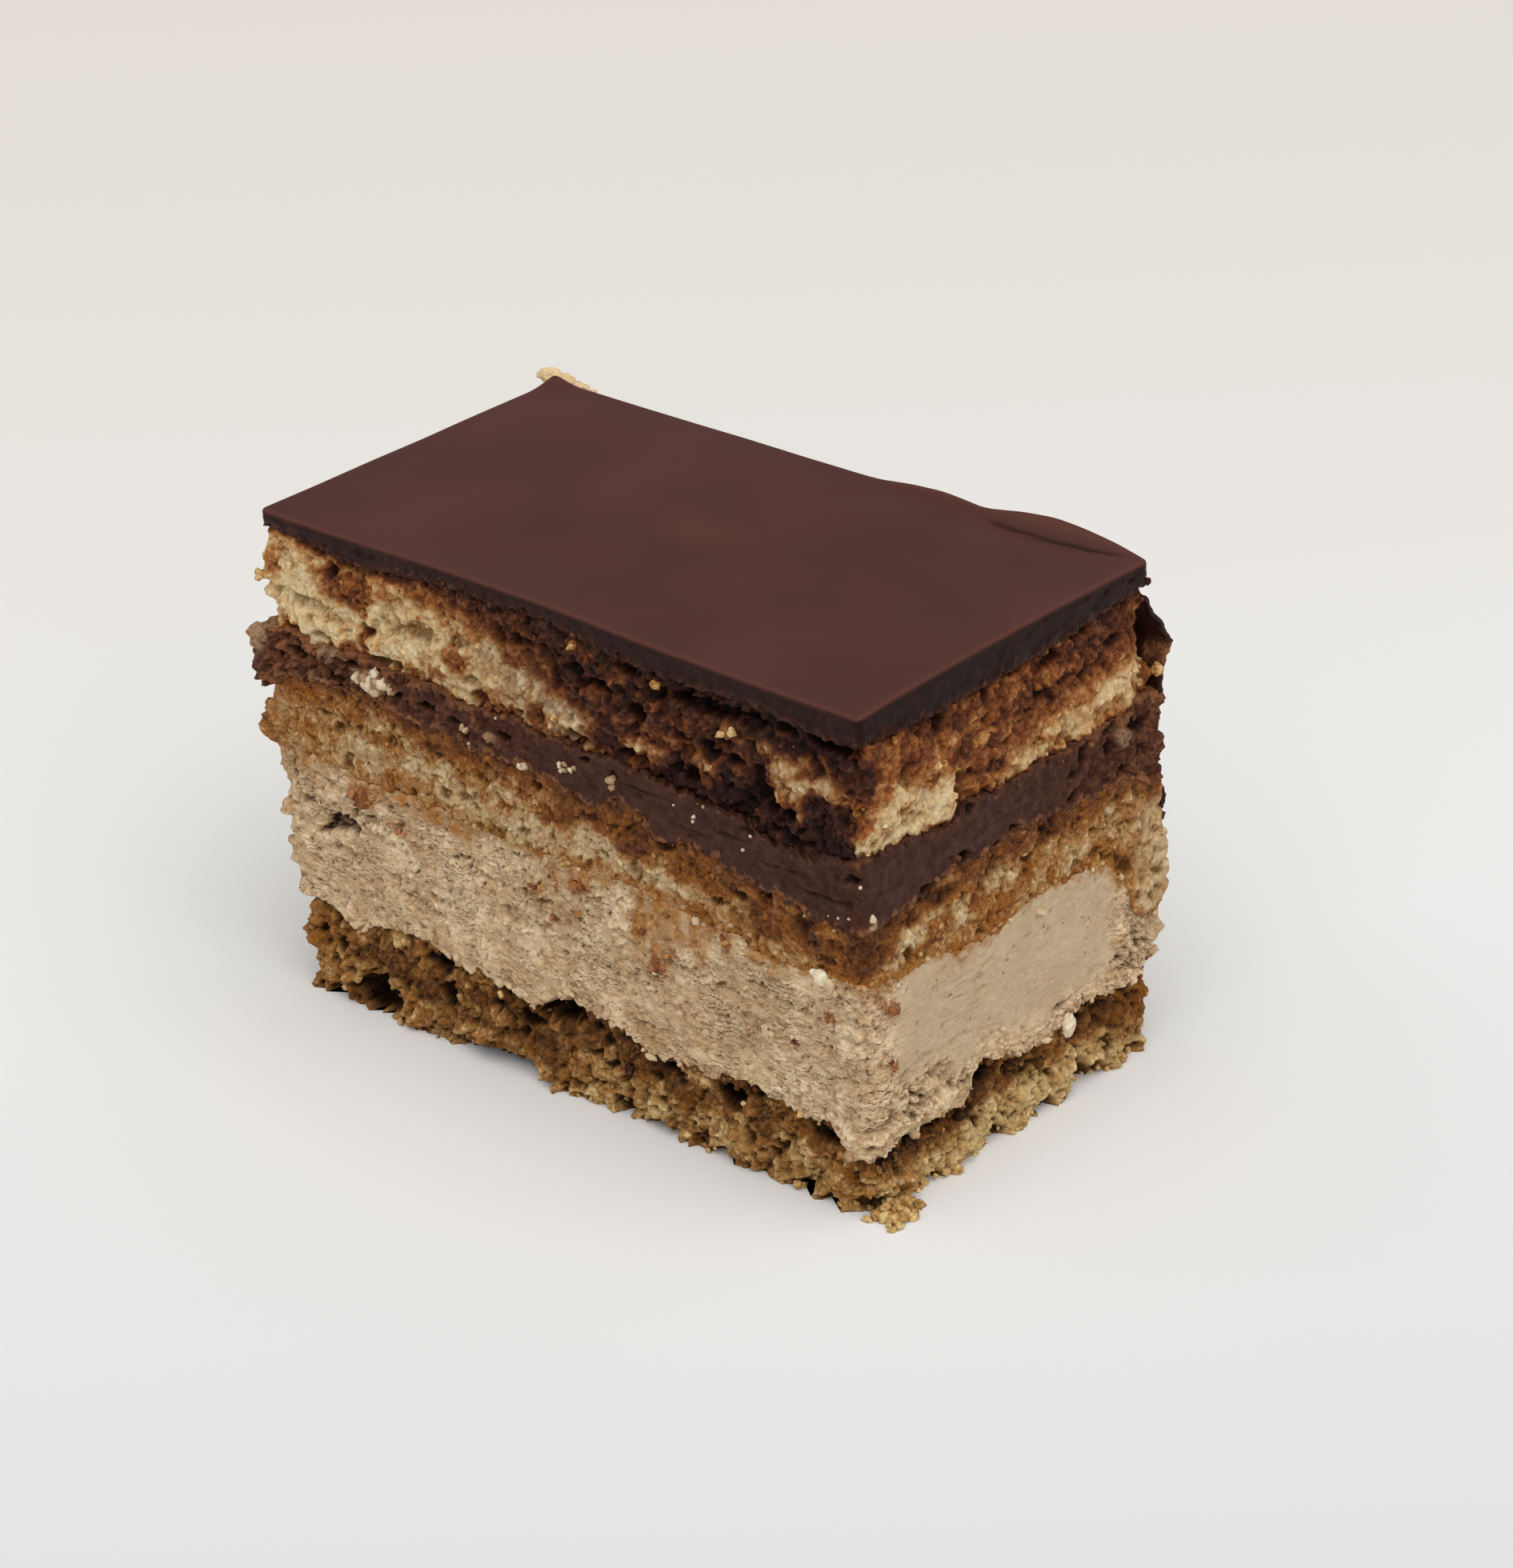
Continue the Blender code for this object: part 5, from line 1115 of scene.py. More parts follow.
    # painted shade in holes, pocks, knife streaks and crevices; painted highlight on the crests
    c2, crest = shade(w, d, 0.30, 1.1, 0.5, 0.4, 0.45)
    cav = np.clip(np.clip(-h, 0, 1.8) * 0.5 + pock * 0.5 * (0.3 + 0.7 * crumb) + 0.5 * streak
                  + 0.75 * c2 * (0.4 + 0.6 * crumb), 0, 1)
    pale = np.clip(spots(w, [("F", -24.9, 39.6, 2.5, 1.0, 1.), ("F", -41.6, 40.4, 1.2, 1.2, .75),
                             ("F", -31, 41.0, 1.6, .8, .40), ("R", 17.5, 37.4, 1.0, 1.0, .40),
                             ("F", -8.4, 38.2, .8, .7, .5), ("F", -33, 37.5, 1.5, .6, .25),
                             ("R", -20.6, 32.0, .6, .7, .6)], warp, 0.4), 0, 1)
    tan = per_side(w, F=[(-40, 0.62), (-26, 0.46), (-14, 0.36), (-4, 0.30), (4, .08), (38, 0.05), (40, .3)],
                   R=[(-22, 0.25), (-18, .05), (8, 0.12), (14, .30), (22, 0.45)], B=[(40, .3), (0, .1), (-40, .4)],
                   L=[(22, .3), (0, .15), (-22, .5)])
    foot = 1 - smooth(0.1, 1.1, w.above + 0.8 * perlin(P / 1.4, 1141))
    d = d + edge_drift(w)
    w.move(d, vec_noise(P / 1.0, 1170) * (0.06 + 0.14 * crumb)[:, None])
    # a torn shard hangs down at the far left corner
    m = (smooth(-38.2, -41.6, w.Q[:, 0]) * (1 - smooth(-20.6, -15.5, w.Q[:, 1]))
         * (1 - smooth(0.2, 2.6, w.above)))
    w.Q[:, 2] -= 2.0 * m
    w.Q[:, 0] -= 1.3 * m
    w.attr = {"cav": cav, "crest": crest, "pale": pale, "crumb": np.clip(crumb, 0, 1),
              "tone": np.clip(tan * (0.45 + 0.9 * own) + 0.60 * foot * (0.4 + own2)
                            + 0.35 * (1 - smooth(0.1, 0.8, w.below + 0.6 * perlin(P / 1.1, 1142))), 0, 1),
              "wet": np.clip(0.5 + 0.7 * perlin(P / 1.6, 1183) - 0.3 * crumb, 0, 1)}
    return w


# ---------------------------------------------------------------- glaze
LIP_RISE = [(3, 0), (6, 0.22), (10, 0.66), (14, 0.80), (17, 0.60), (19.5, 0.42), (21.2, 0.70), (24, 1.15),
            (28, 1.45), (32, 1.30), (36, 0.85), (39, 0.25), (40.4, 0)]
LIP_CREASE = [(3, 22.4), (8, 21.9), (13, 21.5), (18, 21.2), (22, 20.95), (28, 20.7), (34, 20.85), (38, 21.5),
              (40.3, 22.3)]


def lip_shape(x, y):
    """Turned-up strip along the back edge: rise, weight of the painted shade in its crease, and how far the rim leans
    out.
    """
    a, b = np.array(LIP_RISE), np.array(LIP_CREASE)
    high = sum(np.interp(x + o, a[:, 0], a[:, 1], left=0, right=0) for o in (-0.8, 0, 0.8)) / 3
    crease = np.interp(x, b[:, 0], b[:, 1])
    t = (y - crease) / np.maximum(0.35, 22.35 - crease)
    sharp = smooth(18.5, 23.0, x)
    rise = high * (sharp * np.clip(t, 0, 1.15) ** 0.80 + (1 - sharp) * smooth(-0.7, 1.15, t))
    # the crease: a slight dip in the rise and a line that is painted dark as shade
    line = np.exp(-((y - crease) / 0.20) ** 2)
    rise = rise - (0.03 + 0.13 * sharp) * line * smooth(0.2, 0.9, high)
    return rise, line * smooth(0.3, 1.1, high) * (0.15 + 0.85 * sharp), high, t


def make_glaze():
    r = 0.36
    w = Wall(("glaze", "glaze_foot", "glaze_top", (0.0, 0.1, -0.2, 0.2), 0.75), DS, DFAR, 0.17)
    # rows: even on the side, then a quarter round at the top arris
    n_side = 13
    h = (w.z1 - w.z0)
    arc = np.sin(np.linspace(0, math.pi / 2, 6)[1:])
    t_rows = np.concatenate([np.linspace(0, 1, n_side + 1)])
    C = w.cols
    zz = np.zeros((C, n_side + 1 + len(arc)))
    inset = np.zeros_like(zz)
    for i in range(n_side + 1):
        zz[:, i] = w.z0 + (h - r) * t_rows[i]
    for m, s in enumerate(arc):
        zz[:, n_side + 1 + m] = w.z0 + (h - r) + r * s
        inset[:, n_side + 1 + m] = r * (1 - math.sqrt(max(0.0, 1 - s * s)))
    w.rows = zz.shape[1] - 1
    ci = np.repeat(np.arange(C), w.rows + 1)
    w.ci = ci
    w.P = np.stack([w.x[ci], w.y[ci], zz.ravel()], 1)
    w.N = np.stack([w.nx[ci], w.ny[ci], np.zeros(len(ci))], 1)
    w.S = w.s[ci]
    w.above = w.P[:, 2] - w.z0[ci]
    w.below = w.z1[ci] - w.P[:, 2]
    w.side = {"F": -w.N[:, 1], "R": w.N[:, 0], "B": w.N[:, 1], "L": -w.N[:, 0]}
    P = w.P
    low = 1 - smooth(0.0, 1.2, w.above)
    drag = 0.06 * perlin(np.stack([P[:, 0] / 2.2, P[:, 1] / 2.2, P[:, 2] / 0.8], 1), 1211)
    drag += 0.09 * perlin(np.stack([P[:, 0] / 5, P[:, 1] / 5, P[:, 2] / 1.6], 1), 1212)
    drag += 0.05 * perlin(P / 0.6, 1218)
    torn = 0.34 * low * (perlin(P / 1.3, 1213) + 0.7 * perlin(P / 0.55, 1214))
    pocks = smooth(0.36, 0.62, perlin(P / np.array([1.6, 1.6, 0.9]), 1215)) * 0.30 * smooth(0.2, 0.7, w.below)
    left = per_side(w, F=[(-40, .9), (-24, .7), (-6, .3), (40, .3)], R=[(-22, .2), (10, .35), (22, .8)],
                    B=[(40, .8), (0, .5), (-40, .8)], L=[(22, .6), (-22, .9)])
    bow = 0.45 * np.clip(-w.N[:, 1], 0, 1) * np.exp(-((P[:, 0] + 8) / 17) ** 2)
    torn = torn * 1.35
    side_d = drag + torn - pocks * left - 0.18 * low * left
    # the bottom rim hangs a little over the sponge here and there
    side_d += 0.25 * low * smooth(0.1, 0.5, perlin(P / 3.5, 1216))
    d = side_d * smooth(0.0, 0.8, w.below) - inset.ravel() - bow
    d += 0.10 * perlin(np.stack([P[:, 0] / 9, P[:, 1] / 9, P[:, 2] * 0], 1), 1217)
    Q = P + w.N * d[:, None]
    # the back edge is turned up in two low waves, the far left corner a little
    def lifted(x, y):
        rise = lip_shape(x, y)[0]
        corner = np.clip(1 - np.hypot(x + 39.6, y - 21.5) / 4.0, 0, 1) ** 2 * 0.75
        front = 0.08 * np.exp(-((x + 8) / 17) ** 2) * (1 - smooth(-22, -18, y))
        near = -0.10 * np.clip(1 - np.hypot(x - 40, y + 22) / 3.0, 0, 1)
        return rise + corner + front + near
    up = smooth(0.3, 1.0, w.above / np.maximum(0.5, w.above + w.below))
    high = lip_shape(Q[:, 0], Q[:, 1])[2]
    lean = np.clip(w.N[:, 1], 0, 1) * 0.55 * high * up
    Q[:, 1] += lean
    Q[:, 2] += up * lifted(Q[:, 0], Q[:, 1] - lean)
    w.Q = Q

    def top_z(x, y, edge, f):
        k = smooth(0.0, 0.35, f)
        rim = edge[:, 2] if len(edge) == len(x) else np.full(len(x), 54.7)
        plain = joint_inside("glaze_top", x, y) + 0.05
        q = np.stack([x, y, np.zeros_like(x)], 1)
        wave = 0.050 * perlin(q / 15.0, 1221) + 0.022 * perlin(q / 6.0, 1222)
        rim0 = rim - lifted(edge[:, 0], edge[:, 1]) if len(edge) == len(x) else rim
        base = rim0 * (1 - k) + plain * k
        return base + wave * smooth(0, 0.05, f) + lifted(x, y)

    w.top_z = top_z
    # painted shade in the pocks, near the bottom rim and in crevices
    c2, crest = shade(w, d * smooth(0.0, 0.6, w.below), 0.26, 0.9, 0.5, 0.3, 0.2)
    under = (1 - smooth(0.0, 0.9, w.above + 0.5 * perlin(P / 1.2, 1219))) * (0.55 + 0.45 * left)
    # painted highlight along the top arris, painted shade over the right cut side; the lip's crease shade and face
    # highlight are set on the top only
    w.attr = {"cav": np.clip(pocks * left * 2.0 + 0.25 * low + 0.5 * c2, 0, 1), "up": 1 - smooth(0.0, 0.42, w.below),
              "groove": np.zeros(len(P)), "lipface": np.zeros(len(P)), "crumb": np.clip(under, 0, 1),
              "arris": np.exp(-((w.below - 0.12) / 0.22) ** 2), "short": np.clip(w.side["R"], 0, 1)}
    return w


# =============================================================== materials
def lin(r, g, b, k=1.0):
    """Colour given as 0-255 display values, as the linear colour a surface needs."""
    out = []
    for v in (r, g, b):
        v = v / 255.0
        v = v / 12.92 if v <= 0.04045 else ((v + 0.055) / 1.055) ** 2.4
        out.append(min(1.0, v * k))
    return (out[0], out[1], out[2], 1.0)


# Side colours below are what the crumb looks like in open light; LIFT turns them into albedo.
LIFT = 1.35


def c(r, g, b):
    return lin(r, g, b, LIFT)


class Look:
    """A procedural material; textures run in millimetres over the object."""

    def __init__(self, name):
        self.mat = bpy.data.materials.new(name)
        self.mat.use_nodes = True
        self.tree = self.mat.node_tree
        self.tree.nodes.clear()
        out = self.tree.nodes.new("ShaderNodeOutputMaterial")
        self.bsdf = self.tree.nodes.new("ShaderNodeBsdfPrincipled")
        self.tree.links.new(self.bsdf.outputs[0], out.inputs[0])
        co = self.tree.nodes.new("ShaderNodeTexCoord")
        sc = self.tree.nodes.new("ShaderNodeVectorMath")
        sc.operation = "SCALE"
        sc.inputs["Scale"].default_value = 1000.0
        self.tree.links.new(co.outputs["Object"], sc.inputs[0])
        self.mm = sc.outputs[0]

    def put(self, socket, value):
        self._in(self.bsdf.inputs[socket], value)

    def _in(self, sock, value):
        if isinstance(value, bpy.types.NodeSocket):
            self.tree.links.new(value, sock)
        else:
            sock.default_value = value

    def attr(self, name):
        n = self.tree.nodes.new("ShaderNodeAttribute")
        n.attribute_name = name
        return n.outputs["Fac"]

    def math(self, op, a, b=0.0, clamp=False):
        n = self.tree.nodes.new("ShaderNodeMath")
        n.operation = op
        n.use_clamp = clamp
        self._in(n.inputs[0], a)
        self._in(n.inputs[1], b)
        return n.outputs[0]

    def fit(self, v, a, b, c=0.0, d=1.0):
        n = self.tree.nodes.new("ShaderNodeMapRange")
        self._in(n.inputs["Value"], v)
        n.inputs["From Min"].default_value = a
        n.inputs["From Max"].default_value = b
        n.inputs["To Min"].default_value = c
        n.inputs["To Max"].default_value = d
        return n.outputs[0]

    def noise(self, size, detail=2.0, rough=0.55, stretch=None, seed=0.0):
        n = self.tree.nodes.new("ShaderNodeTexNoise")
        m = self.tree.nodes.new("ShaderNodeMapping")
        m.inputs["Location"].default_value = (seed, seed * 1.7, seed * 0.6)
        m.inputs["Scale"].default_value = stretch or (1, 1, 1)
        self.tree.links.new(self.mm, m.inputs["Vector"])
        self.tree.links.new(m.outputs[0], n.inputs["Vector"])
        n.inputs["Scale"].default_value = 1.0 / size
        n.inputs["Detail"].default_value = detail
        n.inputs["Roughness"].default_value = rough
        return n.outputs["Fac"]

    def height_mm(self):
        """Height over the underside of the cake."""
        n = self.tree.nodes.new("ShaderNodeSeparateXYZ")
        self.tree.links.new(self.mm, n.inputs[0])
        return n.outputs["Z"]

    def cells(self, size, feature="F1", seed=0.0):
        m = self.tree.nodes.new("ShaderNodeMapping")
        m.inputs["Location"].default_value = (seed, seed * 1.3, seed * 0.7)
        self.tree.links.new(self.mm, m.inputs["Vector"])
        n = self.tree.nodes.new("ShaderNodeTexVoronoi")
        n.feature = feature
        n.inputs["Scale"].default_value = 1.0 / size
        self.tree.links.new(m.outputs[0], n.inputs["Vector"])
        return n.outputs["Distance"]

    def warped(self, size, amount, seed=0.0):
        """Coordinates pushed about by noise, so that cells come out ragged."""
        n = self.tree.nodes.new("ShaderNodeTexNoise")
        self.tree.links.new(self.mm, n.inputs["Vector"])
        n.inputs["Scale"].default_value = 1.0 / size
        n.inputs["Detail"].default_value = 2.0
        v = n.outputs["Color"]
        for op, other in (("SUBTRACT", (0.5, 0.5, 0.5)), ("SCALE", amount * 2), ("ADD", self.mm)):
            m = self.tree.nodes.new("ShaderNodeVectorMath")
            m.operation = op
            self.tree.links.new(v, m.inputs[0])
            if op == "SCALE":
                m.inputs["Scale"].default_value = other
            else:
                self._in(m.inputs[1], other)
            v = m.outputs[0]
        return v

    def grains(self, size, vec, seed=0.0, stretch=(1, 1, 1)):
        """Cells of a given size: two numbers of each cell's own, distance to its middle and rim."""
        m = self.tree.nodes.new("ShaderNodeMapping")
        m.inputs["Location"].default_value = (seed, seed * 1.3, seed * 0.7)
        m.inputs["Scale"].default_value = stretch
        self.tree.links.new(vec, m.inputs["Vector"])
        a = self.tree.nodes.new("ShaderNodeTexVoronoi")
        b = self.tree.nodes.new("ShaderNodeTexVoronoi")
        b.feature = "DISTANCE_TO_EDGE"
        for n in (a, b):
            n.inputs["Scale"].default_value = 1.0 / size
            self.tree.links.new(m.outputs[0], n.inputs["Vector"])
        sep = self.tree.nodes.new("ShaderNodeSeparateColor")
        self.tree.links.new(a.outputs["Color"], sep.inputs[0])
        return sep.outputs[0], sep.outputs[1], a.outputs["Distance"], b.outputs["Distance"]

    def ramp(self, fac, stops):
        n = self.tree.nodes.new("ShaderNodeValToRGB")
        cr = n.color_ramp
        while len(cr.elements) > 1:
            cr.elements.remove(cr.elements[-1])
        for i, (p, col) in enumerate(stops):
            e = cr.elements[0] if i == 0 else cr.elements.new(p)
            e.position = p
            e.color = col
        self._in(n.inputs["Fac"], fac)
        return n.outputs["Color"]

    def mix(self, fac, a, b, kind="MIX"):
        n = self.tree.nodes.new("ShaderNodeMix")
        n.data_type = "RGBA"
        n.blend_type = kind
        n.clamp_factor = True
        self._in(n.inputs["Factor"], fac)
        self._in(n.inputs[6], a)
        self._in(n.inputs[7], b)
        return n.outputs[2]

    def bump(self, height, strength, mm):
        n = self.tree.nodes.new("ShaderNodeBump")
        n.inputs["Strength"].default_value = strength
        n.inputs["Distance"].default_value = mm * MM
        self._in(n.inputs["Height"], height)
        self.tree.links.new(n.outputs[0], self.bsdf.inputs["Normal"])

    def flesh(self, weight, radius, scale_mm):
        self.put("Subsurface Weight", weight)
        self.put("Subsurface Radius", radius)
        self.put("Subsurface Scale", scale_mm * MM)


def sponge_look(name, stops, hollow_shade_stops, cool_col, ambers=None, wet=0.35, cavity_shade_k=0.8, ss=0.12, grit=1.0):
    m = Look(name)
    tone = m.attr("tone")
    n1 = m.noise(0.55, 3, 0.6, seed=3)
    n2 = m.noise(0.22, 2, 0.6, seed=9)
    vec = m.warped(0.7, 0.42)
    a_own, a_hue, a_mid, a_rim = m.grains(0.95, vec, 4.0)
    b_own, b_hue, b_mid, b_rim = m.grains(0.44, vec, 7.0)
    t = m.math("ADD", tone, m.fit(n1, 0.3, 0.7, -0.07, 0.07))
    t = m.math("ADD", t, m.fit(n2, 0.3, 0.7, -0.05, 0.05))
    dry = m.fit(tone, 0.42, 0.80, 1.0, 0.40)
    t = m.math("ADD", t, m.math("MULTIPLY", m.fit(a_own, 0, 1, -0.07 * grit, 0.07 * grit), dry))
    t = m.math("ADD", t, m.math("MULTIPLY", m.fit(b_own, 0, 1, -0.06 * grit, 0.06 * grit), dry))
    # painted highlight: crumbs standing out on the crests are painted paler than the ones behind them
    t = m.math("SUBTRACT", t, m.math("MULTIPLY", m.attr("crest"), 0.12), clamp=True)
    col = m.ramp(t, stops)
    # paler crumbs drift to a greyer cream
    cool = m.math("ADD", m.attr("cool"), m.fit(a_hue, 0, 1, -0.35, 0.35), clamp=True)
    cool = m.math("MULTIPLY", cool, m.fit(tone, 0.02, 0.36, 0.65, 0.0), clamp=True)
    col = m.mix(cool, col, cool_col)
    if ambers is not None:
        a = m.math("ADD", m.attr("amber"), m.fit(a_hue, 0, 1, -0.16, 0.16))
        a = m.math("ADD", a, m.fit(n1, 0.3, 0.7, -0.10, 0.10))
        col = m.mix(m.math("MULTIPLY", a, 0.72, clamp=True), col, m.mix(m.fit(n2, 0.35, 0.65), *ambers))
    # painted highlight: odd grains are painted paler, as if they caught the light
    glint = m.math("MULTIPLY", m.fit(b_hue, 0.80, 0.90, 0.0, 0.50), m.fit(m.attr("cav"), 0.0, 0.35, 1.0, 0.0), clamp=True)
    col = m.mix(glint, col, m.ramp(tone, [(0.0, c(216, 204, 172)), (0.35, c(196, 168, 124)), (0.6, c(146, 98, 60)),
                                         (1.0, c(84, 56, 44))]))
    # painted shade in the gaps between grains, tiny pores and the hollows between crumbs
    gap = m.math("MULTIPLY", m.fit(a_rim, 0.0, 0.10, 0.30 * grit, 0.0), m.fit(m.noise(1.1, 2, seed=15), 0.40, 0.60, 0.0, 1.0), clamp=True)
    gap2 = m.math("MULTIPLY", m.fit(b_rim, 0.0, 0.14, 0.22 * grit, 0.0), m.fit(m.noise(0.9, 2, seed=16), 0.42, 0.60, 0.0, 1.0), clamp=True)
    pores = m.fit(m.cells(0.42, seed=5), 0.05, 0.26, 1.0, 0.0)
    pores = m.math("MULTIPLY", pores, m.fit(m.noise(1.2, 2, seed=14), 0.45, 0.62, 0.0, 0.40 * grit), clamp=True)
    fine = m.math("MULTIPLY", m.math("MAXIMUM", pores, m.math("MAXIMUM", gap, gap2)), dry)
    col = m.mix(m.attr("veil"), col, (0.50, 0.54, 0.74, 1), "MULTIPLY")
    # painted shade: the relief's darkness and the fine gaps pull the colour towards the hollow shade ramp
    dark = m.math("ADD", m.math("MULTIPLY", m.attr("cav"), cavity_shade_k), fine, clamp=True)
    col = m.mix(dark, col, m.ramp(t, hollow_shade_stops))
    m.put("Base Color", col)
    w = m.math("MULTIPLY", m.attr("wet"), wet, clamp=True)
    m.put("Roughness", m.fit(w, 0.0, 0.6, 0.66, 0.34))
    m.put("Specular IOR Level", 0.09)
    m.flesh(ss, (1.0, 0.60, 0.30), 1.0)
    h = m.math("ADD", m.noise(0.30, 3, 0.62, seed=21), m.math("MULTIPLY", a_mid, -0.9))
    h = m.math("ADD", h, m.math("MULTIPLY", b_mid, -0.5))
    m.bump(m.math("MULTIPLY", h, dry), 0.45 + 0.3 * grit, 0.20)
    return m.mat


def cream_look():
    m = Look("coffee_buttercream")
    tone = m.attr("tone")
    n1 = m.noise(0.8, 3, 0.6, stretch=(1, 1, 1.8), seed=4)
    vec = m.warped(0.8, 0.40)
    a_own, a_hue, a_mid, a_rim = m.grains(0.75, vec, 4.0, (1, 1, 1.5))
    t = m.math("ADD", tone, m.fit(n1, 0.3, 0.7, -0.28, 0.28))
    t = m.math("ADD", t, m.fit(a_own, 0, 1, -0.22, 0.22))
    # painted highlight: the crests of the relief are painted paler
    t = m.math("ADD", t, m.math("MULTIPLY", m.attr("crest"), 0.30), clamp=True)
    col = m.ramp(t, [(0.0, c(163, 131, 94)), (0.5, c(186, 158, 122)), (1.0, c(213, 189, 155))])
    col = m.mix(m.attr("even"), col, m.ramp(t, [(0.0, c(168, 145, 115)), (1.0, c(181, 160, 132))]))
    amber = m.math("ADD", m.attr("amber"), m.fit(m.noise(0.5, 3, seed=8), 0.3, 0.7, -0.25, 0.25))
    run = m.fit(m.noise(1.3, 3, 0.6, stretch=(1, 1, 0.40), seed=57), 0.36, 0.60, 0.45, 1.05)
    amber = m.math("MULTIPLY", m.math("MULTIPLY", m.fit(amber, 0.12, 0.95), 0.90), run, clamp=True)
    col = m.mix(amber, col, m.mix(m.fit(n1, 0.35, 0.65), c(160, 106, 40), c(122, 70, 18)))
    # grainy film over the knifed parts
    grain = m.math("MULTIPLY", m.attr("even"), m.fit(m.noise(0.28, 3, 0.7, stretch=(1, 1, 1.6), seed=41), 0.30, 0.46, 0.42, 0.0),
                   clamp=True)
    col = m.mix(grain, col, c(146, 110, 72))
    fleck = m.fit(m.math("ADD", m.attr("fleck"), m.fit(m.noise(0.45, 3, seed=18), 0.3, 0.7, -0.28, 0.28)),
                  0.30, 0.72)
    fcol = m.ramp(m.noise(0.6, 2, seed=30), [(0.3, c(92, 50, 26)), (0.5, c(132, 82, 46)), (0.7, c(168, 116, 72))])
    col = m.mix(m.math("MULTIPLY", fleck, 0.92, clamp=True), col, fcol)
    col = m.mix(m.math("MULTIPLY", m.attr("chip"), 0.85, clamp=True), col, c(206, 182, 144))
    # fine crackle: short cracks that run with the layers, in patches, painted dark as shade
    line = m.math("ABSOLUTE", m.math("SUBTRACT", m.noise(2.2, 2.5, 0.60, stretch=(1, 1, 4.2), seed=51), 0.5))
    crack = m.fit(line, 0.0, 0.030, 1.0, 0.0)
    patch = m.math("MULTIPLY", m.fit(m.noise(4.5, 2, 0.5, seed=52), 0.38, 0.56, 0.30, 1.0),
                   m.fit(m.noise(1.1, 2, 0.5, stretch=(1, 1, 1.6), seed=54), 0.44, 0.56, 0.0, 1.0))
    still = m.fit(m.attr("even"), 0.0, 1.0, 0.95, 0.32)
    crack = m.math("MULTIPLY", m.math("MULTIPLY", crack, patch), m.math("MULTIPLY", still, 0.40), clamp=True)
    # fine ledges: every one hangs a little over the next, with a painted shadow under its edge and a painted highlight
    # along its lip
    v = m.math("ADD", m.math("MULTIPLY", m.height_mm(), 1.75), m.fit(m.noise(2.4, 2, 0.5, seed=61), 0.25, 0.75, -0.9, 0.9))
    v = m.math("ADD", v, m.fit(m.noise(0.75, 2, 0.55, seed=62), 0.25, 0.75, -0.42, 0.42))
    saw = m.math("FRACT", v)
    shows = m.math("MULTIPLY", m.fit(m.noise(1.5, 2, 0.6, stretch=(1, 1, 1.9), seed=63), 0.42, 0.52, 0.0, 1.0),
                   m.fit(m.attr("even"), 0.0, 1.0, 1.0, 0.10), clamp=True)
    calm = m.math("MULTIPLY", m.fit(m.noise(4.2, 2, 0.5, seed=64), 0.42, 0.58, 0.30, 1.0),
                  m.math("SUBTRACT", 1.0, m.math("MULTIPLY", amber, 0.90)), clamp=True)
    shows = m.math("MULTIPLY", shows, calm)
    under = m.math("MULTIPLY", m.fit(saw, 0.74, 0.90, 0.0, 1.0), shows, clamp=True)
    edge = m.math("MULTIPLY", m.fit(saw, 0.0, 0.30, 1.0, 0.0), shows, clamp=True)
    # painted sheen: pale streaks that run with the layers
    shine = m.fit(m.noise(1.5, 3, 0.66, stretch=(1, 1, 4.2), seed=53), 0.57, 0.66, 0.0, 0.60)
    dry = m.math("SUBTRACT", 1.0, m.math("MULTIPLY", amber, 0.95), clamp=True)
    col = m.mix(m.math("MULTIPLY", m.math("MULTIPLY", shine, still), dry, clamp=True), col, c(212, 190, 160))
    col = m.mix(m.math("MULTIPLY", m.math("MULTIPLY", edge, 0.50), dry, clamp=True), col, c(216, 194, 162))
    col = m.mix(m.math("MULTIPLY", under, 0.92, clamp=True), col, c(92, 60, 30))
    col = m.mix(crack, col, c(84, 54, 28))
    # brown coffee specks
    sp = m.fit(m.cells(2.6, seed=12), 0.05, 0.085, 0.75, 0.0)
    col = m.mix(sp, col, c(112, 78, 48))
    # painted shade in holes, torn places, pits and under the ledges
    cav = m.attr("cav")
    hollow = m.ramp(cav, [(0.15, c(112, 80, 46)), (0.45, c(78, 50, 26)), (0.85, c(34, 20, 10))])
    col = m.mix(m.math("MULTIPLY", cav, 1.05, clamp=True), col, hollow)
    m.put("Base Color", col)
    m.put("Roughness", m.fit(m.attr("wet"), 0.0, 1.0, 0.62, 0.42))
    m.put("Specular IOR Level", 0.10)
    m.flesh(0.10, (1.0, 0.6, 0.35), 1.0)
    h = m.math("ADD", m.noise(0.42, 4, 0.66, stretch=(1, 1, 2.0), seed=22),
               m.math("MULTIPLY", m.fit(m.cells(0.75, seed=13), 0.0, 0.20, 0.0, 1.0), 0.35))
    h = m.math("SUBTRACT", h, m.math("MULTIPLY", crack, 1.1))
    h = m.math("ADD", h, m.math("MULTIPLY", shine, 0.5))
    step = m.math("MULTIPLY", m.math("SUBTRACT", 1.0, saw), shows)
    h = m.math("ADD", h, m.math("MULTIPLY", step, 2.2))
    h = m.math("MULTIPLY", h, m.math("SUBTRACT", 1.0, m.math("MULTIPLY", amber, 0.55)))
    m.bump(h, 0.80, 0.20)
    return m.mat


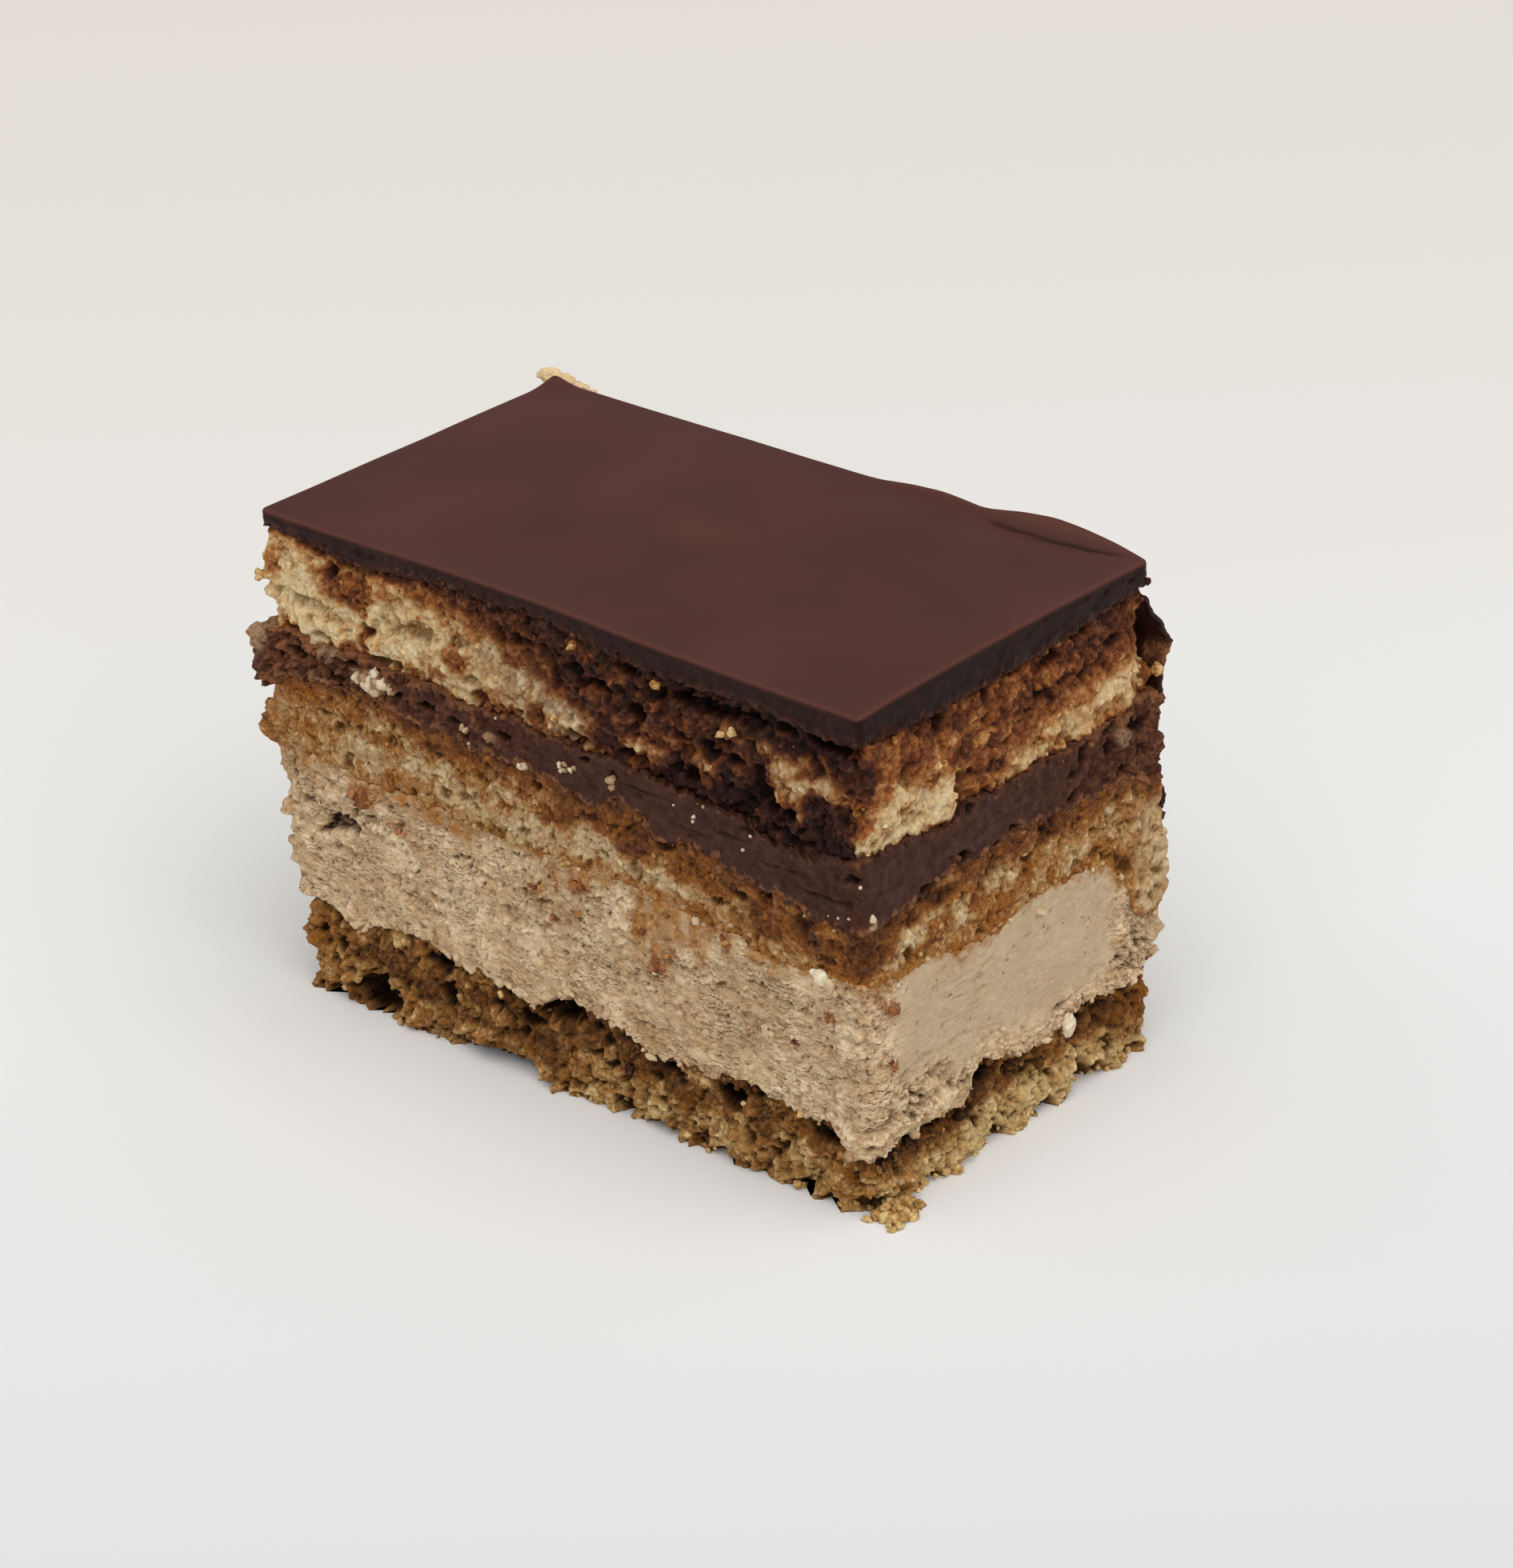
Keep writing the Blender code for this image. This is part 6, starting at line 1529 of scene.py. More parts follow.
def ganache_look():
    m = Look("ganache")
    n1 = m.noise(1.2, 4, 0.6, seed=5)
    col = m.ramp(n1, [(0.30, c(45, 23, 18)), (0.5, c(57, 35, 28)), (0.72, c(70, 45, 37))])
    rough = m.attr("crumb")
    own = m.ramp(m.noise(0.7, 3, seed=7), [(0.32, c(42, 17, 10)), (0.52, c(66, 33, 21)), (0.72, c(98, 57, 37))])
    col = m.mix(m.math("MULTIPLY", rough, 0.85, clamp=True), col, own)
    # painted highlight on the crests of the relief
    col = m.mix(m.math("MULTIPLY", m.attr("crest"), 0.22, clamp=True), col, c(112, 74, 54))
    tan = m.math("ADD", m.attr("tone"), m.fit(m.noise(0.55, 3, seed=16), 0.3, 0.7, -0.22, 0.22))
    col = m.mix(m.fit(tan, 0.38, 0.98, 0.0, 0.85), col, c(126, 82, 52))
    col = m.mix(m.math("MULTIPLY", m.attr("pale"), 0.90, clamp=True), col,
                m.ramp(m.noise(0.6, 3, seed=11), [(0.35, c(118, 88, 62)), (0.6, c(178, 150, 118))]))
    # painted shade in holes, pocks, knife streaks and crevices
    col = m.mix(m.math("MULTIPLY", m.attr("cav"), 0.9, clamp=True), col, (0.0030, 0.0014, 0.0010, 1))
    m.put("Base Color", col)
    m.put("Roughness", m.fit(m.attr("wet"), 0.0, 1.0, 0.58, 0.34))
    m.put("Specular IOR Level", 0.06)
    h = m.math("ADD", m.noise(0.55, 4, 0.62, seed=23), m.math("MULTIPLY", m.noise(2.0, 2, stretch=(1, 1, 4), seed=2), 0.8))
    m.bump(h, 0.55, 0.16)
    return m.mat


def glaze_look():
    m = Look("chocolate_glaze")
    n1 = m.noise(14.0, 2, 0.5, seed=6)
    top = m.ramp(n1, [(0.35, lin(79, 47, 42)), (0.65, lin(85, 51, 46))])
    side = m.ramp(m.noise(1.4, 4, 0.6, seed=8), [(0.3, c(28, 11, 8)), (0.55, c(36, 17, 12)), (0.75, c(50, 26, 19))])
    up = m.attr("up")
    # painted shade: the right cut side gets a darker copy of the side colour
    side = m.mix(m.math("MULTIPLY", m.attr("short"), 0.9, clamp=True), side,
                 m.ramp(m.noise(1.4, 4, 0.6, seed=8), [(0.3, c(20, 5, 2)), (0.55, c(28, 9, 5)), (0.75, c(40, 16, 10))]))
    low = m.ramp(m.noise(0.6, 3, seed=43), [(0.35, c(48, 20, 10)), (0.55, c(78, 42, 28)), (0.7, c(112, 70, 50))])
    side = m.mix(m.math("MULTIPLY", m.attr("crumb"), 0.75, clamp=True), side, low)
    # the top's own colour is lighter than the cut side's; part of that lightness stands in for the room's sheen on the
    # glaze, a painted reflection
    col = m.mix(up, side, top)
    # painted highlight along the top arris and on the face of the turned-up lip
    col = m.mix(m.math("MULTIPLY", m.attr("arris"), 0.50, clamp=True), col, lin(98, 58, 47))
    col = m.mix(m.math("MULTIPLY", m.attr("lipface"), 0.5, clamp=True), col, lin(100, 63, 48))
    # painted shade in the pocks, near the bottom rim and in the lip's crease
    col = m.mix(m.math("MULTIPLY", m.attr("cav"), 0.7, clamp=True), col, (0.0036, 0.0017, 0.0012, 1))
    col = m.mix(m.math("MULTIPLY", m.attr("groove"), 0.85, clamp=True), col, (0.006, 0.003, 0.0025, 1))
    m.put("Base Color", col)
    m.put("Roughness", m.fit(up, 0.0, 1.0, 0.50, 0.34))
    m.put("Specular IOR Level", 0.10)
    h = m.math("ADD", m.math("MULTIPLY", m.noise(0.6, 4, 0.6, seed=25), m.fit(up, 0.0, 0.6, 1.0, 0.04)),
               m.math("MULTIPLY", m.noise(0.13, 1, 0.5, seed=26), 0.10))
    m.bump(h, 0.45, 0.10)
    return m.mat


def crumb_look(name, stops, rough=0.62, ss=0.1):
    m = Look(name)
    own = m.attr("own")
    t = m.math("ADD", own, m.fit(m.noise(0.40, 3, 0.6, seed=31), 0.3, 0.7, -0.25, 0.25), clamp=True)
    m.put("Base Color", m.ramp(t, stops))
    m.put("Roughness", rough)
    m.put("Specular IOR Level", 0.12)
    if ss:
        m.flesh(ss, (1.0, 0.55, 0.3), 0.8)
    m.bump(m.noise(0.28, 3, 0.65, seed=32), 0.9, 0.14)
    return m.mat


TOP_STOPS = [(0.00, c(206, 182, 140)), (0.12, c(194, 163, 116)), (0.25, c(174, 131, 80)),
             (0.38, c(152, 99, 52)), (0.50, c(128, 73, 35)), (0.62, c(98, 52, 26)), (0.76, c(70, 35, 21)),
             (0.88, c(52, 26, 18)), (1.00, c(34, 15, 11))]
# painted shade: colours that the hollows of each sponge are darkened towards
TOP_HOLLOW_SHADE = [(0.0, c(122, 104, 60)), (0.25, c(102, 70, 30)), (0.45, c(64, 28, 8)), (0.70, c(24, 8, 3)),
              (1.0, c(6, 2, 1))]
MID_STOPS = [(0.00, c(192, 168, 128)), (0.14, c(172, 142, 98)), (0.28, c(152, 112, 66)),
             (0.42, c(130, 84, 42)), (0.56, c(108, 63, 30)), (0.70, c(82, 45, 24)),
             (0.86, c(58, 28, 17)), (1.00, c(38, 17, 12))]
MID_HOLLOW_SHADE = [(0.0, c(104, 80, 36)), (0.25, c(78, 46, 10)), (0.5, c(44, 19, 4)), (0.75, c(24, 9, 3)),
              (1.0, c(7, 2, 1))]
LOW_STOPS = [(0.00, c(192, 164, 112)), (0.16, c(168, 134, 83)), (0.32, c(144, 106, 60)),
             (0.48, c(115, 79, 40)), (0.62, c(84, 53, 24)), (0.78, c(56, 32, 14)),
             (1.00, c(30, 15, 6))]
LOW_HOLLOW_SHADE = [(0.0, c(78, 54, 20)), (0.3, c(46, 26, 6)), (0.6, c(18, 8, 2)), (1.0, c(3, 1, 0))]

# =============================================================== build the six layers
pieces = {}


def place(w, mat, slot, **kw):
    ob = build(w, **kw)
    ob.data.materials.append(mat)
    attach(ob, "root")
    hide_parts(w.name)
    pieces[w.name] = ob
    return ob


w_bottom = make_sponge_bottom()
place(w_bottom, sponge_look("soaked_sponge", LOW_STOPS, LOW_HOLLOW_SHADE, c(166, 140, 102), (c(156, 98, 30), c(114, 64, 12)),
                            0.6, 1.0, 0.10, 0.8), "soaked_sponge")
w_cream = make_buttercream()
place(w_cream, cream_look(), "coffee_buttercream")
w_middle = make_sponge_middle()
place(w_middle, sponge_look("middle_sponge", MID_STOPS, MID_HOLLOW_SHADE, c(194, 180, 148), (c(158, 98, 30), c(106, 54, 8)),
                            0.6, 0.95, 0.15, 0.8), "middle_sponge")
w_gan = make_ganache()
place(w_gan, ganache_look(), "ganache")
w_top = make_sponge_top()
place(w_top, sponge_look("top_sponge", TOP_STOPS, TOP_HOLLOW_SHADE, c(200, 188, 158), None, 0.35, 0.95, 0.22, 0.55), "top_sponge")

w_glaze = make_glaze()
glaze_rings = [0.003, 0.008, 0.015, 0.023, 0.031, 0.038, 0.044, 0.050, 0.056, 0.062,
               0.069, 0.080, 0.096, 0.12, 0.16, 0.22, 0.30, 0.40, 0.52, 0.66, 0.82]
edge = w_glaze.Q.reshape(w_glaze.cols, w_glaze.rows + 1, 3)[:, -1]
gx = np.concatenate([edge[:, 0] * (1 - f) for f in glaze_rings])
gy = np.concatenate([edge[:, 1] * (1 - f) + 0.5 * f for f in glaze_rings])
rise, groove, lip_high, lip_t = lip_shape(gx, gy)
w_glaze.top_up = np.ones(len(gx))
# painted shade in the lip's crease, painted highlight on its face and on the top's first rings by the arris
w_glaze.top_groove = groove
w_glaze.top_lipface = np.clip(lip_high * smooth(0.45, 1.0, lip_t), 0, 1)
w_glaze.top_arris = np.concatenate([np.full(w_glaze.cols, a) for a in
                                    [0.5, 0.25] + [0.0] * (len(glaze_rings) - 2)])
w_glaze.top_cav = np.zeros(len(gx))
w_glaze.top_crumb = np.zeros(len(gx))
w_glaze.top_short = np.zeros(len(gx))
place(w_glaze, glaze_look(), "chocolate_glaze", top_rings=glaze_rings, top_z=w_glaze.top_z)


# =============================================================== crumbs and small bits
def ball(sub):
    bm = bmesh.new()
    bmesh.ops.create_icosphere(bm, subdivisions=sub, radius=1.0)
    v = np.array([q.co[:] for q in bm.verts])
    f = np.array([[q.index for q in p.verts] for p in bm.faces])
    bm.free()
    return v, f


BALLS = {1: ball(1), 2: ball(2), 3: ball(3)}


def mesh_from(name, V, F, attrs, mat):
    me = bpy.data.meshes.new(name)
    me.from_pydata(((V - SHIFT) * MM).tolist(), [], F.tolist())
    me.polygons.foreach_set("use_smooth", np.ones(len(me.polygons), bool))
    for k, v in attrs.items():
        me.attributes.new(k, "FLOAT", "POINT").data.foreach_set("value", np.asarray(v, np.float32))
    me.materials.append(mat)
    ob = bpy.data.objects.new(name, me)
    bpy.context.scene.collection.objects.link(ob)
    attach(ob, "root")
    return ob


def crumbs(name, spec, mat, seed, rough=1.0):
    """spec: list of (centre, radius, own colour, squash xyz, level)."""
    rng = np.random.default_rng(seed)
    VV, FF, own, base = [], [], [], 0
    for cpos, r, o, sq, lv in spec:
        v, f = BALLS[lv]
        off = rng.uniform(-50, 50, 3)
        k = 1 + rough * (0.50 * perlin(v * 1.2 + off, 5) + 0.42 * perlin(v * 2.6 + off, 6)
                         + 0.22 * perlin(v * 5.0 + off, 7))
        p = v * np.maximum(k, 0.3)[:, None] * np.asarray(sq) * r
        a, b2 = rng.uniform(0, 6.283), rng.uniform(-0.5, 0.5)
        if lv == 2:
            rot = np.array(Matrix.Rotation(a, 3, "Z") @ Matrix.Rotation(b2, 3, "X"))
            p = p @ rot.T
        VV.append(p + np.asarray(cpos))
        FF.append(f + base)
        own.append(o + 0.16 * perlin(v * 1.8 + off, 8))
        base += len(v)
    V = np.concatenate(VV)
    V[:, 2] = np.maximum(V[:, 2], 0.0)
    return mesh_from(name, V, np.concatenate(FF), {"own": np.clip(np.concatenate(own), 0, 1)}, mat)


def nearest(w, p, out=0.0):
    """Point of a layer's side nearest to p, moved out by a little."""
    i = int(np.argmin(np.sum((w.Q - np.asarray(p, float)) ** 2, 1)))
    return w.Q[i] + w.N[i] * out


def on_wall(w, n, weight, rng, size, sink=0.35, own=None, level=2):
    """Crumbs stuck to a side, at places weighted by weight, coloured like their neighbours."""
    wt = np.clip(weight, 0, None)
    idx = rng.choice(len(w.Q), n, p=wt / wt.sum())
    out = []
    for i in idx:
        r = size * rng.lognormal(0, 0.32)
        p = w.Q[i] + w.N[i] * r * (0.5 - sink)
        o = w.attr["tone"][i] + rng.normal(-0.06, 0.09) if own is None else rng.uniform(*own)
        out.append((p, r, o, rng.uniform(0.6, 1.3, 3), level))
    return out


def seen(w):
    return 0.45 + 0.55 * np.clip(w.side["F"] + w.side["R"], 0, 1)


rng = np.random.default_rng(20)
N = 1.0

# loose crumbs on each sponge
spec = on_wall(w_top, int(120 * N), (0.5 + (w_top.attr["tone"] < 0.35)) * seen(w_top), rng, 0.27)
spec += [(nearest(w_top, (-41.0, -21.8, 47.2), .2), .7, .2, (1, .7, .9), 2),
         (nearest(w_top, (3.1, -22.2, 51.3), .1), .55, .32, (1.6, .7, .7), 2),
         (nearest(w_top, (14.7, -22.2, 50.1), .1), .55, .36, (1.2, .7, 1.0), 2),
         (nearest(w_top, (24.6, -22.2, 48.0), .1), .50, .12, (1.2, .7, .9), 2),
         (nearest(w_top, (23.2, -22.2, 47.7), .1), .42, .16, (1.2, .7, .9), 2),
         (nearest(w_top, (41, 25.4, 44.8), .35), .70, .28, (.9, .9, 1), 2),
         (nearest(w_top, (41, 25.6, 43.6), .35), .62, .34, (.8, .9, 1), 2),
         (nearest(w_top, (41, 25.0, 42.3), .25), .55, .40, (.8, .9, 1), 2)]
crumbs("crumbs_top", spec, crumb_look("crumb_top", TOP_STOPS), 31)
spec = on_wall(w_middle, int(90 * N), seen(w_middle), rng, 0.25)
spec += [((-41.6, -21.3, 30.9), .95, .40, (1, .8, .8), 2), ((-42.1, -20.9, 30.0), .65, .55, (1, .8, .9), 2),
         ((-41.9, -21.2, 32.2), .60, .35, (.9, .8, .8), 2)]
crumbs("crumbs_middle", spec, crumb_look("crumb_middle", MID_STOPS), 37)

# tufts at the foot of the bottom sponge and the clump that fell off the near corner
spec = on_wall(w_bottom, int(70 * N), (w_bottom.P[:, 2] < 8) * seen(w_bottom), rng, 0.27)
foot = (w_bottom.P[:, 2] < 1.8) * (0.25 + 0.75 * np.clip(w_bottom.side["R"], 0, 1) + 0.15 * np.clip(w_bottom.side["F"], 0, 1))
idx = rng.choice(len(w_bottom.Q), int(170 * N), p=foot / foot.sum())
for i in idx:
    r = rng.uniform(0.20, 0.42)
    p = w_bottom.Q[i] + w_bottom.N[i] * rng.uniform(-0.2, 0.25)
    p[2] = max(p[2] * rng.uniform(0.1, 1.0), r * 0.3)
    spec.append((p, r, w_bottom.attr["tone"][i] * 0.8 + rng.normal(0, 0.06), rng.uniform(0.6, 1.4, 3), 2 if r > .32 else 1))
for _ in range(int(60 * max(N, 0.6))):
    a = rng.normal(0, 1, 2)
    p = np.array([41.4 + 0.85 * a[0], -19.6 + 1.4 * a[1], 0.0])
    r = rng.uniform(0.3, 0.65)
    hgt = max(0, 1.4 - 0.5 * math.hypot(p[0] - 40.8, p[1] + 19.6))
    p[2] = r * 0.4 + rng.uniform(0, 1) * hgt
    spec.append((p, r, rng.uniform(0.0, 0.32), rng.uniform(0.65, 1.3, 3), 2))
spec += on_wall(w_bottom, int(130 * N), (w_bottom.below < 1.6) * seen(w_bottom), rng, 0.36, sink=0.2)
spec += [(nearest(w_bottom, (31.6, -22.4, 10.0), .1), .40, .02, (1.1, .7, .9), 2),
         (nearest(w_bottom, (24.2, -22.4, 7.8), .1), .34, .04, (1.1, .7, .9), 2),
         (nearest(w_bottom, (32.0, -22.4, 6.6), .1), .34, .04, (1.1, .7, .9), 2),
         (nearest(w_bottom, (-9.2, -22.4, 9.4), .1), .42, .08, (1.3, .7, .9), 2)]
crumbs("crumbs_bottom", spec, crumb_look("crumb_soaked", LOW_STOPS), 35)

# chocolate crumbs at the joints of the ganache and under the glaze
spec = on_wall(w_gan, int(80 * N), (0.10 + w_gan.attr["crumb"]) * (np.minimum(w_gan.above, w_gan.below) < 1.2)
               * seen(w_gan), rng, 0.26, own=(0.2, 1.0))
spec += on_wall(w_glaze, int(36 * N), (w_glaze.above < 0.5) * w_glaze.attr["crumb"], rng, 0.24, own=(0.1, .8))
spec += [(nearest(w_glaze, (40.6, 24.0, 52.4), .2), .40, .3, (1, .8, .8), 2),
         (nearest(w_glaze, (40.6, 24.0, 51.6), .2), .45, .4, (1, .9, .8), 2)]
spec += [((39.2 + dx, 25.2 + dy, 27.0 + dz), r, o, (1, .9, 1.0), 2)
         for dx, dy, dz, r, o in [(0, -.6, -.7, .75, .3), (.4, -.2, .1, .7, .2), (0, .1, .9, .6, .3), (.6, -.5, -1.5, .55, .5)]]
choc_crumb = crumb_look("crumb_chocolate", [(0.0, c(36, 16, 11)), (0.4, c(56, 28, 18)), (0.7, c(82, 48, 32)),
                                            (1.0, c(124, 82, 52))], 0.55, 0.0)
crumbs("crumbs_chocolate", spec, choc_crumb, 32)

# brown coffee-soaked crumbs caught in the cream
spec = []
for side, u, z, n, r, sp in [("F", 2.8, 25.0, 4, .40, .9), ("F", -3.2, 22.8, 3, .36, .8), ("F", -0.6, 24.6, 2, .34, .7),
                             ("F", -0.7, 20.2, 1, .40, .2), ("F", 2.6, 22.0, 1, .34, .2), ("F", 22.5, 25.2, 2, .46, .4),
                             ("F", 35.6, 21.3, 2, .42, .3), ("F", 30.9, 16.8, 1, .36, .2), ("F", 13.0, 19.3, 3, .40, .7),
                             ("F", 10.4, 22.6, 2, .38, .7), ("F", -27.7, 25.8, 12, .62, 1.3), ("R", -18.3, 22.0, 2, .40, .6),
                             ("R", -18.6, 16.2, 2, .36, .6), ("F", -22.4, 23.4, 3, .32, 1.0), ("F", 14.6, 21.2, 1, .34, .3),
                             ("B", -20, 22, 3, .4, 1.2), ("B", 12, 18, 2, .4, 1.0), ("L", 4, 24, 3, .4, 1.2)]:
    for _ in range(n):
        uu, zz = u + rng.normal(0, sp * 0.55), z + rng.normal(0, sp * 0.35)
        p = nearest(w_cream, on_side(side, uu, zz), 0.06)
        spec.append((p, r * rng.uniform(0.7, 1.15), rng.uniform(0, .9), rng.uniform(0.6, 1.3, 3), 2))
red_mat = crumb_look("crumb_coffee", [(0.0, c(86, 46, 26)), (0.4, c(124, 76, 42)), (0.75, c(156, 104, 60)), (1.0, c(184, 138, 92))], 0.5, 0.08)
crumbs("crumbs_coffee", spec, red_mat, 33)

# torn-off bits of the cream itself, along its rims and in the torn places
spec = on_wall(w_cream, int(210 * N), ((w_cream.above < 0.9) * 1.3 + (w_cream.below < 0.6) * 0.4 + 0.03)
               * (1 - 0.6 * w_cream.attr["even"]) * seen(w_cream), rng, 0.27, own=(0.0, 1.0))
crumbs("crumbs_cream", spec, crumb_look("crumb_cream_bits", [(0.0, c(140, 108, 74)), (0.5, c(172, 144, 112)),
                                                            (1.0, c(196, 172, 142))], 0.55, 0.1),
       39)

# white sugar and almond specks on the ganache
spec = []
for side, u, z, r in [("F", 1.2, 38.1, .34), ("F", 2.0, 38.3, .32), ("F", 2.6, 37.8, .30), ("F", 1.8, 37.6, .28),
                      ("F", 8.2, 38.4, .42), ("F", 8.3, 37.6, .48), ("F", 3.2, 38.2, .34), ("F", 1.4, 37.4, .30), ("F", 19.1, 37.8, .20),
                      ("F", 18.9, 37.2, .22), ("F", 20.3, 39.3, .14), ("F", -11.5, 36.7, .24), ("F", -11.4, 36.2, .18),
                      ("F", -3.8, 36.2, .52), ("F", -4.2, 35.5, .40), ("F", -12.6, 38.0, .40), ("F", -11.8, 37.7, .36), ("F", -7.5, 40.4, .2),
                      ("F", 25.2, 36.0, .24), ("F", 26.2, 38.0, .14), ("F", 16.4, 38.2, .12), ("F", 38.6, 33.0, .18),
                      ("F", 37.0, 32.5, .12), ("F", 36.0, 32.4, .12), ("F", 40.1, 36.9, .16), ("R", -20.9, 33.0, .32),
                      ("R", -21.0, 32.0, .22), ("B", 10, 38, .3), ("B", -12, 37.5, .35), ("L", -4, 38.5, .3),
                      ("L", 8, 37.8, .25), ("B", 25, 36, .25)]:
    spec.append((nearest(w_gan, on_side(side, u, z), 0.04), r, rng.uniform(0.2, 1), rng.uniform(0.7, 1.3, 3), 2))
for side, u, z, r, o in [("F", -8.4, 38.2, .62, 0.0), ("F", -23.4, 39.7, .72, .9), ("F", -25.4, 39.7, .85, .95),
                         ("F", -26.8, 39.5, .55, .8), ("F", -24.4, 38.9, .6, .7), ("F", -22.4, 39.5, .5, .5),
                         ("F", -24.6, 40.3, .55, .9), ("F", -26.0, 39.0, .5, .6), ("F", -41.7, 40.2, .9, .15),
                         ("F", -42.0, 39.6, .6, .3)]:
    spec.append((nearest(w_gan, on_side(side, u, z), -0.12), r, o, rng.uniform(0.75, 1.3, 3), 2))
white_mat = crumb_look("crumb_sugar", [(0.0, c(124, 90, 62)), (0.4, c(162, 132, 102)), (0.8, c(190, 166, 136)),
                                       (1.0, c(204, 188, 164))], 0.45, 0.1)
crumbs("crumbs_sugar", spec, white_mat, 34)

# cream crumbs thrown up behind the far left corner
spec = [((-41.2, 22.4, 55.0), 1.05, .15, (1.5, .9, .75), 3), ((-39.4, 22.7, 54.8), .95, .3, (1.7, .9, .65), 3),
        ((-37.4, 22.8, 54.5), .80, .2, (1.7, .8, .55), 3), ((-35.6, 22.7, 54.3), .55, .4, (1.6, .8, .5), 3),
        ((-40.2, 22.6, 54.0), .9, .4, (1.6, .9, .6), 2)]
crumbs("crumbs_corner", spec, crumb_look("crumb_cream", [(0.0, c(208, 184, 142)), (1.0, c(160, 122, 80))]),
       36, 0.8)

# blanched almond piece in the short side and flat cream chips on the long side
almond_at = nearest(w_cream, (HX, 9.0, 7.9), 0.0)
spec = [((almond_at[0] - 0.05, 9.0, 8.1), 0.98, 0.66, (0.55, 1.18, 1.40), 3)]
for u, z, r, sq in [(18.4, 11.2, .80, (1.9, .45, .60)), (27.3, 17.1, .50, (.9, .5, 1.6)), (28.2, 16.8, .38, (1, .5, .9)),
                    (34.8, 26.0, .85, (1.1, .6, 1.1)), (35.8, 25.0, .62, (1.0, .6, 1.2)), (34.0, 26.9, .50, (1, .6, .8)),
                    (36.4, 24.0, .40, (.8, .6, 1.1))]:
    spec.append((nearest(w_cream, (u, -HY, z), 0.10), r, 0.78 if z > 25 else 0.4, sq, 3))
crumbs("almond_and_chips", spec,
       crumb_look("almond", [(0.0, c(166, 138, 100)), (0.5, c(190, 166, 130)), (1.0, c(228, 216, 194))], 0.42, 0.15),
       38, 0.45)

# a torn flap of chocolate standing off the back at the right-hand edge
nu, nv = 24, 30
uu = np.linspace(0, 1, nu)
vv = np.linspace(0, 1, nv)
prof = np.array([(51.0, 21.6), (49.7, 22.2), (48.4, 23.0), (47.2, 24.0), (46.2, 24.7), (45.4, 25.3), (44.5, 25.6),
                 (43.4, 25.3), (42.2, 24.8), (41.0, 24.3), (39.8, 23.8)])
pv = np.linspace(0, 1, len(prof))
sides = []
for half in (0.26, -0.26):
    G = np.zeros((nu, nv, 3))
    for a, u in enumerate(uu):
        fade = 1 - smooth(0.25, 1.0, u)
        G[a, :, 0] = 40.3 - 8.5 * u
        G[a, :, 1] = 22.6 + (np.interp(vv, pv, prof[:, 1]) - 22.6) * fade
        G[a, :, 2] = np.interp(vv, pv, prof[:, 0])
    q = G.reshape(-1, 3)
    wob = 0.30 * perlin(q / 1.5, 1301) + 0.22 * perlin(q / 0.6, 1302)
    q = q + np.array([0.0, 1.0, 0.2]) * wob[:, None]
    q[:, 0] += 0.50 * perlin(q / 1.3, 1303) + 0.3 * perlin(q / 0.5, 1304)
    q[:, 1] += half
    sides.append(q)
V = np.concatenate(sides)
F = []
idx = np.arange(nu * nv).reshape(nu, nv)
n0 = nu * nv
for a in range(nu - 1):
    for b in range(nv - 1):
        F.append((idx[a, b], idx[a, b + 1], idx[a + 1, b + 1], idx[a + 1, b]))
        F.append((n0 + idx[a, b], n0 + idx[a + 1, b], n0 + idx[a + 1, b + 1], n0 + idx[a, b + 1]))
for a in range(nu - 1):
    for b in (0, nv - 1):
        F.append((idx[a, b], idx[a + 1, b], n0 + idx[a + 1, b], n0 + idx[a, b]))
for b in range(nv - 1):
    for a in (0, nu - 1):
        F.append((idx[a, b], idx[a, b + 1], n0 + idx[a, b + 1], n0 + idx[a, b]))
flap = mesh_from("chocolate_flap", V, np.array(F),
                 {"own": np.clip(0.05 + 0.95 * np.exp(-((V[:, 2] - 43.4) / 1.5) ** 2) * (V[:, 0] > 37.5), 0, 1)},
                 choc_crumb)
bm = bmesh.new()
bm.from_mesh(flap.data)
bmesh.ops.recalc_face_normals(bm, faces=bm.faces)
bm.to_mesh(flap.data)
bm.free()

# =============================================================== stage, light and camera
floor_mat = bpy.data.materials.new("paper")
floor_mat.use_nodes = True
ft = floor_mat.node_tree
fb = ft.nodes["Principled BSDF"]
geo = ft.nodes.new("ShaderNodeNewGeometry")
along = ft.nodes.new("ShaderNodeVectorMath")
along.operation = "DOT_PRODUCT"
ft.links.new(geo.outputs["Position"], along.inputs[0])
along.inputs[1].default_value = (-0.676, 0.737, 0.0)
span = ft.nodes.new("ShaderNodeMapRange")
ft.links.new(along.outputs["Value"], span.inputs["Value"])
span.inputs["From Min"].default_value = -0.20
span.inputs["From Max"].default_value = 0.40
# painted light and shade: the paper's colour is graded along the view, lightest just behind the cake, greyer towards
# the camera and darker and warmer far behind
shades = ft.nodes.new("ShaderNodeValToRGB")
cr = shades.color_ramp
cr.elements[0].position = 0.0
cr.elements[0].color = (0.640, 0.633, 0.628, 1)
cr.elements[1].position = 1.0
cr.elements[1].color = (0.755, 0.708, 0.655, 1)
for p, col in ((0.23, (0.824, 0.818, 0.808, 1)), (0.36, (0.880, 0.873, 0.859, 1)), (0.62, (0.800, 0.765, 0.720, 1))):
    e = cr.elements.new(p)
    e.color = col
ft.links.new(span.outputs[0], shades.inputs["Fac"])
ft.links.new(shades.outputs["Color"], fb.inputs["Base Color"])
fb.inputs["Roughness"].default_value = 0.9
fb.inputs["Specular IOR Level"].default_value = 0.1
fm = bpy.data.meshes.new("paper")
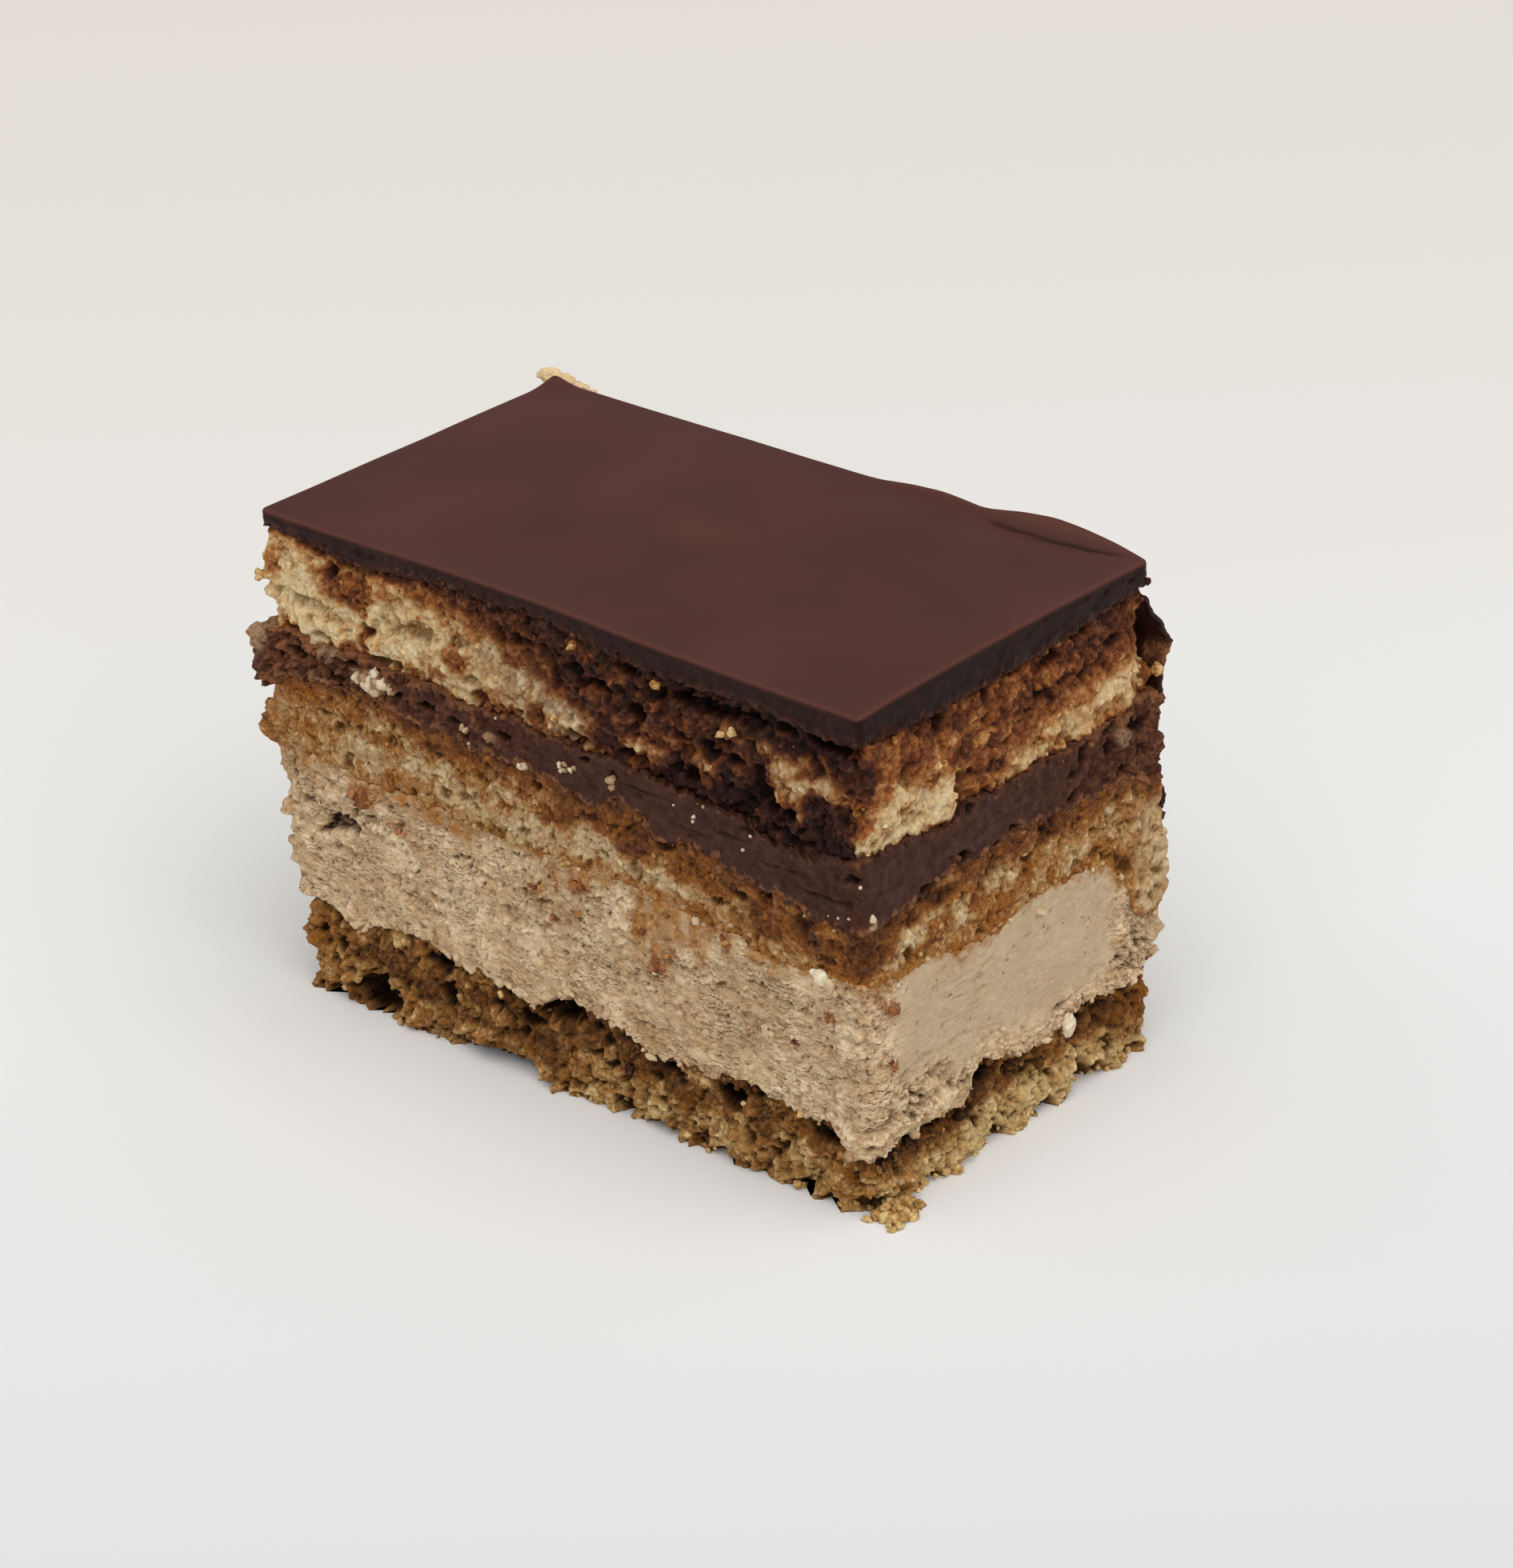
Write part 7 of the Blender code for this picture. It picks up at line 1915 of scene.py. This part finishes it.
fm.from_pydata([(-3, -3, 0), (3, -3, 0), (3, 3, 0), (-3, 3, 0)], [], [(0, 1, 2, 3)])
fm.materials.append(floor_mat)
floor = bpy.data.objects.new("paper", fm)
bpy.context.scene.collection.objects.link(floor)


sun = bpy.data.lights.new("window", "SUN")
sun.energy = 1.30
sun.angle = math.radians(75)
sun.color = (1.0, 0.985, 0.96)
sun_ob = bpy.data.objects.new("window", sun)
sun_ob.rotation_euler = Vector((0.42, -0.22, 0.86)).to_track_quat("Z", "Y").to_euler()
bpy.context.scene.collection.objects.link(sun_ob)

world = bpy.data.worlds.new("soft_room")
world.use_nodes = True
bpy.context.scene.world = world
wt = world.node_tree
bg = wt.nodes["Background"]
tc = wt.nodes.new("ShaderNodeTexCoord")
sep = wt.nodes.new("ShaderNodeSeparateXYZ")
wt.links.new(tc.outputs["Generated"], sep.inputs[0])
high = wt.nodes.new("ShaderNodeMapRange")
wt.links.new(sep.outputs["Z"], high.inputs["Value"])
high.inputs["From Min"].default_value = 0.0
high.inputs["From Max"].default_value = 0.75
high.inputs["To Min"].default_value = 0.52
high.inputs["To Max"].default_value = 0.86
# the far side of the room, which the glaze mirrors, is dimmer
dot = wt.nodes.new("ShaderNodeVectorMath")
dot.operation = "DOT_PRODUCT"
wt.links.new(tc.outputs["Generated"], dot.inputs[0])
dot.inputs[1].default_value = (-0.606, 0.660, 0.444)
dim = wt.nodes.new("ShaderNodeMapRange")
wt.links.new(dot.outputs["Value"], dim.inputs["Value"])
dim.inputs["From Min"].default_value = 0.45
dim.inputs["From Max"].default_value = 0.95
dim.inputs["To Min"].default_value = 1.0
dim.inputs["To Max"].default_value = 0.30
mul = wt.nodes.new("ShaderNodeMath")
mul.operation = "MULTIPLY"
wt.links.new(high.outputs[0], mul.inputs[0])
wt.links.new(dim.outputs[0], mul.inputs[1])
wt.links.new(mul.outputs[0], bg.inputs["Strength"])
bg.inputs["Color"].default_value = (0.97, 0.985, 1.0, 1)

cam_data = bpy.data.cameras.new("camera")
cam = bpy.data.objects.new("camera", cam_data)
bpy.context.scene.collection.objects.link(cam)
cx_, cy_, cz_ = ((0.748759040, 0.661805466, -0.037059735), (-0.269280741, 0.354797451, 0.895324886),
                 (0.605679603, -0.660403129, 0.443869265))
loc = (np.array([302.8021, -322.3093, 245.5777]) - SHIFT) * MM
cam.matrix_world = Matrix([[cx_[0], cy_[0], cz_[0], loc[0]], [cx_[1], cy_[1], cz_[1], loc[1]],
                           [cx_[2], cy_[2], cz_[2], loc[2]], [0, 0, 0, 1]])
cam_data.sensor_width = 36.0
cam_data.sensor_fit = "AUTO"
cam_data.lens = 110.204
cam_data.clip_start = 0.01
cam_data.clip_end = 20
bpy.context.scene.camera = cam

vs = bpy.context.scene.view_settings
vs.view_transform = "Standard"
vs.look = "None"
vs.exposure = 0.0
vs.gamma = 1.0

# =============================================================== bounds of the cake's pieces
lo = np.full(3, 1e9)
hi = np.full(3, -1e9)
for ob in bpy.context.scene.objects:
    if ob.type == "MESH" and ob is not floor and (ob.name in pieces or ob.name.startswith(("crumbs", "almond", "chocolate"))):
        co = np.zeros(len(ob.data.vertices) * 3, np.float32)
        ob.data.vertices.foreach_get("co", co)
        co = co.reshape(-1, 3)
        lo = np.minimum(lo, co.min(0))
        hi = np.maximum(hi, co.max(0))
